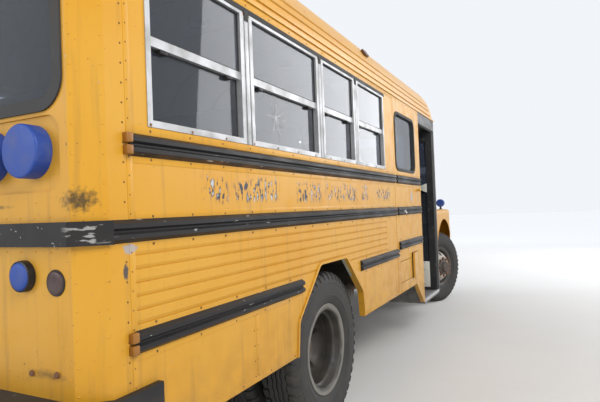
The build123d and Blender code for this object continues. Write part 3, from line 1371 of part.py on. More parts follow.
def rim():
    """Rim with flanges and drop centre, and a dished disc bolted at x = DISC_OFFSET."""
    edge = RIM_HALF + RIM_LIP
    outer = [(edge, RIM_FLANGE_R), (RIM_HALF, RIM_SEAT_R), (RIM_WELL_HALF, RIM_WELL_R)]
    inner = [(RIM_WELL_HALF, RIM_WELL_R - RIM_WALL), (edge, RIM_FLANGE_R - RIM_LIP)]
    outline = outer + [(-x, r) for x, r in reversed(outer)]
    wheel = ring(outline + [(-x, r) for x, r in reversed(inner)] + inner)
    face = DISC_OFFSET
    well = RIM_WELL_R - RIM_WALL / 2
    wheel += ring([
        (0.0, well),
        (face - DISC_DISH, BOLT_FACE_R + DISC_DISH),
        (face, BOLT_FACE_R),
        (face, DISC_BORE_R),
        (face - DISC_THICK, DISC_BORE_R),
        (face - DISC_THICK, BOLT_FACE_R),
        (face - DISC_DISH - DISC_THICK, BOLT_FACE_R + DISC_DISH - DISC_THICK / 2),
        (-DISC_THICK, well),
    ])
    for hole in range(HAND_HOLES):
        hole_form = extrude(RegularPolygon(HAND_HOLE_R, HAND_HOLE_SIDES), amount=DISC_OFFSET, both=True)
        drill = Pos(0, 0, HAND_HOLE_CIRCLE) * Rot(0, 90, 0) * hole_form
        wheel -= Rot(360.0 / HAND_HOLES * hole, 0, 0) * drill
    return wheel


def front_hub():
    """Front hub with its drum, made round the kingpin with the wheel side at +X."""
    face = SCRUB + DISC_OFFSET - DISC_THICK
    bore = SPINDLE_R + RUNNING
    hub = ring([
        (HUB_IN, bore),
        (HUB_IN, HUB_R),
        (face - HUB_FLANGE, HUB_R),
        (face - HUB_FLANGE, BOLT_FACE_R),
        (face, BOLT_FACE_R),
        (face, HUB_PILOT_R),
        (face + FRONT_CAP_LONG, FRONT_CAP_R),
        (face + FRONT_CAP_LONG, HUB_CORE_R),
        (face + HUB_END_GAP, HUB_CORE_R),
        (face + HUB_END_GAP, bore),
    ])
    wall = DRUM_R - DRUM_WALL
    return hub + ring([
        (FRONT_DRUM_IN, wall),
        (FRONT_DRUM_IN, DRUM_R),
        (FRONT_DRUM_OUT, DRUM_R),
        (FRONT_DRUM_OUT, HUB_R - DRUM_LAP),
        (FRONT_DRUM_OUT - DRUM_BACK, HUB_R - DRUM_LAP),
        (FRONT_DRUM_OUT - DRUM_BACK, wall),
    ])


def rear_hub():
    """Rear hub with its drum, wheel side at +X, bolting plane at x = 0."""
    bore = REAR_SPINDLE_R + RUNNING
    radius = HUB_R + REAR_HUB_MORE
    hub = ring([
        (-REAR_HUB_IN, bore),
        (-REAR_HUB_IN, radius),
        (-DISC_THICK - HUB_FLANGE, radius),
        (-DISC_THICK - HUB_FLANGE, BOLT_FACE_R),
        (-DISC_THICK, BOLT_FACE_R),
        (-DISC_THICK, HUB_PILOT_R),
        (DISC_THICK + REAR_CAP_STEP, HUB_PILOT_R),
        (REAR_CAP_LONG, REAR_CAP_R),
        (REAR_CAP_LONG, HUB_CORE_R),
        (HUB_END_GAP - REAR_SPINDLE_IN, HUB_CORE_R),
        (HUB_END_GAP - REAR_SPINDLE_IN, bore),
    ])
    drum_r = DRUM_R + REAR_DRUM_MORE
    wall = drum_r - DRUM_WALL
    return hub + ring([
        (-REAR_DRUM_IN, wall),
        (-REAR_DRUM_IN, drum_r),
        (-REAR_DRUM_OUT, drum_r),
        (-REAR_DRUM_OUT, radius - DRUM_LAP),
        (-REAR_DRUM_OUT - DRUM_BACK, radius - DRUM_LAP),
        (-REAR_DRUM_OUT - DRUM_BACK, wall),
    ])


def rear_axle():
    """Banjo housing with spindles and spring seats."""
    z = TYRE_R
    end = REAR_MOUNT_X - REAR_SPINDLE_IN
    tube = end - HOUSING_IN
    axle = across(HOUSING_R, -tube, tube, REAR_AXLE_Y, z)
    axle += across(REAR_SPINDLE_R, -end, end, REAR_AXLE_Y, z)
    axle += along(DIFF_R, REAR_AXLE_Y - DIFF_HALF, REAR_AXLE_Y + DIFF_HALF, 0.0, z)
    cover_y = REAR_AXLE_Y + DIFF_HALF + DIFF_COVER / 2
    axle += Pos(0, cover_y, z) * Rot(90, 0, 0) * Cone(DIFF_COVER_R, DIFF_R, DIFF_COVER)
    axle += along(PINION_R, PINION_Y, REAR_AXLE_Y, 0.0, z)
    seat_z = REAR_SPRING_SEAT_Z + LEAF_FLAT - TOUCH
    for side in SIDES:
        axle += block(side * REAR_SPRING_IN, side * REAR_SPRING_OUT, REAR_AXLE_Y - SPRING_SEAT_HALF,
                      REAR_AXLE_Y + SPRING_SEAT_HALF, z, seat_z)
    return axle


def place_rear(side, shape, x):
    """Place a wheel piece on the rear axle, its wheel side outwards."""
    turn = 0.0 if side > 0 else 180.0
    return Location((side * x, REAR_AXLE_Y, TYRE_R), (0, 0, turn)) * shape


def rear_rims(side):
    """Inner and outer rims bolted back to back on the hub."""
    outer = Pos(DISC_OFFSET, 0, 0) * Rot(0, 0, 180) * rim()
    inner = Pos(-DISC_OFFSET, 0, 0) * rim()
    return [place_rear(side, part, REAR_MOUNT_X) for part in (outer, inner, rear_hub())]


# Driveline and tanks

def engine_block():
    """Engine as one plain block with its gearbox behind."""
    tail_y = GEARBOX_Y - TAIL_HOUSING
    engine = block(-ENGINE_HALF, ENGINE_HALF, ENGINE_FRONT_Y, ENGINE_REAR_Y, ENGINE_LOW_Z, ENGINE_TOP_Z)
    engine += block(-GEARBOX_HALF, GEARBOX_HALF, ENGINE_REAR_Y, tail_y, GEARBOX_LOW_Z, GEARBOX_TOP_Z)
    return engine + along(TAIL_HOUSING_R, tail_y, GEARBOX_Y, 0.0, TAIL_HOUSING_Z)


def drive_shaft():
    """Propeller shaft from the gearbox to the rear axle."""
    return along(SHAFT_R, GEARBOX_Y + FIT, PINION_Y - FIT, 0.0, SHAFT_Z)


def pipe_run(points):
    """Exhaust pipe along straight runs joined by bends."""
    path = FilletPolyline(*points, radius=EXHAUST_BEND)
    return sweep(Plane(path @ 0, z_dir=path % 0) * Circle(EXHAUST_R), path=path)


def exhaust():
    """Pipe from the engine, round muffler on the entry side, and tail pipe over the axle."""
    low = MUFFLER_FRONT_Y
    high = MUFFLER_REAR_Y
    pipe = along(MUFFLER_R, low, high, MUFFLER_X, MUFFLER_Z)
    pipe += pipe_run([
        (EXHAUST_X, ENGINE_REAR_Y + EXHAUST_GAP, EXHAUST_Z),
        (EXHAUST_X, low - EXHAUST_CROSS, EXHAUST_Z),
        (MUFFLER_X, low - EXHAUST_CROSS / 2, MUFFLER_Z),
        (MUFFLER_X, low + PIPE_LAP, MUFFLER_Z),
    ])
    pipe += pipe_run([
        (MUFFLER_X, high - PIPE_LAP, MUFFLER_Z),
        (MUFFLER_X, high + TAIL_STRAIGHT, MUFFLER_Z),
        (TAIL_X, REAR_AXLE_Y - TYRE_R, TAIL_Z),
        (TAIL_X, REAR_AXLE_Y + TYRE_R + TAIL_OVER, TAIL_Z),
        (TAIL_X, REAR_AXLE_Y + TYRE_R + TAIL_DOWN, TAIL_END_Z),
        (TAIL_X, REAR_BUMPER_Y - TAIL_SHORT, TAIL_END_Z),
    ])
    top = MUFFLER_Z + MUFFLER_R
    half = HANGER_WIDE / 2
    for y in HANGER_ROWS:
        pipe += block(MUFFLER_X - half, -RAIL_OUT_X, y - half, y + half, top - HANGER_THICK, top)
    return pipe


def fuel_tank():
    """Tank hung outside the rail on the driver's side."""
    tank = block(RAIL_OUT_X, TANK_OUT_X, TANK_FRONT_Y, TANK_REAR_Y, TANK_LOW_Z, TANK_TOP_Z)
    return fillet(tank.edges().filter_by(Axis.Y), TANK_R)


# Floor, steps and wheel boxes

def floor():
    """Floor plate on cross sills, cut for the steps and the wheel boxes."""
    low = FLOOR_Z - FLOOR_THICK
    front = [(COWL_HALF - WALL, COWL_Y + WALL), (INNER_X, WALL_END_Y)]
    plate = plan_prism(mirrored(front + corner_plan(WALL)), low, FLOOR_Z)
    half = SILL_WIDE / 2
    for y, reach in SILLS:
        plate += block(-reach, reach, y - half, y + half, RAIL_TOP_Z, low)
    y0 = REAR_AXLE_Y - BOX_HALF_Y
    y1 = REAR_AXLE_Y + BOX_HALF_Y
    for side in SIDES:
        plate -= block(side * BOX_IN_X, side * (INNER_X + OVER), y0, y1, RAIL_TOP_Z - OVER, FLOOR_Z + OVER)
    riser_x = -HALF_WIDTH + STEP_RISERS[-1]
    plate -= block(riser_x, -INNER_X - OVER, DOOR_FRONT_Y, DOOR_REAR_Y, RAIL_TOP_Z - OVER, FLOOR_Z + OVER)
    return plate


def wheel_box():
    """Steel box over the rear wheels on the driver's side, open below and towards the arch."""
    def outline(inset):
        """Outline of the box, moved in by the inset and drawn past its foot."""
        half = [
            (BOX_HALF_Y - inset, RAIL_TOP_Z - inset),
            (BOX_HALF_Y - inset, BOX_SHOULDER_Z - inset),
            (BOX_TOP_HALF_Y - inset, BOX_TOP_Z - inset),
        ]
        return [(REAR_AXLE_Y + y, z) for y, z in mirrored(half)]
    box = side_prism(outline(0.0), BOX_IN_X, INNER_X)
    return box - side_prism(outline(BOX_THICK), BOX_IN_X + BOX_THICK, INNER_X + OVER)


def stepwell():
    """Three steps with their side plates, in the doorway."""
    edge = -HALF_WIDTH
    y0 = DOOR_FRONT_Y + STEP_SIDE
    y1 = DOOR_REAR_Y - STEP_SIDE
    foot_z = STEP_LOW_Z - STEP_FOOT
    steps = block(edge, edge + STEP_PLATE, y0, y1, foot_z, STEP_LOW_Z)
    start = edge
    for row, reach in enumerate(STEP_RISERS):
        z = STEP_LOW_Z + row * STEP_RISE
        inner_x = edge + reach
        steps += block(start, inner_x, y0, y1, z - STEP_PLATE, z)
        steps += block(inner_x - STEP_PLATE, inner_x, y0, y1, z - STEP_PLATE, z + STEP_RISE)
        start = inner_x - STEP_PLATE
    inner_x = edge + STEP_RISERS[-1]
    outline = [
        (edge, foot_z),
        (STEP_BACK_X, foot_z),
        (inner_x, STEP_BACK_Z),
        (inner_x, FLOOR_Z),
        (-INNER_X, FLOOR_Z),
        (-INNER_X, DOOR_LOW_Z),
        (edge, DOOR_LOW_Z),
    ]
    for y in (y0, y1 - STEP_PLATE):
        steps += front_prism(outline, y, y + STEP_PLATE)
    pin_top = LEAF_LOW_Z + LEAF_LUG_TALL + LEAF_PIN_OVER
    return steps + upright(LEAF_PIN_R, STEP_LOW_Z, pin_top, LEAF_PIVOT_X, LEAF_PIVOT_Y)


# Entry door leaves

def leaf():
    """Door leaf standing along +X from its pivot, its outer face towards +Y at -LEAF_PROUD."""
    face = -LEAF_PROUD
    back = face - LEAF_THICK
    panel = block(LEAF_EDGE, LEAF_LENGTH - LEAF_EDGE, back, face, LEAF_LOW_Z, LEAF_TOP_Z)
    panel -= block(LEAF_STILE, LEAF_LENGTH - LEAF_STILE, back - OVER, face + OVER,
                   LEAF_GLASS_LOW_Z, LEAF_GLASS_TOP_Z)
    return panel


def lug(x, z0, z1, bored):
    """Round hinge lug on a leaf's outer face, bored when it takes a pin."""
    body = upright(LEAF_LUG_R, z0, z1, x, 0.0)
    inward = LUG_INSET if x < LEAF_LENGTH / 2 else -LUG_INSET
    body += block(x, x + inward, -LEAF_PROUD, LEAF_LUG_R - LEAF_PROUD, z0, z1)
    if bored:
        body -= upright(LEAF_PIN_R + RUNNING, z0 - OVER, z1 + OVER, x, 0.0)
    return body


def front_leaf():
    """Leaf on the front post: bored lugs at its pivot, pinned lugs at its far edge."""
    panel = leaf()
    panel += lug(0.0, LEAF_LOW_Z, LEAF_LOW_Z + LEAF_LUG_TALL, True)
    panel += lug(0.0, LEAF_TOP_Z - LEAF_LUG_TALL, LEAF_TOP_Z, True)
    near = (LEAF_LUG_TALL + LUG_GAP) / 2
    for z in LEAF_HINGES:
        panel += lug(LEAF_LENGTH, z + near, z + near + LEAF_LUG_TALL, False)
        panel += lug(LEAF_LENGTH, z - near - LEAF_LUG_TALL, z - near, False)
        panel += upright(LEAF_PIN_R, z - LEAF_LUG_TALL, z + LEAF_LUG_TALL, LEAF_LENGTH, 0.0)
    return panel


def rear_leaf():
    """Outer leaf, with bored lugs between the first leaf's lugs."""
    panel = leaf()
    for z in LEAF_HINGES:
        panel += lug(0.0, z - LEAF_LUG_TALL / 2, z + LEAF_LUG_TALL / 2, True)
    return panel


def leaf_glass():
    """Pane of a door leaf, in the leaf's own place."""
    y = -LEAF_PROUD - LEAF_THICK / 2
    return block(LEAF_STILE, LEAF_LENGTH - LEAF_STILE, y - PANE / 2, y + PANE / 2,
                 LEAF_GLASS_LOW_Z, LEAF_GLASS_TOP_Z)


def front_leaf_place(shape):
    """Folded place of the leaf on the front post."""
    return Pos(LEAF_PIVOT_X, LEAF_PIVOT_Y, 0) * shape


def rear_leaf_place(shape):
    """Folded place of the outer leaf, which points back out from the first leaf's end."""
    return Location((LEAF_PIVOT_X + LEAF_LENGTH, LEAF_PIVOT_Y, 0), (0, 0, 180)) * shape


# Seats and driver's place

def bench_frame(y):
    """Tube frame of one bench on the driver's side."""
    half = SEAT_TUBE / 2
    low = CUSHION_LOW_Z - SEAT_TUBE
    leg_x = BENCH_IN_X + SEAT_LEG_IN
    frame = None
    for end in SIDES:
        leg_y = y + end * SEAT_LEG_SPREAD
        leg = block(leg_x - half, leg_x + half, leg_y - half, leg_y + half, FLOOR_Z, low)
        leg += block(BENCH_IN_X, INNER_X, leg_y - half, leg_y + half, low, CUSHION_LOW_Z)
        frame = leg if frame is None else frame + leg
    back = y + BENCH_DEEP / 2
    for x in (leg_x, BENCH_OUT_X - SEAT_POST_IN):
        post_y = back + SEAT_POST_BACK
        frame += block(x - half, x + half, y + SEAT_LEG_SPREAD, post_y, low, CUSHION_LOW_Z)
        frame += block(x - half, x + half, post_y - SEAT_TUBE, post_y, low, CUSHION_LOW_Z + CUSHION_TALL)
    return frame


def bench_pads(y):
    """Cushion and back pad of one bench on the driver's side, as plain soft solids."""
    back = y + BENCH_DEEP / 2
    top = CUSHION_LOW_Z + CUSHION_TALL
    cushion = block(BENCH_IN_X, BENCH_OUT_X, y - BENCH_DEEP / 2, back,
                    CUSHION_LOW_Z + FIT, top - CUSHION_GAP)
    rest = block(BENCH_IN_X, BENCH_OUT_X, back, back + BACK_THICK, top + FIT, top + BACK_TALL)
    return [cushion, rest]


def driver_seat():
    """Driver's seat pedestal and pan."""
    top = FLOOR_Z + DRIVER_PEDESTAL_TALL
    foot = DRIVER_PEDESTAL
    x, y = DRIVER_X, DRIVER_Y
    seat = block(x - foot, x + foot, y - foot, y + foot, FLOOR_Z, top)
    half = DRIVER_HALF
    return seat + block(x - half, x + half, y - half, y + DRIVER_PAN_REAR, top, DRIVER_PAN_Z)


def driver_pads():
    """Cushion and back of the driver's seat."""
    low = DRIVER_PAN_Z + FIT
    x0 = DRIVER_X - DRIVER_HALF
    x1 = DRIVER_X + DRIVER_HALF
    rear = DRIVER_Y + DRIVER_CUSHION_REAR
    cushion = block(x0, x1, DRIVER_Y - DRIVER_CUSHION_FRONT, rear, low, low + DRIVER_CUSHION)
    rest_y = rear + CUSHION_GAP / 2
    rest = block(x0, x1, rest_y, rest_y + DRIVER_BACK_THICK, low, low + DRIVER_BACK_TALL)
    return [cushion, rest]


def on_column(shape):
    """Place a piece made round the column's axis, with the wheel's middle at its origin."""
    return Location((DRIVER_X, WHEEL_Y, WHEEL_Z), (-WHEEL_TILT, 0, 0)) * shape


def steering_wheel():
    """Steering wheel with a six-sided rim, four spokes and its hub."""
    section = RegularPolygon(WHEEL_TUBE_R, WHEEL_SIDES)
    wheel = revolve(Plane.XZ * Pos(WHEEL_R, 0) * section, axis=Axis.Z)
    wheel += upright(WHEEL_HUB_R, -WHEEL_HUB_LOW, WHEEL_HUB_TOP, 0.0, 0.0)
    for turn in (0.0, 90.0):
        wheel += Rot(0, 0, turn) * Box(2 * WHEEL_R - WHEEL_TUBE_R, SPOKE_WIDE, SPOKE_THICK)
    return on_column(wheel)


def steering_column():
    """Column from the wheel's hub down to the floor."""
    low = -WHEEL_HUB_LOW - FIT
    column = on_column(Pos(0, 0, low - COLUMN_LONG / 2) * Cylinder(COLUMN_R, COLUMN_LONG))
    return column - block(0.0, HALF_WIDTH, -FAR, 0.0, 0.0, FLOOR_Z)


def dashboard():
    """Dashboard with a sloping face in front of the driver."""
    back = COWL_Y + WALL
    outline = [
        (back, DASH_LOW_Z),
        (back + DASH_DEEP - DASH_LIP, DASH_LOW_Z),
        (back + DASH_DEEP, DASH_LOW_Z + DASH_FOOT),
        (back + DASH_DEEP - DASH_LEAN, COWL_Z - DASH_BROW),
        (back + DASH_TOP, COWL_Z),
        (back, COWL_Z),
    ]
    return side_prism(outline, DASH_IN_X, COWL_HALF - WALL)


def lamps_on_rear(table):
    """Round lamps standing on the rear wall on both sides."""
    lamps = []
    for side in SIDES:
        for x_in, up, radius, out in table:
            z = FLOOR_Z + up
            seat = REAR_Y - RECESS_DEEP if z > RECESS_LOW_Z else REAR_Y
            lamps.append(along(radius, seat, REAR_Y + out, side * (CORNER_X - x_in), z))
    return lamps


# Hatches in the entry-side skirt

def battery_axis():
    """Height of the battery hatch's hinge line."""
    return BATTERY_HATCH[3] - PANEL_GAP - HATCH_EDGE


def side_hatch_axis():
    """Place along the bus of the side hatch's hinge line."""
    return SIDE_HATCH[1] + PANEL_GAP + HATCH_EDGE


def hatch_pins():
    """Stub pins in the wall: two for each hatch."""
    rear, front, low, top = BATTERY_HATCH
    z = battery_axis()
    pins = along(HATCH_PIN_R, rear - HATCH_PIN_DEEP, rear, HATCH_X, z)
    pins += along(HATCH_PIN_R, front, front + HATCH_PIN_DEEP, HATCH_X, z)
    rear, front, low, top = SIDE_HATCH
    y = side_hatch_axis()
    pins += upright(HATCH_PIN_R, top - HATCH_PIN_DEEP, top, HATCH_X, y)
    return pins + upright(HATCH_PIN_R, low, low + HATCH_PIN_DEEP, HATCH_X, y)


def hatch_panel(hatch):
    """Closed hatch panel, flush with the wall, with a gap all round."""
    rear, front, low, top = hatch
    return block(-HALF_WIDTH, HATCH_THICK - HALF_WIDTH, front + PANEL_GAP, rear - PANEL_GAP,
                 low + PANEL_GAP, top - PANEL_GAP)


def battery_door():
    """Battery hatch, hinged along its top edge."""
    bore = HATCH_PIN_R + RUNNING
    reach = HATCH_PIN_DEEP + HATCH_PIN_END
    door = hatch_panel(BATTERY_HATCH)
    for y in BATTERY_HATCH[:2]:
        door -= along(bore, y - reach, y + reach, HATCH_X, battery_axis())
    return door


def side_hatch():
    """Small upright hatch, hinged along its front edge and standing ajar."""
    bore = HATCH_PIN_R + RUNNING
    reach = HATCH_PIN_DEEP + HATCH_PIN_END
    y = side_hatch_axis()
    door = hatch_panel(SIDE_HATCH)
    for z in SIDE_HATCH[2:]:
        door -= upright(bore, z - reach, z + reach, HATCH_X, y)
    return Pos(HATCH_X, y, 0) * Rot(0, 0, HATCH_AJAR_DEG) * Pos(-HATCH_X, -y, 0) * door


def build_body():
    """Make and write the fixed body and the pieces that ride on it."""
    cowl = front_cowl()
    for pin in hood_pins():
        cowl += pin
    back = rear_wall()
    door = rear_door()
    for z in HINGE_ROWS:
        pin, barrel = rear_hinge(z)
        back += pin
        door += barrel
    write("body_floor", floor())
    write("wheel_boxes", *both_sides(wheel_box()))
    write("stepwell", stepwell())
    write("right_side_wall", side_wall(-1.0))
    write("left_side_wall", side_wall(1.0))
    write("entry_door_frame", entry_door_frame())
    write("rear_wall", back)
    write("rear_door", door)
    write("rear_door_glass", *rear_door_panes())
    write("rear_door_rail", door_rub_rail())
    write("roof", roof())
    write("front_cowl", cowl)
    write("side_window_frames", *[sash_frame(side, *bay) for side in SIDES for bay in window_bays()])
    panes = [pane for side in SIDES for bay in window_bays() for pane in sash_glass(side, *bay)]
    for pane in [*fixed_panes(), screen_pane()]:
        panes += both_sides(pane)
    glass_x = HALF_WIDTH - DRIVER_PANE_DEEP
    panes.append(block(glass_x, glass_x - PANE, DRIVER_FRONT_Y, DRIVER_REAR_Y, DRIVER_LOW_Z, WINDOW_TOP_Z))
    write("window_glass", *panes)
    write("window_gaskets", *both_sides(side_gasket()), *both_sides(rear_gasket()))
    write("rub_rails", *side_rub_rails(-1.0), *side_rub_rails(1.0), *both_sides(rear_rub_rail()))
    write("rear_bumper", rear_bumper())
    write("rear_lamps", *lamps_on_rear(REAR_LAMPS))
    write("rear_reflectors", *lamps_on_rear(REFLECTORS))
    write("marker_lamps", *marker_lamps())
    write("warning_lamps", *warning_lamps())
    write("battery_door", battery_door())
    write("side_hatch", side_hatch())
    write("entry_door_front_leaf", front_leaf_place(front_leaf()))
    write("entry_door_front_glass", front_leaf_place(leaf_glass()))
    write("entry_door_rear_leaf", rear_leaf_place(rear_leaf()))
    write("entry_door_rear_glass", rear_leaf_place(leaf_glass()))


def build_nose():
    """Make and write the hood, the fenders and what stands on them."""
    write("hood", hood())
    write("front_fenders", *both_sides(fender()))
    write("fender_lamps", *both_sides(fender_lamp()))
    write("head_lamps", *both_sides(head_lamp()))
    write("grille", grille())
    write("front_bumper", front_bumper())


def build_chassis():
    """Make and write the frame, the axles, the wheels and the driveline."""
    write("chassis_frame", chassis_frame())
    write("front_axle", front_axle())
    write("rear_axle", rear_axle())
    write("leaf_springs", *springs())
    write("tie_rod", tie_rod())
    write("engine_block", engine_block())
    write("drive_shaft", drive_shaft())
    write("exhaust", exhaust())
    write("fuel_tank", fuel_tank())
    middle = REAR_TYRE_OUT - TYRE_WIDTH / 2
    inner = REAR_MOUNT_X - DISC_OFFSET
    for side, word in ((-1.0, "right"), (1.0, "left")):
        write(word + "_knuckle", knuckle(side))
        write(word + "_front_tyre", steered(side, Pos(SCRUB, 0, 0) * tyre()))
        write(word + "_front_wheel", steered(side, Pos(SCRUB, 0, 0) * rim()), steered(side, front_hub()))
        write(word + "_rear_tyres", place_rear(side, tyre(), middle), place_rear(side, tyre(), inner))
        write(word + "_rear_wheels", *rear_rims(side))


def build_cabin():
    """Make and write the seats and the driver's place."""
    rows = [BENCH_FIRST_Y + row * BENCH_PITCH for row in range(BENCH_COUNT)]
    write("seat_frames", *[frame for y in rows for frame in both_sides(bench_frame(y))])
    write("seat_pads", *[pad for y in rows for half in bench_pads(y) for pad in both_sides(half)])
    write("driver_seat", driver_seat())
    write("driver_seat_pads", *driver_pads())
    write("steering_wheel", steering_wheel())
    write("steering_column", steering_column())
    write("dashboard", dashboard())


build_body()
build_nose()
build_chassis()
build_cabin()
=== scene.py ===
"""Looks of a short school bus: finishes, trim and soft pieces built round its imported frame.

Every length is in metres in the frame's own axes: the bus's nose is at -Y, its entry side at -X.
"""
from __future__ import annotations

import json
import logging
import math
import random
from collections.abc import Callable, Iterable, Iterator, Sequence
from contextlib import contextmanager
from dataclasses import dataclass, field
from enum import Enum

import bmesh
import bpy
from mathutils import Matrix, Vector

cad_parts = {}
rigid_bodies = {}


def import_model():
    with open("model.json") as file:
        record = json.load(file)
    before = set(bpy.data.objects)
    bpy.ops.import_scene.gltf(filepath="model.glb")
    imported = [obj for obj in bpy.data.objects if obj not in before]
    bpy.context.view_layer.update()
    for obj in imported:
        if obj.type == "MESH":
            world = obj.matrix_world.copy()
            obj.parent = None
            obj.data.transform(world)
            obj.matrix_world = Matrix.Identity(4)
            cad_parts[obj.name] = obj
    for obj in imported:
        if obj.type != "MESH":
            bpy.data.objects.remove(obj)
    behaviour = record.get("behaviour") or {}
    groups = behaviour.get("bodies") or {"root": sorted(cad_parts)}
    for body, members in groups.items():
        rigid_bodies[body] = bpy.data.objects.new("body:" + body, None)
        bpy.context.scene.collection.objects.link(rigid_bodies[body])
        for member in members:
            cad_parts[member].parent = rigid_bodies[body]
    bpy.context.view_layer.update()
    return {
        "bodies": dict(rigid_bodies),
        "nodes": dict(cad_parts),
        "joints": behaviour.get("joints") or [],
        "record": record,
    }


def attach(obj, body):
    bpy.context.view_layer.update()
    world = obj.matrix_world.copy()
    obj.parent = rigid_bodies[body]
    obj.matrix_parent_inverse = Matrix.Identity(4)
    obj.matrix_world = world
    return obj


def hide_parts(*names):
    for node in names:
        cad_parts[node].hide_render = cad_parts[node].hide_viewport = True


LOG = logging.getLogger("bus")
Colour = tuple[float, float, float]
Point = tuple[float, float, float]
Profile = Sequence[tuple[float, float]]
Socket = bpy.types.NodeSocket
ENTRY = -1.0
DRIVER = 1.0
SIDES = (ENTRY, DRIVER)
HALF_WIDTH = 1.22
REAR_FACE = 3.61
ROOF_FRONT = -1.65
BUMPER_FACE = 3.7395
EAVE = 2.455
FRONT_AXLE = -2.89
REAR_AXLE = 1.69
AXLE_HEIGHT = 0.505
SCREEN_FOOT = 1.6
SCREEN_LEAN = 0.187
WAVE_TURN = 6.28


class Slot(Enum):
    """Material slots of the record."""

    YELLOW = "yellow_paint"
    BLACK = "black_paint"
    ALUMINIUM = "bare_aluminium"
    GLASS = "window_glass"
    RUBBER = "black_rubber"
    TYRE = "tyre_rubber"
    REAR_WHEEL = "black_wheel"
    FRONT_WHEEL = "white_wheel"
    CHASSIS = "chassis_black"
    STEEL = "steel"
    BLUE = "blue_cover"
    RED = "red_lens"
    AMBER = "amber_lens"
    CLEAR = "clear_lens"
    VINYL = "seat_vinyl"
    DASH = "dash_plastic"
    FLOOR = "floor_rubber"
    CAST = "cast_steel"


class Head(Enum):
    """Fastener heads: sides, radius, height and how much the top narrows."""

    RIVET = (10, 0.0055, 0.0028, 0.55)
    SMALL_RIVET = (8, 0.0038, 0.0020, 0.55)
    SCREW = (12, 0.0060, 0.0022, 0.80)
    BOLT = (6, 0.0110, 0.0080, 0.96)
    WHEEL_NUT = (6, 0.0165, 0.0230, 0.93)
    FLANGE_NUT = (6, 0.0105, 0.0120, 0.95)
    CARRIAGE = (16, 0.0150, 0.0060, 0.55)


# Materials


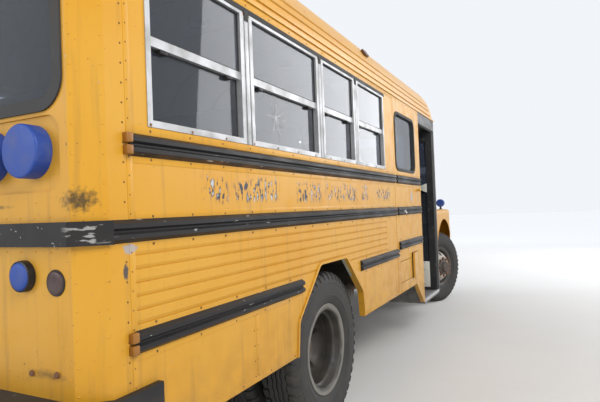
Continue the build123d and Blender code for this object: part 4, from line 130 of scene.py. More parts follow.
class Shade:
    """A material being made, with short calls for the nodes that it uses."""

    def __init__(self, name: str) -> None:
        """Start a node material with one shader and the piece's own coordinates."""
        self.material = bpy.data.materials.new(name)
        self.material.use_nodes = True
        self.tree = self.material.node_tree
        self.surface = self.tree.nodes["Principled BSDF"]
        self.place = self.add("ShaderNodeTexCoord").outputs["Object"]
        parts = self.add("ShaderNodeSeparateXYZ")
        self.join(self.place, parts.inputs[0])
        self.across, self.along, self.height = parts.outputs

    def add(self, kind: str, **settings: object) -> bpy.types.Node:
        """Add a node and set its plain properties."""
        node = self.tree.nodes.new(kind)
        for key, value in settings.items():
            setattr(node, key, value)
        return node

    def join(self, value: object, socket: bpy.types.NodeSocket) -> None:
        """Link an output to a socket, or set a plain value on it."""
        if isinstance(value, bpy.types.NodeSocket):
            self.tree.links.new(value, socket)
        else:
            socket.default_value = value

    def fix(self, **values: object) -> None:
        """Set values that are the same all over on the shader's own sockets."""
        for key, value in values.items():
            self.surface.inputs[key.replace("_", " ")].default_value = value

    def pattern(self, kind: str, scale: float, stretch: Point, seed: float = 0.0) -> bpy.types.Node:
        """Texture node on the piece's coordinates, squeezed along each axis and shifted by a seed."""
        mapping = self.add("ShaderNodeMapping")
        mapping.inputs["Scale"].default_value = stretch
        mapping.inputs["Location"].default_value = (seed, seed * 1.7, seed * 0.6)
        self.join(self.place, mapping.inputs["Vector"])
        node = self.add(kind)
        node.inputs["Scale"].default_value = scale
        self.join(mapping.outputs[0], node.inputs["Vector"])
        return node

    def noise(self, scale: float, detail: float = 3.0, stretch: Point = (1, 1, 1),
              seed: float = 0.0) -> Socket:
        """Smooth noise from 0 to 1.

        Args:
            scale: how fine the noise is.
            detail: how many finer layers it carries.
            stretch: factors that squeeze the pattern along each axis.
            seed: shift that gives another draw.

        Returns:
            The socket with the noise.
        """
        node = self.pattern("ShaderNodeTexNoise", scale, stretch, seed)
        node.inputs["Detail"].default_value = detail
        return node.outputs[0]

    def cells(self, scale: float, stretch: Point = (1, 1, 1)) -> Socket:
        """Distance to the nearest cell's middle, for grain and flakes."""
        return self.pattern("ShaderNodeTexVoronoi", scale, stretch).outputs[0]

    def ripples(self, scale: float, **settings: str) -> Socket:
        """Even waves from 0 to 1 along an axis."""
        wave = self.add("ShaderNodeTexWave", **settings)
        wave.inputs["Scale"].default_value = scale
        self.join(self.place, wave.inputs["Vector"])
        return wave.outputs[1]

    def ramp(self, value: Socket, start: float, end: float, low: float = 0.0, high: float = 1.0) -> Socket:
        """Map a value from start..end to low..high, clamped."""
        node = self.add("ShaderNodeMapRange", clamp=True)
        for socket, number in zip(node.inputs, (value, start, end, low, high)):
            self.join(number, socket)
        return node.outputs[0]

    def sum(self, kind: str, first: Socket | float, second: Socket | float = 0.0) -> Socket:
        """One arithmetic step on two values."""
        node = self.add("ShaderNodeMath", operation=kind)
        self.join(first, node.inputs[0])
        self.join(second, node.inputs[1])
        return node.outputs[0]

    def times(self, *values: Socket | float) -> Socket:
        """Product of several masks."""
        total = values[0]
        for value in values[1:]:
            total = self.sum("MULTIPLY", total, value)
        return total

    def band(self, value: Socket, low: float, high: float, soft: float = 0.01) -> Socket:
        """Mask that is 1 between low and high."""
        rise = self.ramp(value, low - soft, low + soft)
        fall = self.ramp(value, high + soft, high - soft)
        return self.sum("MULTIPLY", rise, fall)

    def far(self, scaling: str, place: Socket, centre: Point, scale: Point) -> Socket:
        """Length of the way from a centre, scaled along each axis by MULTIPLY or DIVIDE."""
        for kind, value in (("SUBTRACT", centre), (scaling, scale), ("LENGTH", None)):
            node = self.add("ShaderNodeVectorMath", operation=kind)
            self.join(place, node.inputs[0])
            if value:
                self.join(value, node.inputs[1])
            place = node.outputs[0]
        return node.outputs["Value"]

    def reach(self, centre: Point, flat: Point = (1, 1, 1), across: Socket | None = None) -> Socket:
        """Distance from a point, with an axis left out where flat is 0, and another value for x if given."""
        place = self.place
        if across is not None:
            joined = self.add("ShaderNodeCombineXYZ")
            for value, socket in zip((across, self.along, self.height), joined.inputs):
                self.join(value, socket)
            place = joined.outputs[0]
        return self.far("MULTIPLY", place, centre, flat)

    def spot(self, mark: Mark) -> Socket:
        """Mask of one spot of wear, dirt or painted shadow, ragged at its edge."""
        ragged = self.sum("ADD", self.far("DIVIDE", self.place, mark.centre, mark.half),
                          self.ramp(self.noise(70.0, 5.0), 0.3, 0.7, -mark.ragged, mark.ragged))
        return self.ramp(ragged, 1.0, 1.0 - mark.soft, 0.0, mark.strength)

    def blend(self, share: Socket, first: Socket | Colour, second: Socket | Colour) -> Socket:
        """Mix two colours, each a socket or a plain colour."""
        node = self.add("ShaderNodeMix", data_type="RGBA")
        self.join(share, node.inputs[0])
        for value, socket in ((first, node.inputs[6]), (second, node.inputs[7])):
            self.join((*value, 1.0) if isinstance(value, tuple) else value, socket)
        return node.outputs[2]

    def colour(self, value: Socket) -> None:
        """Give the shader its base colour."""
        self.join(value, self.surface.inputs["Base Color"])

    def rough(self, value: Socket) -> None:
        """Give the shader its roughness."""
        self.join(value, self.surface.inputs["Roughness"])

    def bump(self, *layers: tuple[Socket, float]) -> None:
        """Bump the surface by several heights.

        Args:
            layers: pairs of a height from 0 to 1 and its depth in metres.
        """
        normal = None
        for height, depth in layers:
            node = self.add("ShaderNodeBump")
            node.inputs["Strength"].default_value = 1.0
            node.inputs["Distance"].default_value = depth
            self.join(height, node.inputs["Height"])
            if normal is not None:
                self.join(normal, node.inputs["Normal"])
            normal = node.outputs["Normal"]
        self.join(normal, self.surface.inputs["Normal"])


@dataclass(frozen=True)
class Mark:
    """A spot of dirt, rust, bare primer or painted shadow: middle, half-sizes, colour, strength and edge."""

    centre: Point
    half: Point
    colour: Colour
    strength: float = 0.9
    soft: float = 0.25
    ragged: float = 0.25


class Lining(Enum):
    """Which inner faces are painted in the lining's colour."""

    NONE = 0
    WALLS = 1
    ROOF = 2

    def mask(self, s: Shade) -> Socket:
        """Mask of the faces that look into the cabin."""
        across = s.sum("ABSOLUTE", s.across)
        if self is Lining.WALLS:
            # The factors follow the slanted corner posts and the cowl's narrowing sides
            slope = s.times(s.sum("MAXIMUM", s.sum("SUBTRACT", s.height, SCREEN_FOOT), 0.0), SCREEN_LEAN)
            ahead = s.sum("SUBTRACT", s.along, slope)
            corner = s.sum("ADD", s.times(across, 0.645), s.times(s.along, 0.764))
            flank = s.sum("SUBTRACT", across, s.times(s.along, 0.2857))
            return s.times(s.ramp(across, 1.201, 1.199), s.ramp(s.along, 3.587, 3.585),
                           s.ramp(corner, 3.463, 3.461),
                           s.ramp(ahead, -1.783, -1.781), s.ramp(flank, 1.656, 1.652),
                           s.ramp(s.height, 0.929, 0.931))
        shoulder = s.reach((RoofLine.shoulder_x, 0, RoofLine.eave), (1, 0, 1), across)
        crown = s.reach((0, 0, RoofLine.middle), (1, 0, 1))
        near = s.ramp(across, RoofLine.turn_x - 0.001, RoofLine.turn_x + 0.001)
        deep = s.sum("ADD", s.times(near, s.sum("SUBTRACT", RoofLine.shoulder, shoulder)),
                     s.times(s.sum("SUBTRACT", 1.0, near), s.sum("SUBTRACT", RoofLine.big, crown)))
        back = s.sum("MINIMUM", s.sum("ADD", s.along, -ROOF_FRONT), s.sum("SUBTRACT", REAR_FACE, s.along))
        sides = [s.sum("MAXIMUM", value, 0.0)
                 for value in (s.sum("SUBTRACT", 0.3, back), s.sum("SUBTRACT", s.height, 2.75))]
        round_off = s.sum("SQRT", s.sum("ADD", *(s.times(side, side) for side in sides)))
        return s.times(s.ramp(round_off, 0.279, 0.277), s.ramp(deep, 0.021, 0.023))


class RoofLine:
    """The roof's cross-section: two shoulders and one wide arc over the crown."""

    half, shoulder, eave, crown = 1.195, 0.54, EAVE, 3.05
    shoulder_x = half - shoulder
    rise = crown - eave
    big = (shoulder_x ** 2 + rise ** 2 - shoulder ** 2) / (2 * (rise - shoulder))
    middle = crown - big
    lean = math.atan2(shoulder_x, eave - middle)
    turn_x = shoulder_x + shoulder * math.sin(lean)

    @classmethod
    def points(cls, inset: float, start: float = 0.0) -> list[tuple[float, float, float, float]]:
        """Points and outward directions across the section.

        Args:
            inset: depth below the skin.
            start: angle above the eave where the line starts and ends.

        Returns:
            Rows of x, z and the direction's x and z, from one eave to the other.
        """
        line = []
        for step in range(6):
            turn = start + (math.pi / 2 - cls.lean - start) * step / 5
            line.append((cls.shoulder_x + (cls.shoulder - inset) * math.cos(turn),
                         cls.eave + (cls.shoulder - inset) * math.sin(turn), math.cos(turn),
                         math.sin(turn)))
        for step in range(1, 5):
            turn = cls.lean * (1 - step / 4)
            line.append(((cls.big - inset) * math.sin(turn),
                         cls.middle + (cls.big - inset) * math.cos(turn),
                         math.sin(turn), math.cos(turn)))
        return line + [(-x, z, -across, up) for x, z, across, up in reversed(line[:-1])]


@dataclass(frozen=True)
class Finish:
    """A named finish, which makes its own material."""

    name: str

    def make(self) -> bpy.types.Material:
        """Make the node material."""
        s = Shade(self.name)
        self.paint(s)
        return s.material

    def paint(self, s: Shade) -> None:
        """Paint the surface, as each finish does it."""
        raise NotImplementedError


@dataclass(frozen=True)
class PanelPaint(Finish):
    """Sun-faded enamel on sheet metal, with road dirt, streaks and chips."""

    colour: Colour = (0.56, 0.268, 0.012)
    faded: Colour = (0.58, 0.300, 0.028)
    dirt: Colour = (0.115, 0.075, 0.040)
    primer: Colour = (0.44, 0.45, 0.48)
    bare: Colour = (0.016, 0.022, 0.036)
    worn: tuple[tuple[float, float], ...] = ()
    marks: tuple[Mark, ...] = ()
    dirt_top: float = 1.0
    paler_crown: bool = False
    lining: Lining = Lining.NONE

    def paint(self, s: Shade) -> None:
        """Paint the surface."""
        cloud = s.noise(1.6, 5.0, seed=3.0)
        tint = s.blend(s.ramp(cloud, 0.35, 0.65), self.colour, self.faded)
        # The roof turns paler towards its crown
        if self.paler_crown:
            tint = s.blend(s.ramp(s.height, 2.48, 2.95, 0.0, 0.75), tint, (0.62, 0.34, 0.09))
        streak = s.noise(5.0, 4.0, (6.0, 6.0, 0.35), seed=8.0)
        tint = s.blend(s.times(s.ramp(streak, 0.56, 0.78), 0.30), tint, self.dirt)
        low = s.ramp(s.height, self.dirt_top, 0.45)
        speck = s.ramp(s.noise(9.0, 6.0, seed=1.0), 0.30, 0.75)
        tint = s.blend(s.times(low, speck, 0.55), tint, self.dirt)
        chips = s.times(s.ramp(s.noise(95.0, 2.0, seed=5.0), 0.735, 0.75), 0.9)
        under = self.bare
        if self.worn:
            zone = s.band(s.along, *self.worn[0], 0.025)
            for low, high in self.worn[1:]:
                zone = s.sum("MAXIMUM", zone, s.band(s.along, low, high, 0.025))
            height = s.sum("ADD", s.height, s.ramp(s.noise(7.0, 2.0, seed=9.0), 0.3, 0.7, -0.02, 0.02))
            flake = s.noise(46.0, 4.0, (1, 1, 0.42), seed=11.0)
            old = s.times(zone, s.band(height, 1.482, 1.580, 0.012), s.ramp(flake, 0.525, 0.54))
            chips = s.sum("MAXIMUM", chips, old)
            under = s.blend(s.times(s.ramp(flake, 0.585, 0.61),
                                    s.ramp(s.noise(8.0, 2.0, seed=6.0), 0.46, 0.54)),
                            self.bare, self.primer)
        tint = s.blend(chips, tint, under)
        for mark in self.marks:
            tint = s.blend(s.spot(mark), tint, mark.colour)
        if self.lining is not Lining.NONE:
            cream = s.blend(s.ramp(streak, 0.45, 0.8), (0.40, 0.43, 0.36), (0.27, 0.27, 0.21))
            tint = s.blend(self.lining.mask(s), tint, cream)
        s.colour(tint)
        gloss = s.ramp(cloud, 0.3, 0.7, 0.30, 0.46)
        s.rough(s.sum("MAXIMUM", gloss, s.ramp(s.times(low, speck), 0.0, 0.6, 0.3, 0.75)))
        s.bump((s.noise(2.2, 1.0, seed=4.0), 0.004), (s.noise(420.0, 1.0), 0.00008),
               (s.sum("SUBTRACT", 1.0, chips), 0.0004))
        s.fix(Specular_IOR_Level=0.35, Coat_Weight=0.08, Coat_Roughness=0.2)


@dataclass(frozen=True)
class BlackPaint(Finish):
    """Black enamel with dust, rubbed edges and scrapes down to bare metal."""

    colour: Colour = (0.012, 0.012, 0.014)
    dust: Colour = (0.085, 0.072, 0.055)
    dust_share: float = 0.22
    scrapes: bool = False
    marks: tuple[Mark, ...] = ()
    roughness: float = 0.38
    fleck_from: float = 0.70

    def paint(self, s: Shade) -> None:
        """Paint the surface."""
        cloud = s.noise(7.0, 5.0, (1.0, 0.4, 1.0))
        tint = s.blend(s.ramp(cloud, 0.3, 0.75, 0.0, self.dust_share), self.colour, self.dust)
        fleck = s.ramp(s.noise(70.0, 3.0, (1, 0.25, 1)), self.fleck_from, self.fleck_from + 0.03)
        if self.scrapes:
            near = s.times(s.band(s.sum("ABSOLUTE", s.across), 1.13, 1.235, 0.02),
                           s.ramp(s.along, 3.50, 3.56))
            rub = s.ramp(s.noise(24.0, 6.0, (0.5, 0.5, 2.2), seed=7.0), 0.56, 0.60)
            fleck = s.sum("MAXIMUM", fleck, s.times(near, rub, 0.8))
            rust = s.times(s.ramp(s.noise(4.0, 3.0, (1, 1, 0.3)), 0.4, 0.65), 0.55)
            foot = s.sum("MAXIMUM", s.band(s.height, 0.945, 0.962, 0.004),
                         s.band(s.height, 1.632, 1.65, 0.004))
            tint = s.blend(s.times(rust, foot), tint, (0.16, 0.075, 0.028))
        tint = s.blend(fleck, tint, (0.34, 0.34, 0.33))
        for mark in self.marks:
            tint = s.blend(s.spot(mark), tint, mark.colour)
        s.colour(tint)
        s.rough(s.ramp(cloud, 0.3, 0.7, self.roughness - 0.08, self.roughness + 0.25))
        s.bump((s.noise(240.0, 2.0), 0.00015), (s.sum("SUBTRACT", 1.0, fleck), 0.0003))
        s.fix(Specular_IOR_Level=0.28)


@dataclass(frozen=True)
class BareMetal(Finish):
    """Metal with a direction to its polish, dulled by oxide."""

    colour: Colour = (0.50, 0.505, 0.52)
    oxide: Colour = (0.30, 0.295, 0.28)
    roughness: float = 0.42
    grain: Point = (1.0, 0.04, 1.0)
    metallic: float = 0.75

    def paint(self, s: Shade) -> None:
        """Paint the surface."""
        cloud = s.noise(11.0, 6.0)
        brushed = s.noise(900.0, 2.0, self.grain)
        s.colour(s.blend(s.ramp(cloud, 0.42, 0.72, 0.0, 0.6), self.colour, self.oxide))
        s.rough(s.ramp(cloud, 0.3, 0.7, self.roughness, self.roughness + 0.22))
        s.bump((brushed, 0.00006), (s.noise(60.0, 3.0), 0.00012))
        s.fix(Metallic=self.metallic)


@dataclass(frozen=True)
class DirtySteel(Finish):
    """Painted or bare underbody steel with rust and road grime."""

    colour: Colour = (0.030, 0.028, 0.026)
    rust: Colour = (0.11, 0.045, 0.018)
    grime: Colour = (0.14, 0.115, 0.085)
    rust_share: float = 0.5
    grime_share: float = 0.55
    roughness: float = 0.62

    def paint(self, s: Shade) -> None:
        """Paint the surface."""
        scale = s.noise(14.0, 7.0, seed=2.0)
        tint = s.blend(s.ramp(scale, 0.50, 0.68, 0.0, self.rust_share), self.colour, self.rust)
        dust = s.ramp(s.noise(5.0, 5.0, seed=9.0), 0.35, 0.75, 0.0, self.grime_share)
        s.colour(s.blend(dust, tint, self.grime))
        s.rough(s.ramp(scale, 0.3, 0.7, self.roughness - 0.1, self.roughness + 0.25))
        s.bump((s.noise(180.0, 4.0), 0.0004), (scale, 0.0008))


@dataclass(frozen=True)
class Rubber(Finish):
    """Black rubber with a dusty bloom."""

    colour: Colour = (0.018, 0.018, 0.019)
    bloom: Colour = (0.085, 0.078, 0.068)
    bloom_share: float = 0.5
    grain: float = 500.0

    def paint(self, s: Shade) -> None:
        """Paint the surface."""
        cloud = s.noise(12.0, 6.0)
        s.colour(s.blend(s.ramp(cloud, 0.38, 0.72, 0.0, self.bloom_share), self.colour, self.bloom))
        s.rough(s.ramp(cloud, 0.3, 0.7, 0.62, 0.86))
        s.bump((s.noise(self.grain, 2.0), 0.00012))


@dataclass(frozen=True)
class RoundPaint(Finish):
    """Wheel paint with a pale ring at the rim, painted in as its highlight, and rust round the nuts."""

    colour: Colour
    ring: Colour
    centre: Point
    flat: Point
    ring_from: float
    ring_to: float
    rust_to: float = 0.17
    rust_share: float = 0.5
    dust_share: float = 0.42

    def paint(self, s: Shade) -> None:
        """Paint the surface."""
        far = s.reach(self.centre, self.flat)
        wobble = s.sum("ADD", far, s.ramp(s.noise(9.0, 4.0), 0.3, 0.7, -0.012, 0.012))
        tint = s.blend(s.times(s.band(wobble, self.ring_from, self.ring_to, 0.010), 0.85), self.colour,
                       self.ring)
        rust = s.times(s.ramp(far, self.rust_to + 0.03, self.rust_to - 0.03),
                       s.ramp(s.noise(26.0, 6.0), 0.42, 0.62), self.rust_share)
        tint = s.blend(rust, tint, (0.17, 0.065, 0.022))
        dust = s.ramp(s.noise(7.0, 6.0, seed=5.0), 0.35, 0.75, 0.0, self.dust_share)
        s.colour(s.blend(dust, tint, (0.15, 0.125, 0.095)))
        s.rough(s.ramp(s.noise(18.0, 3.0), 0.3, 0.7, 0.42, 0.72))
        s.bump((s.noise(140.0, 4.0), 0.0003))


@dataclass(frozen=True)
class Pane(Finish):
    """Window glass with a faint tint and dusty film."""

    tint: Colour = (0.27, 0.30, 0.36)
    film: float = 0.12

    def paint(self, s: Shade) -> None:
        """Paint the surface."""
        smear = s.noise(3.0, 6.0, (1, 1, 0.5))
        s.colour(s.blend(s.ramp(smear, 0.45, 0.8, 0.0, self.film), self.tint, (0.62, 0.58, 0.50)))
        s.rough(s.ramp(smear, 0.4, 0.8, 0.015, 0.09))
        s.fix(Transmission_Weight=0.92, IOR=1.38)


@dataclass(frozen=True)
class Lens(Finish):
    """Moulded lamp lens with fine ribs."""

    colour: Colour
    ribs: float = 260.0
    transmission: float = 0.25
    roughness: float = 0.22

    def paint(self, s: Shade) -> None:
        """Paint the surface."""
        dust = s.noise(14.0, 5.0)
        s.colour(s.blend(s.ramp(dust, 0.45, 0.8, 0.0, 0.25), self.colour, (0.22, 0.20, 0.17)))
        s.rough(s.ramp(dust, 0.3, 0.8, self.roughness, self.roughness + 0.25))
        s.bump((s.ripples(self.ribs / WAVE_TURN, bands_direction="X"), 0.0003))
        s.fix(Transmission_Weight=self.transmission, IOR=1.49)


@dataclass(frozen=True)
class Moulded(Finish):
    """Grained plastic or coated fabric with a soft sheen."""

    colour: Colour
    worn: Colour
    grain: float = 900.0
    depth: float = 0.0002
    roughness: float = 0.5

    def paint(self, s: Shade) -> None:
        """Paint the surface."""
        cloud = s.noise(6.0, 5.0, seed=4.0)
        s.colour(s.blend(s.ramp(cloud, 0.42, 0.75, 0.0, 0.5), self.colour, self.worn))
        s.rough(s.ramp(cloud, 0.3, 0.7, self.roughness - 0.08, self.roughness + 0.15))
        s.bump((s.cells(self.grain), self.depth))


@dataclass(frozen=True)
class RibbedRubber(Finish):
    """Aisle and tread matting with long ribs."""

    colour: Colour = (0.028, 0.028, 0.030)
    pitch: float = 0.012
    direction: str = "X"

    def paint(self, s: Shade) -> None:
        """Paint the surface."""
        ribs = s.ripples(1.0 / (self.pitch * 20.0) * WAVE_TURN / 2.0, bands_direction=self.direction,
                         wave_profile="TRI")
        dust = s.ramp(s.noise(4.0, 6.0), 0.35, 0.75, 0.05, 0.6)
        s.colour(s.blend(dust, self.colour, (0.12, 0.105, 0.085)))
        s.rough(s.ramp(s.noise(20.0, 3.0), 0.3, 0.7, 0.55, 0.85))
        s.bump((ribs, 0.0015))


# Mesh makers


@contextmanager
def opened(mesh: bpy.types.Mesh) -> Iterator[bmesh.types.BMesh]:
    """Open a mesh for editing and write it back."""
    form = bmesh.new()
    form.from_mesh(mesh)
    yield form
    form.to_mesh(mesh)
    form.free()


def linked(name: str, data: bpy.types.ID) -> bpy.types.Object:
    """Make an object and link it into the scene."""
    thing = bpy.data.objects.new(name, data)
    bpy.context.scene.collection.objects.link(thing)
    return thing


def baked(piece: bpy.types.Object, name: str) -> bpy.types.Mesh:
    """Plain mesh of a piece with its modifiers."""
    bpy.context.view_layer.update()
    graph = bpy.context.evaluated_depsgraph_get()
    mesh = bpy.data.meshes.new_from_object(piece.evaluated_get(graph), depsgraph=graph)
    mesh.name = name
    return mesh


def stamped(source: bpy.types.Object, place: Matrix) -> bpy.types.Object:
    """Copy of a made shape, put in place."""
    copy = linked(source.name + "_copy", source.data.copy())
    copy.data.transform(place)
    return copy


def mesh_piece(name: str, verts: Sequence[Point], faces: Sequence[Sequence[int]],
               material: bpy.types.Material, smooth: float = 0.0) -> bpy.types.Object:
    """Make an object at the origin from vertices and faces.

    Args:
        name: the piece's name.
        verts: corners in the frame's axes.
        faces: corner numbers of each face.
        material: its finish.
        smooth: angle in degrees below which edges are shaded round, or 0.

    Returns:
        The linked object, its faces turned outwards.
    """
    mesh = bpy.data.meshes.new(name)
    mesh.from_pydata([tuple(v) for v in verts], [], [tuple(f) for f in faces])
    with opened(mesh) as form:
        bmesh.ops.remove_doubles(form, verts=form.verts, dist=1e-6)
        bmesh.ops.recalc_face_normals(form, faces=form.faces)
    mesh.materials.append(material)
    piece = linked(name, mesh)
    if smooth:
        round_edges(mesh, smooth)
    return piece


def round_edges(mesh: bpy.types.Mesh, angle: float) -> None:
    """Shade smooth, with edges sharper than an angle in degrees kept crisp."""
    with opened(mesh) as form:
        for face in form.faces:
            face.smooth = True
        for edge in form.edges:
            edge.smooth = len(edge.link_faces) == 2 and edge.calc_face_angle(0.0) < math.radians(angle)


def add_box(verts: list, faces: list, low: Point, high: Point) -> None:
    """Add a box between two corners to vertex and face lists."""
    start = len(verts)
    verts += [(x, y, z) for x in (low[0], high[0]) for y in (low[1], high[1]) for z in (low[2], high[2])]
    faces += [[start + i for i in face] for face in
              ((0, 1, 3, 2), (4, 6, 7, 5), (0, 4, 5, 1), (2, 3, 7, 6), (0, 2, 6, 4), (1, 5, 7, 3))]


def boxes(name: str, spans: Iterable[tuple[Point, Point]], material: bpy.types.Material,
          bevel: float = 0.0) -> bpy.types.Object:
    """Make one piece of several boxes with softened edges.

    Args:
        name: the piece's name.
        spans: pairs of opposite corners.
        material: its finish.
        bevel: width of the softened edges, or 0.

    Returns:
        The object.
    """
    verts: list = []
    faces: list = []
    for low, high in spans:
        add_box(verts, faces, low, high)
    piece = mesh_piece(name, verts, faces, material)
    if bevel:
        soften(piece, bevel)
    return piece


def outward(side: float, low: Point, high: Point) -> tuple[Point, Point]:
    """Corners of a box whose x is measured outwards on one side of the bus."""
    x0, x1 = sorted((side * low[0], side * high[0]))
    return (x0, *low[1:]), (x1, *high[1:])


def tube_faces(rings: int, first: int = 0) -> list[tuple[int, ...]]:
    """Faces of a capped tube with four corners a ring, numbered ring by ring."""
    last = first + (rings - 1) * 4
    faces = [(first, first + 1, first + 2, first + 3), (last + 3, last + 2, last + 1, last)]
    for a in range(first, last, 4):
        faces += [(a + i, a + 4 + i, a + 4 + (i + 1) % 4, a + (i + 1) % 4) for i in range(4)]
    return faces


def put(place: Point, turn: float = 0.0, axis: str = "Z") -> Matrix:
    """Matrix that turns by an angle in degrees and then moves to a place."""
    return Matrix.Translation(place) @ Matrix.Rotation(math.radians(turn), 4, axis)


def soften(piece: bpy.types.Object, width: float, segments: int = 2) -> None:
    """Round the sharp edges of a piece and keep the result as its mesh."""
    modifier = piece.modifiers.new("soft", "BEVEL")
    modifier.width = width
    modifier.segments = segments
    modifier.limit_method = "ANGLE"
    bake_down(piece)
    round_edges(piece.data, 50.0)


def bake_down(piece: bpy.types.Object) -> None:
    """Turn a piece's modifiers into its plain mesh and remove them."""
    mesh = baked(piece, piece.name)
    piece.modifiers.clear()
    piece.data = mesh


def lathe(name: str, profile: Profile, material: bpy.types.Material, place: Matrix,
          steps: int = 64, smooth: float = 35.0, closed: bool = True) -> bpy.types.Object:
    """Turn a profile round the X axis and put it in place.

    Args:
        name: the piece's name.
        profile: pairs of distance along the axis and radius; a radius of 0 closes at the axis.
        material: its finish.
        place: where the axis's origin and direction go.
        steps: number of facets round the axis.
        smooth: angle below which edges are shaded round.
        closed: whether the profile's last point joins its first.

    Returns:
        The object, with its place in its mesh.
    """
    verts = []
    for step in range(steps):
        turn = 2 * math.pi * step / steps
        verts += [(x, -r * math.sin(turn), r * math.cos(turn)) for x, r in profile]
    count = len(profile)
    faces = []
    for step in range(steps):
        a, b = step * count, (step + 1) % steps * count
        for i in range(count if closed else count - 1):
            j = (i + 1) % count
            faces.append((a + i, a + j, b + j, b + i))
    piece = mesh_piece(name, verts, faces, material)
    piece.data.transform(place)
    mend(piece, smooth)
    return piece


def mend(piece: bpy.types.Object, smooth: float) -> None:
    """Merge doubles, drop empty faces, turn the faces outwards and shade."""
    with opened(piece.data) as form:
        bmesh.ops.remove_doubles(form, verts=form.verts, dist=2e-5)
        bmesh.ops.dissolve_degenerate(form, edges=form.edges, dist=1e-6)
        bmesh.ops.recalc_face_normals(form, faces=form.faces)
    if smooth:
        round_edges(piece.data, smooth)


def merge(name: str, pieces: Sequence[bpy.types.Object]) -> bpy.types.Object:
    """Join finished pieces at the origin into one, keeping their finishes.

    Args:
        name: name of the joined piece.
        pieces: the pieces, which are used up.

    Returns:
        The joined object.
    """
    form = bmesh.new()
    finishes: list = []
    mesh = bpy.data.meshes.new(name)
    for piece in pieces:
        first = len(form.faces)
        form.from_mesh(piece.data)
        form.faces.ensure_lookup_table()
        for face in form.faces[first:]:
            finish = piece.data.materials[face.material_index]
            if finish not in finishes:
                finishes.append(finish)
            face.material_index = finishes.index(finish)
    form.to_mesh(mesh)
    form.free()
    for finish in finishes:
        mesh.materials.append(finish)
    for piece in pieces:
        bpy.data.objects.remove(piece)
    return linked(name, mesh)


def copy_of_node(node: str, name: str, material: bpy.types.Material,
                 smooth: float = 32.0) -> bpy.types.Object:
    """Copy a node's mesh, merge its loose triangles, shade it round and let it stand for the node."""
    mesh = bpy.data.objects[node].data.copy()
    mesh.name = name
    mesh.materials.clear()
    mesh.materials.append(material)
    piece = linked(name, mesh)
    with opened(mesh) as form:
        bmesh.ops.remove_doubles(form, verts=form.verts, dist=1e-5)
    round_edges(mesh, smooth)
    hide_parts(node)
    return piece


# Geometry node trees


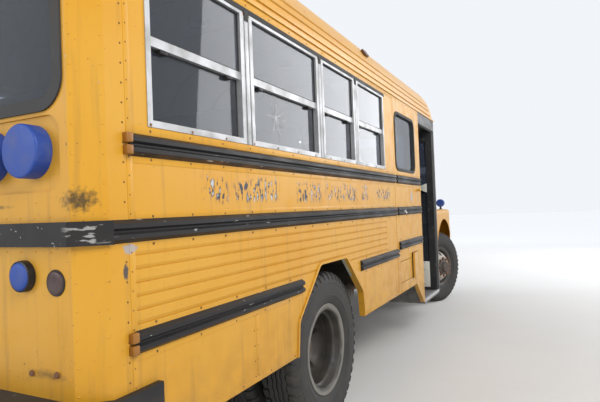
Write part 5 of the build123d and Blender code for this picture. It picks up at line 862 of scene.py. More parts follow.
class Rule:
    """A Geometry Nodes tree being built, with named inputs."""

    def __init__(self, name: str) -> None:
        """Start a tree with its geometry input and output."""
        self.tree = bpy.data.node_groups.new(name, "GeometryNodeTree")
        self.tree.interface.new_socket("Geometry", in_out="INPUT", socket_type="NodeSocketGeometry")
        self.tree.interface.new_socket("Geometry", in_out="OUTPUT", socket_type="NodeSocketGeometry")
        self.start = self.tree.nodes.new("NodeGroupInput")
        self.end = self.tree.nodes.new("NodeGroupOutput")

    def ask(self, name: str, kind: str, value: object = None) -> None:
        """Add a named input with its usual value."""
        socket = self.tree.interface.new_socket(name, in_out="INPUT", socket_type="NodeSocket" + kind)
        if value is not None:
            socket.default_value = value

    def add(self, kind: str, settings: dict | None = None, **inputs: object) -> bpy.types.Node:
        """Add a node, set its properties and feed its inputs by name."""
        node = self.tree.nodes.new(kind)
        for key, value in (settings or {}).items():
            setattr(node, key, value)
        for key, value in inputs.items():
            socket = node.inputs[key.replace("_", " ")]
            if isinstance(value, bpy.types.NodeSocket):
                self.tree.links.new(value, socket)
            else:
                socket.default_value = value
        return node

    def finish(self, geometry: bpy.types.NodeSocket) -> bpy.types.NodeTree:
        """End in realized instances with one finish, and return the tree."""
        real = self.add("GeometryNodeRealizeInstances", Geometry=geometry)
        coat = self.add("GeometryNodeSetMaterial", Geometry=real.outputs[0],
                        Material=self.start.outputs["Finish"])
        self.tree.links.new(coat.outputs[0], self.end.inputs[0])
        return self.tree

    @staticmethod
    def head_row() -> bpy.types.NodeTree:
        """Copies of one head at an even pitch along every line of the piece."""
        rule = Rule("head row")
        rule.ask("Pitch", "Float", 0.1)
        rule.ask("Head", "Object")
        rule.ask("Facing", "Vector", (1.0, 0.0, 0.0))
        rule.ask("Seed", "Int", 7)
        rule.ask("Finish", "Material")
        asked = rule.start.outputs
        points = rule.add("GeometryNodeCurveToPoints", {"mode": "LENGTH"}, Curve=asked["Geometry"],
                          Length=asked["Pitch"])
        spin = rule.add("FunctionNodeRandomValue", {"data_type": "FLOAT"}, Seed=asked["Seed"])
        spin.inputs[2].default_value = 0.0
        spin.inputs[3].default_value = math.tau
        aim = rule.add("FunctionNodeAlignRotationToVector", {"axis": "Z"}, Vector=asked["Facing"])
        turn = rule.add("FunctionNodeRotateRotation", {"rotation_space": "LOCAL"}, Rotation=aim.outputs[0])
        roll = rule.add("FunctionNodeAxisAngleToRotation", Angle=spin.outputs[1])
        rule.tree.links.new(roll.outputs[0], turn.inputs[1])
        head = rule.add("GeometryNodeObjectInfo", Object=asked["Head"])
        copies = rule.add("GeometryNodeInstanceOnPoints", Points=points.outputs[0],
                          Instance=head.outputs["Geometry"], Rotation=turn.outputs[0])
        return rule.finish(copies.outputs[0])

    @staticmethod
    def block_ring() -> bpy.types.NodeTree:
        """Copies of one block standing out from a ring round the X axis."""
        rule = Rule("block ring")
        rule.ask("Count", "Int", 10)
        rule.ask("Radius", "Float", 0.1)
        rule.ask("Offset", "Float", 0.0)
        rule.ask("Start", "Float", 0.0)
        rule.ask("Block", "Object")
        rule.ask("Finish", "Material")
        asked = rule.start.outputs
        ring = rule.add("GeometryNodeMeshCircle", Vertices=asked["Count"], Radius=asked["Radius"])
        number = rule.add("GeometryNodeInputIndex")
        share = rule.add("ShaderNodeMath", {"operation": "DIVIDE"})
        rule.tree.links.new(number.outputs[0], share.inputs[0])
        rule.tree.links.new(asked["Count"], share.inputs[1])
        whole = rule.add("ShaderNodeMath", {"operation": "MULTIPLY_ADD"})
        rule.tree.links.new(share.outputs[0], whole.inputs[0])
        whole.inputs[1].default_value = math.tau
        rule.tree.links.new(asked["Start"], whole.inputs[2])
        roll = rule.add("FunctionNodeAxisAngleToRotation", Axis=(1.0, 0.0, 0.0), Angle=whole.outputs[0])
        away = rule.add("ShaderNodeCombineXYZ", X=asked["Offset"], Z=asked["Radius"])
        spot = rule.add("FunctionNodeRotateVector", Vector=away.outputs[0], Rotation=roll.outputs[0])
        put = rule.add("GeometryNodeSetPosition", Geometry=ring.outputs[0], Position=spot.outputs[0])
        block = rule.add("GeometryNodeObjectInfo", Object=asked["Block"])
        copies = rule.add("GeometryNodeInstanceOnPoints", Points=put.outputs[0],
                          Instance=block.outputs["Geometry"], Rotation=roll.outputs[0])
        return rule.finish(copies.outputs[0])

    @staticmethod
    def trim_sweep() -> bpy.types.NodeTree:
        """A flat or round trim drawn along every line of the piece."""
        rule = Rule("trim sweep")
        rule.ask("Width", "Float", 0.01)
        rule.ask("Depth", "Float", 0.004)
        rule.ask("Sides", "Int", 8)
        rule.ask("Finish", "Material")
        asked = rule.start.outputs
        round_one = rule.add("GeometryNodeCurvePrimitiveCircle", {"mode": "RADIUS"},
                             Resolution=asked["Sides"], Radius=0.5)
        size = rule.add("ShaderNodeCombineXYZ", X=asked["Width"], Y=asked["Depth"], Z=1.0)
        form = rule.add("GeometryNodeTransform", Geometry=round_one.outputs[0], Scale=size.outputs[0])
        swept = rule.add("GeometryNodeCurveToMesh", Curve=asked["Geometry"], Profile_Curve=form.outputs[0],
                         Fill_Caps=True)
        flat = rule.add("GeometryNodeSetShadeSmooth", Geometry=swept.outputs[0], Shade_Smooth=True)
        return rule.finish(flat.outputs[0])


class Workshop:
    """Makes pieces from the node trees, and keeps the heads that they repeat."""

    def __init__(self) -> None:
        """Build the trees once."""
        self.row = Rule.head_row()
        self.ring = Rule.block_ring()
        self.sweep = Rule.trim_sweep()
        self.heads: dict[Head, bpy.types.Object] = {}

    def head(self, kind: Head) -> bpy.types.Object:
        """Fastener head standing on its base along +Z, made on first use."""
        if kind not in self.heads:
            sides, radius, height, narrow = kind.value
            verts = []
            for z, r in ((-0.001, radius), (height * 0.45, radius), (height, radius * narrow)):
                verts += [(r * math.cos(math.tau * i / sides), r * math.sin(math.tau * i / sides), z)
                          for i in range(sides)]
            faces = [tuple(range(2 * sides, 3 * sides))]
            for level in (0, sides):
                faces += [(level + i, level + (i + 1) % sides, level + sides + (i + 1) % sides,
                           level + sides + i)
                          for i in range(sides)]
            self.heads[kind] = self.hidden("head_" + kind.name.lower(), verts, faces)
        return self.heads[kind]

    def hidden(self, name: str, verts: Sequence[Point], faces: Sequence[Sequence[int]]) -> bpy.types.Object:
        """Source shape that only the trees use, kept out of the scene's collection."""
        mesh = bpy.data.meshes.new(name)
        mesh.from_pydata(verts, [], faces)
        return bpy.data.objects.new(name, mesh)

    def lines(self, name: str, paths: Iterable[Sequence[Point]], closed: bool = False) -> bpy.types.Object:
        """Curve object with one straight-run line for each path."""
        curve = bpy.data.curves.new(name, "CURVE")
        curve.dimensions = "3D"
        for path in paths:
            spline = curve.splines.new("POLY")
            spline.points.add(len(path) - 1)
            for point, place in zip(spline.points, path):
                point.co = (*place, 1.0)
            spline.use_cyclic_u = closed
        return linked(name, curve)

    def run(self, carrier: bpy.types.Object, tree: bpy.types.NodeTree, name: str,
            **inputs: object) -> bpy.types.Object:
        """Run a tree on a carrier and return the result as a plain mesh object.

        Args:
            carrier: object whose geometry goes in; it is used up.
            tree: the node tree.
            name: name of the result.
            inputs: values for the tree's named inputs.

        Returns:
            A mesh object at the origin.
        """
        modifier = carrier.modifiers.new(name, "NODES")
        modifier.node_group = tree
        for item in tree.interface.items_tree:
            key = item.name.replace(" ", "_")
            if item.in_out == "INPUT" and key in inputs:
                modifier[item.identifier] = inputs[key]
        carrier.update_tag()
        mesh = baked(carrier, name)
        bpy.data.objects.remove(carrier)
        return linked(name, mesh)

    def rows(self, name: str, paths: Iterable[Sequence[Point]], facing: Point, kind: Head, pitch: float,
             finish: bpy.types.Material) -> bpy.types.Object:
        """Rows of heads along paths, all facing one way."""
        carrier = self.lines(name + "_lines", paths)
        return self.run(carrier, self.row, name, Pitch=pitch, Head=self.head(kind), Facing=facing, Seed=7,
                        Finish=finish)

    def round(self, name: str, count: int, radius: float, offset: float, block: bpy.types.Object,
              finish: bpy.types.Material, place: Matrix, start: float = 0.0) -> bpy.types.Object:
        """Ring of blocks round the X axis, put in place."""
        carrier = mesh_piece(name + "_seed", [(0, 0, 0), (0.001, 0, 0), (0, 0.001, 0)], [(0, 1, 2)], finish)
        piece = self.run(carrier, self.ring, name, Count=count, Radius=radius, Offset=offset, Start=start,
                         Block=block, Finish=finish)
        piece.data.transform(place)
        return piece

    def trim(self, name: str, paths: Iterable[Sequence[Point]], width: float, depth: float,
             finish: bpy.types.Material, closed: bool = False, sides: int = 8) -> bpy.types.Object:
        """Trim swept along paths."""
        carrier = self.lines(name + "_lines", paths, closed)
        return self.run(carrier, self.sweep, name, Width=width, Depth=depth, Sides=sides, Finish=finish)


def finished(piece: bpy.types.Object, body: str = "bus") -> None:
    """Let a piece ride on a body and log its name, body and face count."""
    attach(piece, body)
    LOG.info("%s rides on %s, %d faces", piece.name, body, len(piece.data.polygons))


def stand_in(name: str, parts: Sequence[bpy.types.Object], node: str,
             body: str = "bus") -> None:
    """Join parts into the piece that stands for a node."""
    piece = merge(name, parts)
    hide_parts(node)
    finished(piece, body)


# Finishes of the bus


class Palette:
    """Every finish of the bus, made once."""

    def __init__(self) -> None:
        """Make the materials."""
        dark, rust, grey = (0.016, 0.017, 0.010), (0.14, 0.050, 0.012), (0.30, 0.31, 0.34)
        self.body = PanelPaint(
            "body_enamel",
            worn=((2.86, 3.03), (2.40, 2.80), (1.85, 2.17), (1.20, 1.78), (0.96, 1.10), (0.36, 0.74)),
            marks=(Mark((-1.150, 3.590, 1.486), (0.075, 0.060, 0.042), dark, 0.85, 0.7, 0.35),
                   # Painted shadow: this brown spot just ahead of and below the door release knob is the
                   # knob's cast shadow, in the rust colour
                   Mark((-1.22, -0.655, 1.510), (0.05, 0.016, 0.080), rust, 0.75, 0.8),
                   Mark((-1.22, -0.390, 1.515), (0.05, 0.042, 0.062), grey, 0.85, 0.2, 0.5),
                   Mark((-1.22, -0.075, 1.300), (0.05, 0.010, 0.040), rust, 0.8, 0.6),
                   Mark((-1.22, 3.445, 1.318), (0.05, 0.028, 0.020), grey, 0.8, 0.2, 0.4),
                   Mark((-1.22, 3.468, 1.240), (0.05, 0.012, 0.032), (0.03, 0.04, 0.06), 0.9, 0.3),
                   Mark((-1.00, 3.61, 0.912), (0.11, 0.05, 0.020), (0.06, 0.03, 0.012), 0.6, 0.9),
                   Mark((-0.70, 3.61, 1.475), (0.16, 0.05, 0.010), (0.03, 0.026, 0.012), 0.6, 0.6)),
            lining=Lining.WALLS).make()
        self.roof = PanelPaint("roof_enamel", paler_crown=True, lining=Lining.ROOF).make()
        self.nose = PanelPaint("nose_enamel", dirt_top=0.9, lining=Lining.WALLS).make()
        self.rail = BlackPaint("rail_enamel", (0.008, 0.008, 0.010), dust_share=0.14, scrapes=True, marks=(
            Mark((-1.24, -0.093, 1.368), (0.05, 0.030, 0.022), (0.62, 0.62, 0.60), 0.95, 0.15),
            Mark((-1.24, 0.275, 1.377), (0.05, 0.030, 0.045), (0.05, 0.020, 0.010), 0.9, 0.3))).make()
        self.black = BlackPaint("trim_enamel", dust_share=0.25).make()
        self.leaf = BlackPaint("door_enamel", colour=(0.022, 0.022, 0.024),
                               dust=(0.075, 0.070, 0.064)).make()
        # The rail caps' enamel is body colour darkened to orange-brown: painted shade
        self.cap = PanelPaint("rail_cap_enamel", colour=(0.22, 0.085, 0.012),
                              faded=(0.30, 0.125, 0.018)).make()
        self.rivet = DirtySteel("rivet_heads", colour=(0.17, 0.075, 0.010), rust=(0.035, 0.020, 0.010),
                                grime=(0.16, 0.09, 0.03),
                                rust_share=0.9, grime_share=0.3).make()
        self.bumper = BlackPaint("bumper_enamel", dust_share=0.45, roughness=0.5, fleck_from=0.745).make()
        self.lining = Moulded("lining_enamel", (0.40, 0.43, 0.36), (0.27, 0.27, 0.21), grain=60.0,
                              roughness=0.4).make()
        self.frame = BareMetal("sash_aluminium").make()
        self.chrome = BareMetal("plated_steel", colour=(0.78, 0.78, 0.79), roughness=0.16,
                                metallic=1.0).make()
        self.step = BareMetal("step_steel", colour=(0.26, 0.26, 0.25), oxide=(0.13, 0.10, 0.07),
                              roughness=0.5).make()
        self.core = RibbedRubber("radiator_fins", colour=(0.045, 0.045, 0.042), pitch=0.004).make()
        self.chassis = DirtySteel("chassis_steel").make()
        self.casting = DirtySteel("cast_iron_parts", colour=(0.06, 0.05, 0.045), rust_share=0.8).make()
        self.pipe = DirtySteel("exhaust_steel", colour=(0.14, 0.12, 0.10), rust=(0.20, 0.085, 0.035),
                               rust_share=0.9).make()
        self.rust = DirtySteel("rusty_nuts", colour=(0.16, 0.07, 0.03), rust=(0.10, 0.04, 0.016),
                               grime_share=0.3).make()
        self.seal = Rubber("seal_rubber", bloom_share=0.35).make()
        self.tyre = Rubber("tyre_rubber_finish", bloom=(0.070, 0.060, 0.047), bloom_share=0.5,
                           grain=320.0).make()
        self.glass = Pane("window_pane").make()
        self.blue = Lens("blue_cover_finish", (0.005, 0.045, 0.27), transmission=0.0, roughness=0.45).make()
        self.red = Lens("red_lens_finish", (0.22, 0.012, 0.012), roughness=0.18).make()
        self.dark_lens = Lens("dark_lens_finish", (0.035, 0.006, 0.006), transmission=0.1,
                              roughness=0.3).make()
        self.amber = Lens("amber_lens_finish", (0.10, 0.035, 0.006), roughness=0.2).make()
        self.clear = Lens("clear_lens_finish", (0.80, 0.83, 0.86), transmission=0.85, roughness=0.05).make()
        self.vinyl = Moulded("seat_cover", (0.045, 0.085, 0.075), (0.09, 0.13, 0.11)).make()
        self.plastic = Moulded("dash_moulding", (0.030, 0.030, 0.032), (0.07, 0.068, 0.062),
                               roughness=0.45).make()
        self.floor = RibbedRubber("aisle_matting").make()
        self.tread = RibbedRubber("tread_matting", colour=(0.13, 0.13, 0.135), pitch=0.020,
                                  direction="Y").make()
        self.signal = Moulded("signal_enamel", (0.30, 0.012, 0.010), (0.22, 0.03, 0.02),
                              roughness=0.3).make()
        self.white = Moulded("white_enamel", (0.66, 0.65, 0.60), (0.42, 0.38, 0.30), grain=60.0,
                             roughness=0.4).make()
        self.knob = Moulded("knob_plastic", (0.66, 0.36, 0.03), (0.20, 0.08, 0.03), grain=80.0,
                            roughness=0.35).make()
        self.crack = Moulded("crack_white", (0.78, 0.80, 0.82), (0.60, 0.62, 0.64), grain=200.0,
                             roughness=0.3).make()

    def dress(self, nodes: dict[str, bpy.types.Object]) -> None:
        """Give every carried-over node its finish, but not those that added pieces replace."""
        for finish, names in (
                (self.body, ("right_side_wall", "left_side_wall", "rear_wall", "battery_door", "side_hatch",
                             "rear_door")),
                (self.roof, ("roof",)),
                (self.nose, ("front_cowl", "front_fenders", "hood")),
                (self.rail, ("rub_rails", "rear_door_rail")),
                (self.bumper, ("rear_bumper", "front_bumper")),
                (self.leaf, ("entry_door_frame", "entry_door_front_leaf", "entry_door_rear_leaf")),
                (self.black, ("grille", "steering_column")),
                (self.frame, ("side_window_frames",)),
                (self.glass, ("window_glass", "rear_door_glass", "entry_door_front_glass",
                              "entry_door_rear_glass")),
                (self.seal, ("window_gaskets",)),
                (self.floor, ("body_floor",)),
                (self.step, ("stepwell",)),
                (self.plastic, ("dashboard",)),
                (self.pipe, ("exhaust",)),
                (self.casting, ("front_axle", "rear_axle", "engine_block", "right_knuckle",
                                "left_knuckle")),
                (self.chassis, ("chassis_frame", "wheel_boxes", "tie_rod", "leaf_springs", "drive_shaft",
                                "fuel_tank", "seat_frames", "driver_seat")),
        ):
            for name in names:
                for place in nodes[name].material_slots:
                    place.material = finish


@dataclass
class Assembly:
    """A group of added pieces, made with the shared finishes and node trees."""

    palette: Palette
    shop: Workshop

    def build(self) -> None:
        """Make the pieces, as each group does it."""
        raise NotImplementedError


# Wheels


@dataclass
class WheelSet(Assembly):
    """Tyres, rims, hubs and nuts of the six wheels, turned once and placed."""

    kingpin: float = 0.8
    scrub: float = 0.09
    steer: float = -22.0
    mount: float = 0.889
    offset: float = 0.155
    tyre_r: float = 0.505
    lug_count: int = 46
    nut_count: int = 10
    nut_circle: float = 0.1255
    hand_holes: int = 5
    hand_circle: float = 0.185
    hand_r: float = 0.026
    shapes: dict[str, bpy.types.Object] = field(default_factory=dict)

    CARCASS = ((0.095, 0.258), (0.096, 0.286), (0.104, 0.298), (0.113, 0.314), (0.120, 0.333),
               (0.1235, 0.3445), (0.1255, 0.3455), (0.1260, 0.3510), (0.1250, 0.3525), (0.1272, 0.372),
               (0.1280, 0.392), (0.1276, 0.410), (0.1262, 0.4265), (0.1275, 0.4280), (0.1268, 0.4340),
               (0.1250, 0.4355), (0.1215, 0.452), (0.1165, 0.467), (0.1095, 0.479), (0.1010, 0.4875),
               (0.0900, 0.4915), (0.0500, 0.4935), (0.0, 0.4940))
    LINING = ((0.076, 0.2585), (0.082, 0.296), (0.098, 0.330), (0.108, 0.385), (0.100, 0.440),
              (0.078, 0.464), (0.040, 0.474), (0.0, 0.476))
    RIM = ((0.107, 0.284), (0.1085, 0.2895), (0.1045, 0.2930), (0.0990, 0.2915), (0.0958, 0.2860),
           (0.0950, 0.2570), (0.0600, 0.2545), (0.0540, 0.2500), (0.0470, 0.2390), (0.0400, 0.2360),
           (0.0, 0.2360))
    WELL = ((0.1030, 0.2640), (0.0985, 0.2530), (0.0900, 0.2475), (0.0570, 0.2455), (0.0500, 0.2400),
            (0.0430, 0.2290), (0.0360, 0.2270), (0.0, 0.2270))
    DISC = ((0.010, 0.2315), (0.045, 0.2300), (0.075, 0.2190), (0.105, 0.1990), (0.130, 0.1760),
            (0.146, 0.1580), (0.1530, 0.1470), (0.155, 0.1400), (0.155, 0.1110), (0.143, 0.1110),
            (0.143, 0.1350), (0.136, 0.1490), (0.120, 0.1680), (0.095, 0.1890), (0.066, 0.2070),
            (0.038, 0.2170), (0.010, 0.2190))
    DRUM_REAR = ((-0.250, 0.180), (-0.250, 0.205), (-0.236, 0.209), (-0.228, 0.205), (-0.150, 0.205),
                 (-0.140, 0.198), (-0.120, 0.180), (-0.120, 0.080), (-0.134, 0.080), (-0.134, 0.180))
    HUB_REAR = ((-0.190, 0.047), (-0.190, 0.090), (-0.034, 0.090), (-0.030, 0.138), (-0.012, 0.1395),
                (-0.012, 0.1080), (0.056, 0.1055), (0.064, 0.1000), (0.068, 0.0930), (0.069, 0.0800),
                (0.100, 0.0765), (0.108, 0.0720), (0.1135, 0.0640), (0.115, 0.0500), (0.115, 0.0004),
                (-0.020, 0.0004), (-0.020, 0.047))
    DRUM_FRONT = ((-0.056, 0.165), (-0.056, 0.185), (-0.044, 0.188), (-0.036, 0.185), (0.012, 0.184),
                  (0.020, 0.176), (0.020, 0.076), (0.008, 0.076), (0.008, 0.165))
    HUB_FRONT = ((-0.012, 0.033), (-0.012, 0.080), (0.119, 0.080), (0.122, 0.138), (0.143, 0.1395),
                 (0.143, 0.1085), (0.168, 0.1060), (0.178, 0.0960), (0.183, 0.0820), (0.205, 0.0740),
                 (0.214, 0.0690), (0.221, 0.0600), (0.223, 0.0480), (0.223, 0.0004), (0.094, 0.0004),
                 (0.094, 0.033))

    def turned(self, name: str, half: Profile, back: Profile,
               finish: bpy.types.Material, steps: int) -> bpy.types.Object:
        """Ring whose section is symmetric about its middle plane."""
        outer = list(half) + [(-x, r) for x, r in reversed(half[:-1])]
        inner = [(-x, r) for x, r in back[:-1]] + list(reversed(back))
        return lathe(name, outer + inner, finish, Matrix(), steps)

    def make_tyre(self) -> bpy.types.Object:
        """One tyre: carcass, zigzag ribs and shoulder lugs."""
        rubber = self.palette.tyre
        parts = [self.turned("carcass", self.CARCASS, self.LINING, rubber, 96)]
        steps, wave = self.lug_count * 4, 0.004
        for middle, half in ((-0.046, 0.013), (-0.015, 0.011), (0.015, 0.011), (0.046, 0.013)):
            foot = ((half, 0.4900), (half, 0.5035), (half - 0.0015, self.tyre_r),
                    (-half + 0.0015, self.tyre_r), (-half, 0.5035), (-half, 0.4900))
            rib = lathe("rib", [(middle + x, r) for x, r in foot], rubber, Matrix(), steps, 30.0)
            for vertex in rib.data.vertices:
                turn = math.atan2(-vertex.co.y, vertex.co.z) / math.tau * self.lug_count
                vertex.co.x += wave * (abs(turn % 1.0 * 2 - 1) * 2 - 1)
            parts.append(rib)
        for side in SIDES:
            block = self.lug(side)
            parts.append(self.shop.round("lugs", self.lug_count, 0.0, 0.0, block, rubber, Matrix(),
                                         start=side * math.pi / 2 / self.lug_count))
        return merge("tyre", parts)

    def lug(self, side: float) -> bpy.types.Object:
        """Shoulder lug that narrows down the sidewall, standing at the top of the ring."""
        half = math.pi * self.tyre_r / self.lug_count * 0.66
        section = ((0.067, 0.5045), (0.090, 0.5025), (0.1030, 0.4975), (0.1165, 0.4810), (0.1265, 0.4560))
        roots = ((0.067, 0.4880), (0.090, 0.4860), (0.0985, 0.4800), (0.1080, 0.4700), (0.1160, 0.4540))
        slant = (-0.004, -0.001, 0.0, 0.002, 0.004)
        verts = []
        for row, ((x, r), (rx, rr)) in enumerate(zip(section, roots)):
            wide = half * (1.0 - 0.10 * row)
            verts += [(side * x, slant[row] - wide * 0.9, r), (side * x, slant[row] + wide * 0.9, r),
                      (side * rx, slant[row] + wide, rr), (side * rx, slant[row] - wide, rr)]
        faces = tube_faces(len(section))
        if side > 0:
            faces = [tuple(reversed(face)) for face in faces]
        return self.shop.hidden("lug_shape", verts, faces)

    def make_rim(self, barrel: bpy.types.Material, finish: bpy.types.Material) -> bpy.types.Object:
        """One rim with its dished disc and hand holes; the bolting face is at x = offset."""
        rim = self.turned("rim", self.RIM, self.WELL, barrel, 96)
        disc = lathe("disc", self.DISC, finish, Matrix(), 96)
        cutter = merge("cutter", [
            lathe("drill", ((-0.3, 0.0), (-0.3, self.hand_r), (0.3, self.hand_r), (0.3, 0.0)), finish,
                  Matrix.Rotation(math.tau * hole / self.hand_holes, 4, "X")
                  @ Matrix.Translation((0, 0, self.hand_circle)),
                  24) for hole in range(self.hand_holes)])
        cut = disc.modifiers.new("holes", "BOOLEAN")
        cut.object = cutter
        cut.operation = "DIFFERENCE"
        cut.solver = "EXACT"
        bake_down(disc)
        bpy.data.objects.remove(cutter)
        mend(disc, 35.0)
        return merge("wheel", [rim, disc])

    def front_place(self, side: float) -> Matrix:
        """Middle of a front wheel, its outer face towards +X."""
        turn = self.steer if side > 0 else self.steer + 180.0
        pin = put((side * self.kingpin, FRONT_AXLE, AXLE_HEIGHT), turn)
        return pin @ Matrix.Translation((self.scrub, 0, 0))

    def rear_place(self, side: float) -> Matrix:
        """Bolting plane of the rear wheels of one side, their outer face towards +X."""
        return put((side * self.mount, REAR_AXLE, AXLE_HEIGHT), 0.0 if side > 0 else 180.0)

    def nuts(self, place: Matrix, count: int, circle: float, offset: float, head: Head,
             finish: bpy.types.Material) -> bpy.types.Object:
        """Ring of nuts whose seats face along +X."""
        kind = self.shop.head(head)
        block = self.shop.hidden("nut_shape", [(v.co.z, v.co.y, v.co.x) for v in kind.data.vertices],
                                 [tuple(reversed(p.vertices)) for p in kind.data.polygons])
        return self.shop.round("nuts", count, circle, offset, block, finish, place)

    def build(self) -> None:
        """Make every wheel."""
        pal = self.palette
        # The pale ring on the rear rims' flanges is a painted highlight
        black = RoundPaint("rear_wheel_enamel", (0.020, 0.018, 0.016), (0.19, 0.18, 0.165),
                           (0.0, REAR_AXLE, AXLE_HEIGHT), (0, 1, 1), 0.262, 0.300, dust_share=0.25).make()
        rim = RoundPaint("front_rim_enamel", (0.030, 0.027, 0.024), (0.12, 0.11, 0.10),
                         (0.0, 0.0, AXLE_HEIGHT), (0, 0, 1), 0.0, 0.001, dust_share=0.3).make()
        white = RoundPaint("front_disc_enamel", (0.46, 0.44, 0.40), (0.58, 0.56, 0.51),
                           (0.0, 0.0, AXLE_HEIGHT), (0, 0, 1), 0.0, 0.001, rust_to=0.16,
                           rust_share=0.75).make()
        self.shapes["tyre"] = self.make_tyre()
        self.shapes["black"] = self.make_rim(black, black)
        self.shapes["white"] = self.make_rim(rim, white)
        for side, word in ((ENTRY, "right"), (DRIVER, "left")):
            place = self.front_place(side)
            body = f"{word}_front_wheel"
            stand_in(f"{word}_front_tyre_tread", [stamped(self.shapes["tyre"], place)],
                     f"{word}_front_tyre", body)
            stand_in(f"{word}_front_rim", [
                stamped(self.shapes["white"], place),
                lathe("hub", self.HUB_FRONT, pal.casting, place, 64),
                lathe("drum", self.DRUM_FRONT, pal.casting, place, 72),
                self.nuts(place, self.nut_count, self.nut_circle, self.offset - 0.001, Head.WHEEL_NUT,
                          pal.rust),
                self.nuts(place, 6, 0.064, 0.2115, Head.FLANGE_NUT, pal.rust),
            ], body, body)
            place = self.rear_place(side)
            body = f"{word}_rear_wheels"
            turn = Matrix.Rotation(math.pi, 4, "Z")
            outer = place @ Matrix.Translation((self.offset, 0, 0)) @ turn
            inner = place @ Matrix.Translation((-self.offset, 0, 0))
            stand_in(f"{word}_rear_tyres_tread",
                     [stamped(self.shapes["tyre"], outer), stamped(self.shapes["tyre"], inner)],
                     f"{word}_rear_tyres", body)
            stand_in(f"{word}_rear_rims", [
                stamped(self.shapes["black"], outer), stamped(self.shapes["black"], inner),
                lathe("hub", self.HUB_REAR, pal.casting, place, 64),
                lathe("drum", self.DRUM_REAR, pal.casting, place, 72),
                self.nuts(place, self.nut_count, self.nut_circle, 0.011, Head.WHEEL_NUT, pal.casting),
                self.nuts(place, 8, 0.0875, 0.0665, Head.FLANGE_NUT, pal.casting),
            ], body, body)
        for shape in self.shapes.values():
            bpy.data.objects.remove(shape)


# Lamps


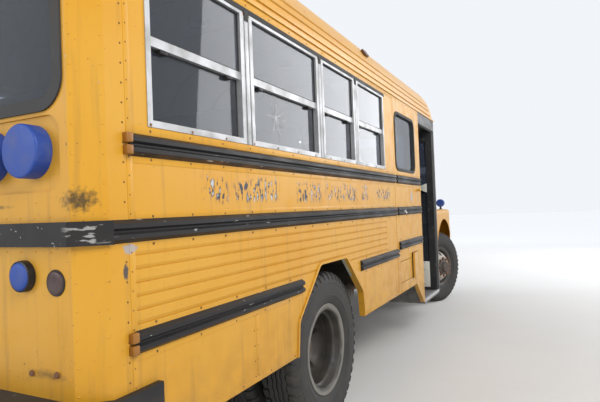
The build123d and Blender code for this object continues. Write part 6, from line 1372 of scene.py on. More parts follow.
@dataclass
class LampSet(Assembly):
    """Lamps in their bezels or under their covers, and the reflectors."""

    recess: float = 0.008
    nose_face: float = -3.56

    BACK = 90.0
    FRONT = -90.0
    STEM = ((0.0, 0.0004), (0.0, 0.026), (0.006, 0.026), (0.012, 0.015), (0.045, 0.014), (0.045, 0.0004))

    def dome(self, radius: float, out: float, lens: bpy.types.Material, rim: bpy.types.Material,
             place: Matrix, side: float = 0.42) -> bpy.types.Object:
        """Round lamp: turned bezel and a domed lens, its face towards +X.

        Args:
            radius: radius over the bezel.
            out: how far it stands out.
            lens: finish of the dome.
            rim: finish of the bezel.
            place: where its seat goes.
            side: share of the depth that the bezel covers.

        Returns:
            The joined lamp.
        """
        lip = radius * 0.10
        bezel = [(0.0, radius), (out * side * 0.7, radius), (out * side, radius - lip * 0.3),
                 (out * (side + 0.04), radius - lip), (out * (side - 0.06), radius - lip * 1.5),
                 (0.0, radius - lip * 1.5)]
        dome = [(out * side * 0.7, radius - lip * 1.2)]
        for step in range(9):
            turn = math.pi / 2 * step / 8
            dome.append((out * (side + (1.0 - side) * math.sin(turn)),
                         (radius - lip * 1.25) * math.cos(turn) ** 0.62 + 0.0002))
        dome += [(0.001, 0.0002), (0.001, radius - lip * 1.2)]
        return merge("lamp", [lathe("bezel", bezel, rim, place, 48), lathe("lens", dome, lens, place, 48)])

    def cover(self, radius: float, out: float, place: Matrix) -> bpy.types.Object:
        """Round cover pulled over a lamp: a nearly flat face with a turned edge."""
        edge = 0.008
        profile = [(0.0, radius), (out - edge, radius)]
        for step in range(1, 6):
            turn = math.pi / 2 * step / 5
            profile.append((out - edge + edge * math.sin(turn), radius - edge + edge * math.cos(turn)))
        profile += [(out + 0.0015, radius * 0.6), (out + 0.002, 0.0002), (0.001, 0.0002)]
        return lathe("cover", profile, self.palette.blue, place, 48)

    def visor(self, radius: float, deep: float, place: Matrix) -> bpy.types.Object:
        """Black hood over the upper half of a warning lamp, its face towards +X."""
        verts, steps = [], 18
        for step in range(steps + 1):
            turn = math.radians(-100 + 200 * step / steps)
            reach = deep * (0.35 + 0.65 * max(0.0, math.cos(turn)))
            for x, r in ((0.0, radius), (reach, radius * 0.97), (reach, radius * 0.97 - 0.002),
                         (0.0, radius - 0.002)):
                verts.append((x, r * math.sin(turn), r * math.cos(turn)))
        piece = mesh_piece("visor", verts, tube_faces(steps + 1), self.palette.black)
        piece.data.transform(place)
        mend(piece, 40.0)
        return piece

    def rear(self) -> None:
        """Covered lamps and reflectors of the rear face."""
        pal = self.palette
        lamps, glints = [], []
        seat = REAR_FACE - self.recess
        for side in SIDES:
            for x in (0.955, 0.735):
                lamps.append(self.cover(0.091, 0.060, put((side * x, seat, 1.657), self.BACK)))
            lamps.append(self.dome(0.054, 0.034, pal.blue, pal.black,
                                   put((side * 0.90, REAR_FACE, 1.237), self.BACK), 0.72))
            glints.append(self.dome(0.044, 0.010, pal.dark_lens, pal.black,
                                    put((side * 1.055, REAR_FACE, 1.218), self.BACK)))
        stand_in("rear_lamp_covers", lamps, "rear_lamps")
        stand_in("rear_reflector_lenses", glints, "rear_reflectors")

    def front(self) -> None:
        """Headlamps, and the covered turn lamps on the fenders."""
        pal = self.palette
        heads, turns = [], []
        for side in SIDES:
            heads.append(self.dome(0.092, 0.028, pal.clear, pal.chrome,
                                   put((side * 0.70, self.nose_face, 1.02), self.FRONT)))
            turns += [self.cover(0.058, 0.040, put((side * 0.97, -3.10, 1.445), way))
                      for way in (self.BACK, self.FRONT)]
            stem = put((side * 0.97, -3.10, 1.349), -90, "Y")
            turns.append(lathe("stem", self.STEM, pal.black, stem, 32))
        stand_in("head_lamp_lenses", heads, "head_lamps")
        stand_in("fender_lamp_covers", turns, "fender_lamps")

    def high(self) -> None:
        """Warning lamps in both roof ends, their hoods, and the side clearance lamps."""
        pal = self.palette
        lamps, visors = [], []
        for side in SIDES:
            for x in (0.56, 0.815):
                for face, way in ((REAR_FACE, self.BACK), (ROOF_FRONT, self.FRONT)):
                    place = put((side * x, face, EAVE + 0.165), way)
                    lamps.append(self.dome(0.088, 0.042, pal.red, pal.black, place))
                    visors.append(self.visor(0.092, 0.085, place))
        stand_in("warning_lamp_lenses", lamps, "warning_lamps")
        finished(merge("warning_lamp_visors", visors))
        markers = copy_of_node("marker_lamps", "marker_lamp_lenses", pal.amber)
        soften(markers, 0.010, 3)
        finished(markers)

    def build(self) -> None:
        """Make the lamps."""
        self.rear()
        self.front()
        self.high()


# Body


@dataclass
class BodyTrim(Assembly):
    """Rivets, lapped seams, window beads, latches and marks of the body shell."""

    half: float = HALF_WIDTH
    corner: tuple[float, float] = (1.13, 3.534)
    skin: float = 0.0012
    pitch: float = 0.2205
    posts: tuple[float, ...] = (3.345, 2.663, 1.81, 1.168, 0.48)
    post_half: float = 0.028
    sill: float = 1.75
    head: float = 2.40
    split: float = 2.075
    frame_wide: float = 0.026
    bow_places: tuple[float, ...] = (3.2, 2.663, 1.81, 1.168, 0.48, -0.21, -0.9)

    ROWS = ((1.733, 3.332, 0.20), (1.733, 0.11, -0.72), (1.629, 3.332, 0.20), (1.629, 0.11, -0.72),
            (1.425, 3.332, 0.20), (1.425, 0.11, -0.72), (1.326, 3.332, 0.20), (1.326, 0.11, -0.72),
            (1.044, 3.332, 2.30), (1.044, 1.06, 0.20), (0.937, 3.332, 2.32), (0.937, 1.06, 0.20),
            (1.107, 0.09, -0.72), (0.999, 0.09, -0.72), (0.628, 3.30, 2.28), (0.628, 1.08, -0.42),
            (2.432, 3.332, -0.72))
    ARCH = ((-0.553, 0.65), (-0.530, 0.815), (-0.245, 1.088), (0.245, 1.088), (0.530, 0.815), (0.553, 0.65))
    COLUMNS = ((3.440, 0.64, 2.43), (3.464, 0.66, 2.43), (0.196, 0.64, 1.72), (0.168, 0.64, 1.72),
               (2.651, 0.64, 0.93), (2.679, 0.64, 0.93), (-0.765, 0.66, 2.42))

    def rivets(self) -> None:
        """Rivet rows of both sides, the corner posts and the rear face."""
        pal, shop = self.palette, self.shop
        parts = []
        for side in SIDES:
            x = side * self.half
            rows = [((x, start, z), (x, end, z)) for z, start, end in self.ROWS]
            columns = [((x, y, low), (x, y, high)) for y, low, high in self.COLUMNS]
            parts.append(shop.rows("side_rows", rows, (side, 0, 0), Head.RIVET, self.pitch, pal.rivet))
            parts.append(shop.rows("side_columns", columns, (side, 0, 0), Head.SMALL_RIVET, 0.066,
                                   pal.rivet))
            lean = Vector((self.half - self.corner[0], REAR_FACE - self.corner[1], 0))
            out = Vector((side * lean.y, lean.x, 0)).normalized()
            edges = []
            for share in (0.10, 0.90):
                px = side * (self.corner[0] + (self.half - self.corner[0]) * share)
                py = REAR_FACE + (self.corner[1] - REAR_FACE) * share
                edges += [((px, py, 0.67), (px, py, 1.31)), ((px, py, 1.44), (px, py, 2.42))]
            parts.append(shop.rows("corner_columns", edges, tuple(out), Head.SMALL_RIVET, 0.09, pal.body))
            arch = [(x + side * 0.008, REAR_AXLE + y, z) for y, z in self.ARCH]
            parts.append(shop.rows("arch_row", [arch], (side, 0, 0), Head.SMALL_RIVET, 0.06, pal.body))
        rear = [((side * x0, REAR_FACE, z0), (side * x1, REAR_FACE, z1)) for side in SIDES
                for x0, z0, x1, z1 in ((0.362, 0.96, 0.362, 2.36), (0.42, 1.435, 1.11, 1.435),
                                       (0.42, 1.318, 1.11, 1.318), (0.40, 0.905, 1.11, 0.905),
                                       (0.40, 2.432, 1.10, 2.432), (0.48, 0.66, 1.11, 0.66))]
        parts.append(shop.rows("rear_rows", rear, (0, 1, 0), Head.SMALL_RIVET, self.pitch / 3, pal.body))
        finished(merge("body_rivets", parts))

    def laps(self) -> None:
        """Lapped sheet edges along the seams."""
        spans = []
        for side in SIDES:
            for y0, y1, z0, z1 in ((3.424, 3.450, 0.612, 0.950), (3.424, 3.450, 1.031, 1.336),
                                   (3.424, 3.450, 1.418, 1.636), (3.424, 3.450, 1.718, 2.452),
                                   (0.155, 0.207, 0.612, 2.452), (2.639, 2.665, 0.637, 0.924),
                                   (2.30, 3.423, 0.925, 0.950), (-0.735, 0.150, 1.612, 1.636),
                                   (-0.735, 0.150, 1.718, 1.748), (0.21, 3.42, 1.612, 1.636),
                                   (0.21, 3.42, 1.718, 1.748), (0.21, 3.42, 1.418, 1.443),
                                   (0.21, 3.42, 2.418, 2.452), (2.26, 3.423, 0.611, 0.636),
                                   (0.208, 1.10, 0.611, 0.636), (-0.47, 0.154, 0.611, 0.636)):
                spans.append(outward(side, (self.half - 0.001, y0, z0), (self.half + self.skin, y1, z1)))
        finished(boxes("panel_laps", spans, self.palette.body, 0.0005))

    def bays(self) -> list[tuple[float, float]]:
        """Rear and front edge of every sash window."""
        spans = []
        for index in range(len(self.posts) - 1):
            rear = self.posts[index] - (0.0 if index == 0 else self.post_half)
            front = self.posts[index + 1] + (0.0 if index == len(self.posts) - 2 else self.post_half)
            spans.append((rear, front))
        return spans

    def window_trim(self) -> None:
        """Rubber beads round each pane, post covers, sash latches, seal caps on the posts, sill screws and a
        dark strip that paints the drip rail's shadow.
        """
        beads, posts, latches = [], [], []
        wide = self.frame_wide
        foot, top = self.sill, self.head - 0.028
        for side in SIDES:
            raised = 0.002 if side == DRIVER else 0.0
            for rear, front in self.bays():
                y0, y1 = front + wide + 0.002, rear - wide - 0.002
                for x, low, high in ((self.half - 0.0105, self.split + 0.018, self.head - wide),
                                     (self.half - 0.0285, self.sill + wide, self.split - 0.018)):
                    corners = ((y0, low + 0.002), (y1, low + 0.002), (y1, high - 0.002), (y0, high - 0.002))
                    beads.append([(side * x, y, z) for y, z in corners])
                for y in (front + 0.11, rear - 0.11):
                    x = side * (self.half - 0.020)
                    latches.append(((x - 0.014, y - 0.022, self.split - 0.034),
                                    (x + 0.014, y + 0.022, self.split - 0.020)))
            for y in self.posts[1:-1]:
                x0, x1 = sorted((side * self.half, side * (self.half + 0.0045)))
                posts.append(((x0, y - 0.0265, foot), (x1, y + 0.0265, top)))
                for dy in (-0.019, 0.019):
                    posts.append(((x0, y + dy - 0.004, foot), (x1 + raised, y + dy + 0.004, top)))
        finished(self.shop.trim("pane_beads", beads, 0.007, 0.007, self.palette.seal, True))
        finished(boxes("window_post_covers", posts, self.palette.frame, 0.0012))
        finished(boxes("sash_latches", latches, self.palette.black, 0.003))
        caps, screws = [], []
        for side in SIDES:
            for y in self.posts[1:-1]:
                caps.append(outward(side, (self.half, y - 0.018, self.head - 0.050),
                                    (self.half + 0.007, y + 0.018, self.head + 0.004)))
            # This long dark rubber strip under the drip rail is the drip rail's painted shadow along the
            # window heads
            caps.append(outward(side, (self.half - 0.001, self.posts[-1] - 0.03, self.head - 0.012),
                                (self.half + 0.0048, self.posts[0] + 0.03, self.head + 0.016)))
            line = ((side * (self.half + 0.004), 3.331, 1.758), (side * (self.half + 0.004), 0.50, 1.758))
            screws.append(self.shop.rows("sill_screws", [line], (side, 0, 0), Head.SCREW, self.pitch,
                                         self.palette.rivet))
        finished(boxes("window_head_seals", caps, self.palette.seal, 0.002))
        finished(merge("window_sill_screws", screws))

    def rail_caps(self) -> None:
        """Caps closing the rear ends of the upper and lower rub rails, in body colour darkened as painted
        shade.
        """
        spans = []
        for side in SIDES:
            for low in (1.637, 0.951):
                for z0, z1 in ((0.003, 0.036), (0.044, 0.079)):
                    spans.append(outward(side, (self.half - 0.001, 3.437, low + z0),
                                         (self.half + 0.0245, 3.466, low + z1)))
        finished(boxes("rub_rail_caps", spans, self.palette.cap, 0.004))

    def marks(self) -> None:
        """Star crack in one pane and the chip in its lower edge."""
        draw = random.Random(12)
        x = -self.half + 0.0293
        y0, z0 = 2.3385, 1.9316
        rays = []
        for ray in range(13):
            turn = math.tau * ray / 13 + draw.uniform(-0.16, 0.16)
            far, bend = draw.uniform(0.035, 0.125), draw.uniform(-0.25, 0.25)
            way = [(far * share, turn + bend * share ** 2) for share in (0.0, 0.25, 0.5, 0.75, 1.0)]
            rays.append([(x, y0 + reach * math.cos(angle), z0 + reach * math.sin(angle))
                         for reach, angle in way])
        for radius in (0.014, 0.030):
            for step in range(14):
                if draw.random() > 0.35:
                    rays.append([(x, y0 + radius * math.cos(turn), z0 + radius * math.sin(turn))
                                 for turn in (math.tau * step / 14, math.tau * (step + 1) / 14)])
        finished(self.shop.trim("star_crack", rays, 0.0015, 0.0015, self.palette.crack, sides=4))
        place = put((x, 2.058, 1.829), 180) @ Matrix.Diagonal((1, 1.3, 0.6, 1))
        edge = ((0.0, 0.0), (0.0, 0.012), (0.0008, 0.009), (0.0008, 0.0))
        finished(lathe("pane_chip", edge, self.palette.crack, place, 10))

    def roof_bows(self) -> None:
        """Rivet lines across the roof, and the bows under them inside."""
        parts = []
        line = RoofLine.points(-0.0008, math.radians(14))
        for (x0, z0, *_), (x1, z1, *_) in zip(line, line[1:]):
            facing = Vector((z0 - z1, 0.0, x1 - x0)).normalized() * -1.0
            paths = [[(x0, y, z0), (x1, y, z1)] for y in (*self.bow_places, -1.4)]
            parts.append(self.shop.rows("bow", paths, tuple(facing), Head.SMALL_RIVET, 0.045,
                                        self.palette.roof))
        finished(merge("roof_bow_rivets", parts))
        verts: list = []
        faces: list = []
        for y in self.bow_places[1:]:
            first = len(verts)
            for (x0, z0, *_), (x1, z1, *_) in zip(RoofLine.points(0.046), RoofLine.points(0.058)):
                verts += [(x0, y - 0.022, z0), (x0, y + 0.022, z0), (x1, y + 0.019, z1),
                          (x1, y - 0.019, z1)]
            faces += tube_faces((len(verts) - first) // 4, first)
        finished(mesh_piece("roof_bows_inside", verts, faces, self.palette.lining, 40.0))

    def build(self) -> None:
        """Make all of the body's trim."""
        self.rivets()
        self.laps()
        self.window_trim()
        self.rail_caps()
        self.marks()
        self.roof_bows()


# Door, nose, underbody and rear fittings


def rounded_loop(middle: tuple[float, float], half: tuple[float, float], radius: float,
                 place: Callable[[float, float], Point]) -> list[Point]:
    """Points round a rounded rectangle.

    Args:
        middle: centre along the wall and upwards.
        half: half-sizes along the wall and upwards.
        radius: corner radius.
        place: function from the two flat coordinates to a point.

    Returns:
        The closed path's points.
    """
    points = []
    for corner, (u, v) in enumerate(((1, 1), (-1, 1), (-1, -1), (1, -1))):
        for step in range(7):
            turn = math.pi / 2 * (corner + step / 6)
            points.append(place(middle[0] + u * (half[0] - radius) + radius * math.cos(turn),
                                middle[1] + v * (half[1] - radius) + radius * math.sin(turn)))
    return points


@dataclass
class EntryDoor(Assembly):
    """Doorway and folding leaves: seals, bracket, kick panel, knob, step edges and treads."""

    face: float = -1.457
    risers: tuple[float, ...] = (-1.22, -0.835, -0.6355, -0.436)
    low: float = 0.385
    rise: float = 0.20167

    FLARE = ((-1.045, 1.620), (-1.045, 1.652), (-1.128, 1.684), (-1.140, 1.684), (-1.140, 1.580),
             (-1.128, 1.580))
    KNOB = ((0.0, 0.0004), (0.0, 0.016), (0.006, 0.015), (0.008, 0.008), (0.018, 0.008), (0.022, 0.016),
            (0.030, 0.020), (0.038, 0.018), (0.043, 0.010), (0.045, 0.0004))

    def leaves(self) -> None:
        """Rubber edges, white bracket and kick panel of the leaves."""
        pal, y = self.palette, self.face
        edge = boxes("rear_leaf_rubber", [((-1.218, y - 0.034, 0.404), (-1.209, y - 0.004, 2.314)),
                                          ((-1.130, y, 2.215), (-0.94, y + 0.004, 2.235))], pal.seal, 0.002)
        finished(edge, "entry_rear_leaf")
        edge = boxes("front_leaf_rubber", [((-1.2195, -1.541, 0.43), (-1.2105, -1.511, 2.285))],
                     pal.seal, 0.002)
        finished(edge, "entry_front_leaf")
        verts = [(x, y + dy, z) for dy in (0.0, 0.014) for x, z in self.FLARE]
        faces = [tuple(range(6)), tuple(range(11, 5, -1))]
        faces += [(i, (i + 1) % 6, (i + 1) % 6 + 6, i + 6) for i in range(6)]
        bracket = mesh_piece("door_bracket", verts, faces, pal.white)
        soften(bracket, 0.003)
        kick = boxes("door_kick_panel", [((-1.137, y, 0.424), (-0.90, y + 0.004, 0.735))],
                     pal.white, 0.0015)
        for piece in (bracket, kick):
            finished(piece, "entry_rear_leaf")
        spots = [((x, y + 0.0035, z), (x - 0.02, y + 0.0035, z)) for x in (-1.075, -0.92)
                 for z in (0.455, 0.63, 0.715)]
        screws = self.shop.rows("kick_panel_screws", spots, (0, 1, 0), Head.SCREW, 0.05, pal.rivet)
        finished(screws, "entry_rear_leaf")

    def frame(self) -> None:
        """Seals of the opening, the knob beside it and the hand rail inside."""
        pal = self.palette
        seals = boxes("doorway_seals", [((-1.214, -0.7943, 0.42), (-1.188, -0.7893, 2.325)),
                                        ((-1.212, -1.546, 2.3175), (-1.190, -0.80, 2.3305)),
                                        ((-1.206, -1.5508, 0.42), (-1.184, -1.5435, 2.31))],
                      pal.seal, 0.003)
        finished(seals)
        knob = lathe("door_release_knob", self.KNOB, pal.knob, put((-1.22, -0.622, 1.588), 180), 32)
        finished(knob)
        bars = [[(-0.43, -0.70, 0.992), (-0.43, -0.70, 2.93)], [(-1.17, -0.70, 1.78), (-0.43, -0.70, 1.78)]]
        rail = self.shop.trim("entry_hand_rail", bars, 0.032, 0.032, pal.chrome, sides=16)
        finished(rail)

    def steps(self) -> None:
        """Light edge strips and ribbed mats on the steps."""
        pal = self.palette
        edges, mats = [], []
        for row, x in enumerate(self.risers):
            z = self.low + row * self.rise
            edges.append(((x - 0.003, -1.540, z - 0.022), (x + 0.001, -0.800, z + 0.002)))
            edges.append(((x - 0.003, -1.540, z), (x + 0.034, -0.800, z + 0.0035)))
            if row < len(self.risers) - 1:
                mats.append(((x + 0.035, -1.535, z), (self.risers[row + 1] - 0.010, -0.805, z + 0.003)))
        finished(boxes("step_edge_strips", edges, pal.frame, 0.001))
        finished(boxes("step_mats", mats, pal.tread, 0.001))

    def build(self) -> None:
        """Make the doorway's pieces."""
        self.leaves()
        self.frame()
        self.steps()


@dataclass
class Nose(Assembly):
    """Arch lips, hood latches, radiator core, screen rubbers, wipers and bolts of the front end."""

    fender_x: float = 1.05
    corner_r: float = 0.25
    front_y: float = -3.56
    arch: tuple[float, float, float] = (FRONT_AXLE, 0.65, 0.56)

    CAP = ((0.0, 0.0004), (0.0, 0.016), (0.014, 0.014), (0.020, 0.008), (0.021, 0.0004))

    def skin_x(self, y: float) -> float:
        """Half-width of the fender's skin at a distance along the bus."""
        into = max(0.0, self.front_y + self.corner_r - y)
        return self.fender_x - self.corner_r + math.sqrt(max(0.0, self.corner_r ** 2 - into ** 2))

    def hood_x(self, y: float) -> float:
        """Half-width of the hood at a distance along the bus."""
        return 0.620 - 0.140 * (-1.806 - y) / 1.739

    @staticmethod
    def on_screen(u: float, v: float) -> Point:
        """Point on the leaning windscreen, at a distance across and a height."""
        return u, -1.7995 + (v - SCREEN_FOOT) * SCREEN_LEAN, v

    def lips(self) -> None:
        """Rolled lip round each fender's wheel opening."""
        middle_y, middle_z, radius = self.arch
        paths = []
        for side in SIDES:
            path = []
            for step in range(49):
                turn = math.pi * step / 48
                y = middle_y + radius * math.cos(turn)
                path.append((side * (self.skin_x(y) - 0.001), y, middle_z + radius * math.sin(turn)))
            paths.append(path)
        finished(self.shop.trim("fender_lips", paths, 0.013, 0.013, self.palette.nose))

    def latches(self) -> None:
        """Rubber straps holding the hood down to the fenders."""
        straps, hooks = [], []
        for side in SIDES:
            for y in (-3.25, -2.20):
                x = self.hood_x(y) + 0.006
                straps.append(outward(side, (x, y - 0.018, 1.352), (x + 0.016, y + 0.018, 1.412)))
                hooks.append(outward(side, (x - 0.012, y - 0.024, 1.414), (x + 0.020, y + 0.024, 1.432)))
        finished(boxes("hood_latch_straps", straps, self.palette.seal, 0.004))
        finished(boxes("hood_latch_hooks", hooks, self.palette.chrome, 0.004), "hood")

    def front(self) -> None:
        """Radiator core, the grille's surround and the bumper's bolts."""
        pal = self.palette
        core = boxes("radiator_core", [((-0.41, -3.545, 0.905), (0.41, -3.515, 1.415))], pal.core, 0.004)
        finished(core)
        loop = rounded_loop((0.0, 1.165), (0.434, 0.284), 0.030, lambda u, v: (u, -3.603, v))
        finished(self.shop.trim("grille_surround", [loop], 0.030, 0.014, pal.chrome, True))
        rows = [((side * x, -BUMPER_FACE, z), (side * (x + 0.001), -BUMPER_FACE, z)) for side in SIDES
                for x in (0.30, 0.86) for z in (0.56, 0.69)]
        bolts = self.shop.rows("front_bumper_bolts", rows, (0, -1, 0), Head.CARRIAGE, 0.01, pal.bumper)
        finished(bolts)

    def wipers(self) -> None:
        """Two wipers parked along the bottom of the windscreen."""
        arms, blades, caps = [], [], []
        for x in (-0.62, 0.38):
            arms.append([(x, -1.806, 1.640), (x + 0.03, -1.812, 1.668), (x + 0.24, -1.803, 1.742),
                         (x + 0.27, -1.795, 1.748)])
            blades.append([(x + 0.03, -1.796, 1.690), (x + 0.51, -1.784, 1.800)])
            caps.append(lathe("cap", self.CAP, self.palette.black, put((x, -1.799, 1.640), -90), 24))
        parts = [self.shop.trim("arms", arms, 0.010, 0.006, self.palette.black),
                 self.shop.trim("blades", blades, 0.008, 0.014, self.palette.seal)]
        finished(merge("windscreen_wipers", parts + caps))

    def screens(self) -> None:
        """Rubber round the two windscreen panes, and the driver's sliding window frame."""
        pal = self.palette
        loops = [rounded_loop((side * 0.5535, 2.0), (0.5300, 0.3385), 0.035, self.on_screen)
                 for side in SIDES]
        finished(self.shop.trim("windscreen_gaskets", loops, 0.020, 0.020, pal.seal, True))
        bars = [((1.2, -1.479, low), (1.2225, -0.701, low + 0.022)) for low in (1.691, 2.377)]
        bars += [((1.2, y, 1.713), (1.2225, y + 0.022, 2.377)) for y in (-1.479, -0.723)]
        bars += [((1.2005, y, 1.713), (1.2165, y + 0.020, 2.377)) for y in (-1.112, -1.090)]
        finished(boxes("driver_window_frame", bars, pal.frame, 0.0015))

    def build(self) -> None:
        """Make the nose's pieces."""
        self.lips()
        self.latches()
        self.front()
        self.screens()
        self.wipers()


@dataclass
class Underbody(Assembly):
    """Spring bolts, brake chambers, tank straps, pipe clamps and frame bolts."""

    SPRINGS = ((0.357, 0.432, FRONT_AXLE, 0.365, 0.520), (0.440, 0.515, REAR_AXLE, 0.425, 0.650))
    CAN = ((0.0, 0.0004), (0.0, 0.030), (0.012, 0.052), (0.050, 0.074), (0.058, 0.080), (0.070, 0.080),
           (0.078, 0.074), (0.120, 0.062), (0.132, 0.040), (0.134, 0.0004))
    FILLER = ((0.0, 0.0004), (0.0, 0.062), (0.003, 0.062), (0.004, 0.048), (0.016, 0.046), (0.020, 0.040),
              (0.021, 0.0004))
    CLAMPS = ((-0.24, -1.90, 0.555, 0.0325, 0.022), (-0.24, -1.0, 0.555, 0.0325, 0.022),
              (-0.62, 0.15, 0.60, 0.1070, 0.030), (-0.62, 0.52, 0.60, 0.1070, 0.030),
              (-0.556, 1.60, 0.642, 0.0325, 0.022), (-0.556, 3.30, 0.545, 0.0325, 0.022))

    def springs(self) -> None:
        """U-bolts over each spring and clips round its leaves."""
        bolts, clips = [], []
        for inner, outer, axle, low, high in self.SPRINGS:
            for side in SIDES:
                x0, x1 = inner - 0.006, outer + 0.006
                for dy in (-0.048, 0.048):
                    y = axle + dy
                    bolts.append([(side * x, y, z)
                                  for x, z in ((x0, low), (x0, high), (x1, high), (x1, low))])
                for dy in (-0.22, 0.22):
                    y, z = axle + dy, high - 0.028
                    clips.append(outward(side, (x0, y - 0.012, z - 0.052), (x1, y + 0.012, z + 0.022)))
        finished(self.shop.trim("spring_u_bolts", bolts, 0.014, 0.014, self.palette.casting))
        finished(boxes("spring_clips", clips, self.palette.casting, 0.002))

    def chambers(self) -> None:
        """Brake chambers behind the rear axle and their hoses."""
        cans, hoses = [], []
        for side in SIDES:
            middle = side * 0.36
            cans.append(lathe("can", self.CAN, self.palette.chassis, put((middle, 1.84, 0.585), 90), 32))
            hoses.append([(side * x, y, z) for x, y, z in ((0.36, 1.97, 0.585), (0.36, 2.02, 0.60),
                                                           (0.37, 2.06, 0.68), (0.38, 2.07, 0.80))])
            arm = ((middle - 0.014, 1.74, 0.56), (middle + 0.014, 1.845, 0.61))
            cans.append(boxes("arm", [arm], self.palette.chassis, 0.003))
        finished(merge("brake_chambers", cans))
        finished(self.shop.trim("brake_hoses", hoses, 0.014, 0.014, self.palette.seal))

    def tank(self) -> None:
        """Tank straps, its filler neck and the cap on the driver's side."""
        spans = []
        for y in (0.06, 0.66):
            spans += [((x, y, low), (1.0035, y + 0.042, high))
                      for x, low, high in ((0.434, 0.5365, 0.5395), (1.0005, 0.5365, 0.8535),
                                           (0.434, 0.8505, 0.8535))]
        finished(boxes("tank_straps", spans, self.palette.step, 0.0008))
        cap = lathe("fuel_filler_cap", self.FILLER, self.palette.black, put((1.2195, 0.38, 0.86)), 40)
        finished(cap)

    def exhaust(self) -> None:
        """Clamps round the pipe and straps round the silencer."""
        rings = []
        for x, y, z, radius, wide in self.CLAMPS:
            low, high = radius - 0.002, radius + 0.002
            profile = ((-wide / 2, low), (-wide / 2, high), (wide / 2, high), (wide / 2, low))
            rings.append(lathe("ring", profile, self.palette.step, put((x, y, z), 90), 40))
            hanger = ((x - 0.010, y - 0.010, z + radius), (x + 0.010, y + 0.010, 0.862))
            rings.append(boxes("hanger", [hanger], self.palette.step, 0.002))
        finished(merge("exhaust_clamps", rings))

    def bolts(self) -> None:
        """Rows of bolt heads along the frame rails and on the spring eyes."""
        parts = []
        for side in SIDES:
            x = side * 0.4325
            rows = [((x, -3.45, z), (x, 3.45, z)) for z in (0.660, 0.815)]
            parts.append(self.shop.rows("frame_rows", rows, (side, 0, 0), Head.BOLT, 0.23,
                                        self.palette.chassis))
            for x, y, z in ((0.5155, 1.07, 0.690), (0.5155, 2.31, 0.690), (0.4325, -3.45, 0.584),
                            (0.4325, -2.33, 0.584)):
                eye = ((side * x, y, z), (side * x, y, z + 0.001))
                parts.append(self.shop.rows("eye", [eye], (side, 0, 0), Head.BOLT, 0.01,
                                            self.palette.casting))
        finished(merge("frame_bolt_heads", parts))

    def build(self) -> None:
        """Make the underbody's pieces."""
        self.springs()
        self.chambers()
        self.tank()
        self.exhaust()
        self.bolts()


@dataclass
class RearGear(Assembly):
    """Seals, pane gaskets and bolts of the rear door, and the bolts of the bumper."""

    def build(self) -> None:
        """Make the rear fittings."""
        pal, shop = self.palette, self.shop
        loop = rounded_loop((0.0, 1.6325), (0.323, 0.6995), 0.012, lambda u, v: (u, REAR_FACE - 0.006, v))
        finished(shop.trim("rear_door_seal", [loop], 0.007, 0.012, pal.seal, True))
        loops = [rounded_loop((0.0, z), (0.256, tall), 0.062, lambda u, v: (u, REAR_FACE + 0.001, v))
                 for z, tall in ((1.18, 0.126), (2.035, 0.231))]
        finished(shop.trim("rear_door_gaskets", loops, 0.020, 0.010, pal.seal, True),
                 "rear_door")
        heads = []
        for side in SIDES:
            spots = [((side * x, REAR_FACE, z), (side * x, REAR_FACE + 0.0005, z))
                     for x, z in ((0.924, 0.910), (1.050, 0.917))]
            heads.append(shop.rows("rear_screws", spots, (0, 1, 0), Head.BOLT, 0.01, pal.rust))
            spots = [((side * x, BUMPER_FACE, z), (side * x, 3.740, z)) for x in (0.62, 1.02)
                     for z in (0.66, 0.775)]
            heads.append(shop.rows("bumper_bolts", spots, (0, 1, 0), Head.CARRIAGE, 0.01, pal.bumper))
            spots = [((side * 1.2455, y, 0.716), (side * 1.246, y, 0.716)) for y in (3.37, 3.50)]
            heads.append(shop.rows("end_bolts", spots, (side, 0, 0), Head.CARRIAGE, 0.01, pal.bumper))
        finished(merge("rear_bolt_heads", heads))


# Cabin


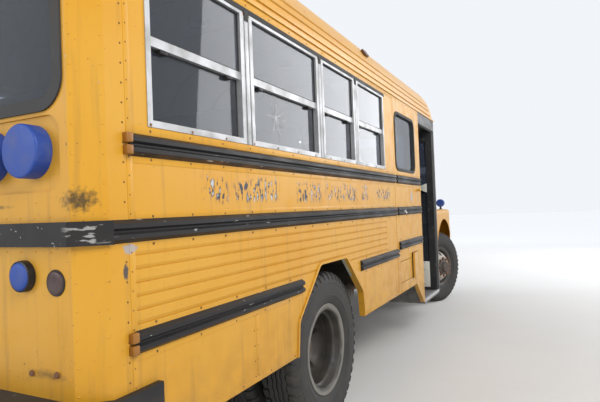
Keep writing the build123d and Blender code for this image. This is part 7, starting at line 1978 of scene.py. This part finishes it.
@dataclass
class Cabin(Assembly):
    """Cushions, driver's place and other fittings inside."""

    rows: tuple[float, ...] = (3.15, 2.43, 1.71, 0.99, 0.27)
    inner: float = 0.205
    outer: float = 1.165
    cushion: tuple[float, float] = (1.306, 0.114)
    deep: float = 0.40
    back_low: float = 1.426
    back_tall: float = 0.54
    back_thick: float = 0.09
    frames: int = 16
    swell: float = 0.016

    DIALS = ((0.55, 1.545, 0.048), (0.68, 1.545, 0.048), (0.46, 1.55, 0.024), (0.77, 1.55, 0.024),
             (0.40, 1.55, 0.024))
    KNOB = ((-0.02, 0.0003), (-0.018, 0.012), (0.0, 0.022), (0.018, 0.012), (0.02, 0.0003))
    DOME = ((0.0, 0.0003), (0.0, 0.085), (0.012, 0.085), (0.030, 0.070), (0.042, 0.040), (0.045, 0.0003))
    BOTTLE = ((0.0, 0.0003), (0.0, 0.052), (0.006, 0.056), (0.30, 0.056), (0.335, 0.040), (0.35, 0.018),
              (0.385, 0.018), (0.40, 0.010), (0.40, 0.0003))

    def pad(self, size: Point, voxel: float) -> bpy.types.Object:
        """Stuffed pad centred on the origin, swollen by a cloth simulation.

        Args:
            size: full size along each axis.
            voxel: spacing of the mesh that is simulated.

        Returns:
            The pad as a plain mesh.
        """
        half = [s / 2 - 0.010 for s in size]
        pad = boxes("pad", [((-half[0], -half[1], -half[2]), (half[0], half[1], half[2]))],
                    self.palette.vinyl)
        bevel = pad.modifiers.new("edge", "BEVEL")
        bevel.width = min(half) * 0.55
        bevel.segments = 4
        mesh = pad.modifiers.new("grid", "REMESH")
        mesh.mode = "VOXEL"
        mesh.voxel_size = voxel
        bake_down(pad)
        rest = [v.co.copy() for v in pad.data.vertices]
        cloth = pad.modifiers.new("cloth", "CLOTH")
        cloth.settings.use_pressure = True
        cloth.settings.uniform_pressure_force = 4.0
        cloth.settings.effector_weights.gravity = 0.0
        scene = bpy.context.scene
        for frame in range(1, self.frames + 1):
            scene.frame_set(frame)
        bake_down(pad)
        scene.frame_set(1)
        limits = [s / 2 - 0.001 for s in size]
        for vertex, start in zip(pad.data.vertices, rest):
            move = vertex.co - start
            if move.length > self.swell:
                move = move * (self.swell / move.length)
            place = start + move
            vertex.co = Vector(max(-limit, min(limit, c)) for c, limit in zip(place, limits))
        round_edges(pad.data, 80.0)
        return pad

    def copies(self, name: str, source: bpy.types.Object, places: Iterable[Point]) -> bpy.types.Object:
        """One piece with a copy of a pad at each place."""
        parts = [stamped(source, Matrix.Translation(place)) for place in places]
        bpy.data.objects.remove(source)
        return merge(name, parts)

    def benches(self) -> None:
        """Cushions and backs of every bench."""
        wide = self.outer - self.inner
        middle = (self.inner + self.outer) / 2
        low, tall = self.cushion
        cushion = self.pad((wide, self.deep, tall), 0.020)
        spots = [(side * middle, y, low + tall / 2) for side in SIDES for y in self.rows]
        cushions = self.copies("bench_cushions", cushion, spots)
        back = self.pad((wide, self.back_thick, self.back_tall), 0.020)
        behind, high = self.deep / 2 + self.back_thick / 2, self.back_low + self.back_tall / 2
        spots = [(side * middle, y + behind, high) for side in SIDES for y in self.rows]
        backs = self.copies("bench_backs", back, spots)
        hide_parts("seat_pads")
        for piece, fill in ((cushions, 0.8), (backs, 0.7)):
            finished(piece)

    def driver(self) -> None:
        """Driver's cushion and back."""
        cushion = self.pad((0.46, 0.37, 0.11), 0.012)
        cushion.data.transform(Matrix.Translation((0.64, -0.935, 1.3353)))
        back = self.pad((0.46, 0.09, 0.62), 0.012)
        back.data.transform(Matrix.Translation((0.64, -0.703, 1.5903)))
        cushion.name, back.name = "driver_cushion", "driver_back"
        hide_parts("driver_seat_pads")
        for piece in (cushion, back):
            finished(piece)

    def fittings(self) -> None:
        """Pedals, levers, dials, mirror, ceiling lamps and the extinguisher."""
        pal, shop = self.palette, self.shop
        pads = [((x - 0.035, -1.60, 1.075), (x + 0.035, -1.585, 1.135)) for x in (0.50, 0.66)]
        pads += [((0.775, -1.60, 1.03), (0.825, -1.585, 1.15)),
                 ((0.76, -1.515, 1.50), (0.96, -1.50, 1.565))]
        finished(boxes("pedals_and_switch_panel", pads, pal.plastic, 0.003))
        levers = [[(x, -1.60, 1.10), (x, -1.66, 1.17), (x, -1.70, 1.26)] for x in (0.50, 0.66, 0.80)]
        levers += [[(0.22, -1.30, 0.99), (0.26, -1.24, 1.30), (0.30, -1.20, 1.52)],
                   [(-0.05, -1.50, 0.99), (-0.05, -1.42, 1.35), (-0.02, -1.40, 1.45)]]
        finished(shop.trim("levers", levers, 0.014, 0.014, pal.black))
        dials = []
        for x, z, radius in self.DIALS:
            bezel = ((0.0, radius), (0.008, radius), (0.010, radius - 0.004), (0.003, radius - 0.005),
                     (0.003, 0.0003), (0.0, 0.0003))
            dials.append(lathe("bezel", bezel, pal.black, put((x, -1.5205, z), 90), 40))
        for place in ((0.30, -1.20, 1.53), (-0.02, -1.40, 1.46)):
            dials.append(lathe("knob", self.KNOB, pal.plastic, put(place, -90, "Y"), 24))
        finished(merge("dials_and_knobs", dials))
        mirror = boxes("inside_mirror", [((0.30, -1.50, 2.30), (0.74, -1.478, 2.42))], pal.chrome, 0.006)
        stem = shop.trim("stem", [[(0.52, -1.50, 2.41), (0.52, -1.56, 2.52)]], 0.012, 0.012, pal.black)
        finished(merge("inside_mirror_on_stem", [mirror, stem]))
        lamps = [lathe("dome", self.DOME, pal.clear, put((0.0, y, 2.985), 90, "Y"), 40)
                 for y in (2.9, 1.45, 0.0, -1.1)]
        finished(merge("ceiling_lamps", lamps))
        bottle = lathe("extinguisher", self.BOTTLE, pal.signal, put((0.28, -1.62, 0.992), -90, "Y"), 32)
        finished(bottle)

    def wheel(self) -> None:
        """Round steering wheel rim and spokes in place of the faceted one."""
        finished(copy_of_node("steering_wheel", "steering_wheel_rim", self.palette.plastic, 50.0),
                 "steering_wheel")

    def build(self) -> None:
        """Make the cabin's pieces."""
        self.benches()
        self.driver()
        self.fittings()
        self.wheel()


# Studio


@dataclass
class Studio:
    """Floor, soft lamps and the camera at the photograph's angle."""

    place: Point = (-2.52, 4.71, 1.43)
    right: Point = (-0.89098, -0.45248, -0.03751)
    up: Point = (-0.04089, -0.00232, 0.99916)
    lens: float = 30.0
    sensor: float = 36.0
    floor_tone: float = 0.70

    def camera(self) -> None:
        """Camera with the photograph's place, turn and lens."""
        data = bpy.data.cameras.new("view")
        data.lens = self.lens
        data.sensor_width = self.sensor
        data.clip_start = 0.05
        eye = linked("view", data)
        x = Vector(self.right).normalized()
        y = Vector(self.up)
        y = (y - x * x.dot(y)).normalized()
        z = x.cross(y)
        turn = Matrix((x, y, z)).transposed().to_4x4()
        eye.matrix_world = Matrix.Translation(self.place) @ turn
        bpy.context.scene.camera = eye

    def ground(self) -> None:
        """Pale floor that keeps the bus's shadow and shows white to the camera far away."""
        s = Shade("studio_floor")
        s.colour(s.blend(s.ramp(s.noise(0.8, 4.0), 0.35, 0.7, 0.0, 0.5), (self.floor_tone,) * 3,
                         (0.65, 0.645, 0.635)))
        s.rough(s.ramp(s.noise(3.0, 3.0), 0.3, 0.7, 0.75, 0.9))
        far = s.ramp(s.reach((0.0, 0.0, 0.0)), 2.5, 15.0, 0.0, 0.62)
        s.join(far, s.surface.inputs["Emission Strength"])
        s.fix(Emission_Color=(0.93, 0.96, 1.0, 1.0))
        floor = mesh_piece("floor", [(-60, -60, 0), (60, -60, 0), (60, 60, 0), (-60, 60, 0)],
                           [(0, 1, 2, 3)], s.material)

    def lamp(self, name: str, power: float, size: float, place: Point, aim: Point,
             tint: Colour = (1, 1, 1)) -> None:
        """Square soft lamp."""
        data = bpy.data.lights.new(name, "AREA")
        data.energy = power
        data.size = size
        data.color = tint
        lamp = linked(name, data)
        way = Vector(aim) - Vector(place)
        lamp.matrix_world = Matrix.Translation(place) @ way.to_track_quat("-Z", "Y").to_matrix().to_4x4()

    def sky(self) -> None:
        """Soft even light, with a white backdrop for the camera, metal and glass."""
        world = bpy.data.worlds.new("studio")
        world.use_nodes = True
        bpy.context.scene.world = world
        tree = world.node_tree
        path = tree.nodes.new("ShaderNodeLightPath")
        seen = path.outputs["Is Camera Ray"]
        for ray in ("Is Transmission Ray", "Is Glossy Ray"):
            either = tree.nodes.new("ShaderNodeMath")
            either.operation = "MAXIMUM"
            tree.links.new(seen, either.inputs[0])
            tree.links.new(path.outputs[ray], either.inputs[1])
            seen = either.outputs[0]
        power = tree.nodes.new("ShaderNodeMapRange")
        tree.links.new(seen, power.inputs[0])
        power.inputs[3].default_value = 0.42
        power.inputs[4].default_value = 0.95
        back = tree.nodes["Background"]
        back.inputs["Color"].default_value = (0.93, 0.96, 1.0, 1.0)
        tree.links.new(power.outputs[0], back.inputs["Strength"])

    def build(self) -> None:
        """Set up the studio."""
        self.camera()
        self.ground()
        self.sky()
        self.lamp("key", 900.0, 5.0, (-8.5, 6.0, 7.5), (0.0, 0.8, 1.2), (1.0, 0.965, 0.91))
        self.lamp("rear_fill", 260.0, 4.0, (3.0, 10.0, 4.0), (0.0, 3.4, 1.4))
        self.lamp("front_fill", 380.0, 6.0, (-6.0, -8.0, 5.0), (0.0, -2.5, 1.0))
        self.lamp("driver_side", 380.0, 6.0, (9.0, -1.0, 6.0), (0.0, 0.0, 1.2))
        scene = bpy.context.scene
        scene.view_settings.view_transform = "Standard"


def main() -> None:
    logging.basicConfig(level=logging.INFO, format="%(name)s: %(message)s")
    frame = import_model()
    Studio().build()
    palette = Palette()
    shop = Workshop()
    palette.dress(frame["nodes"])
    for group in (WheelSet, LampSet, BodyTrim, EntryDoor, Nose, Underbody, RearGear, Cabin):
        group(palette, shop).build()
        LOG.info("%s is built", group.__name__)


if __name__ == "__main__":
    main()
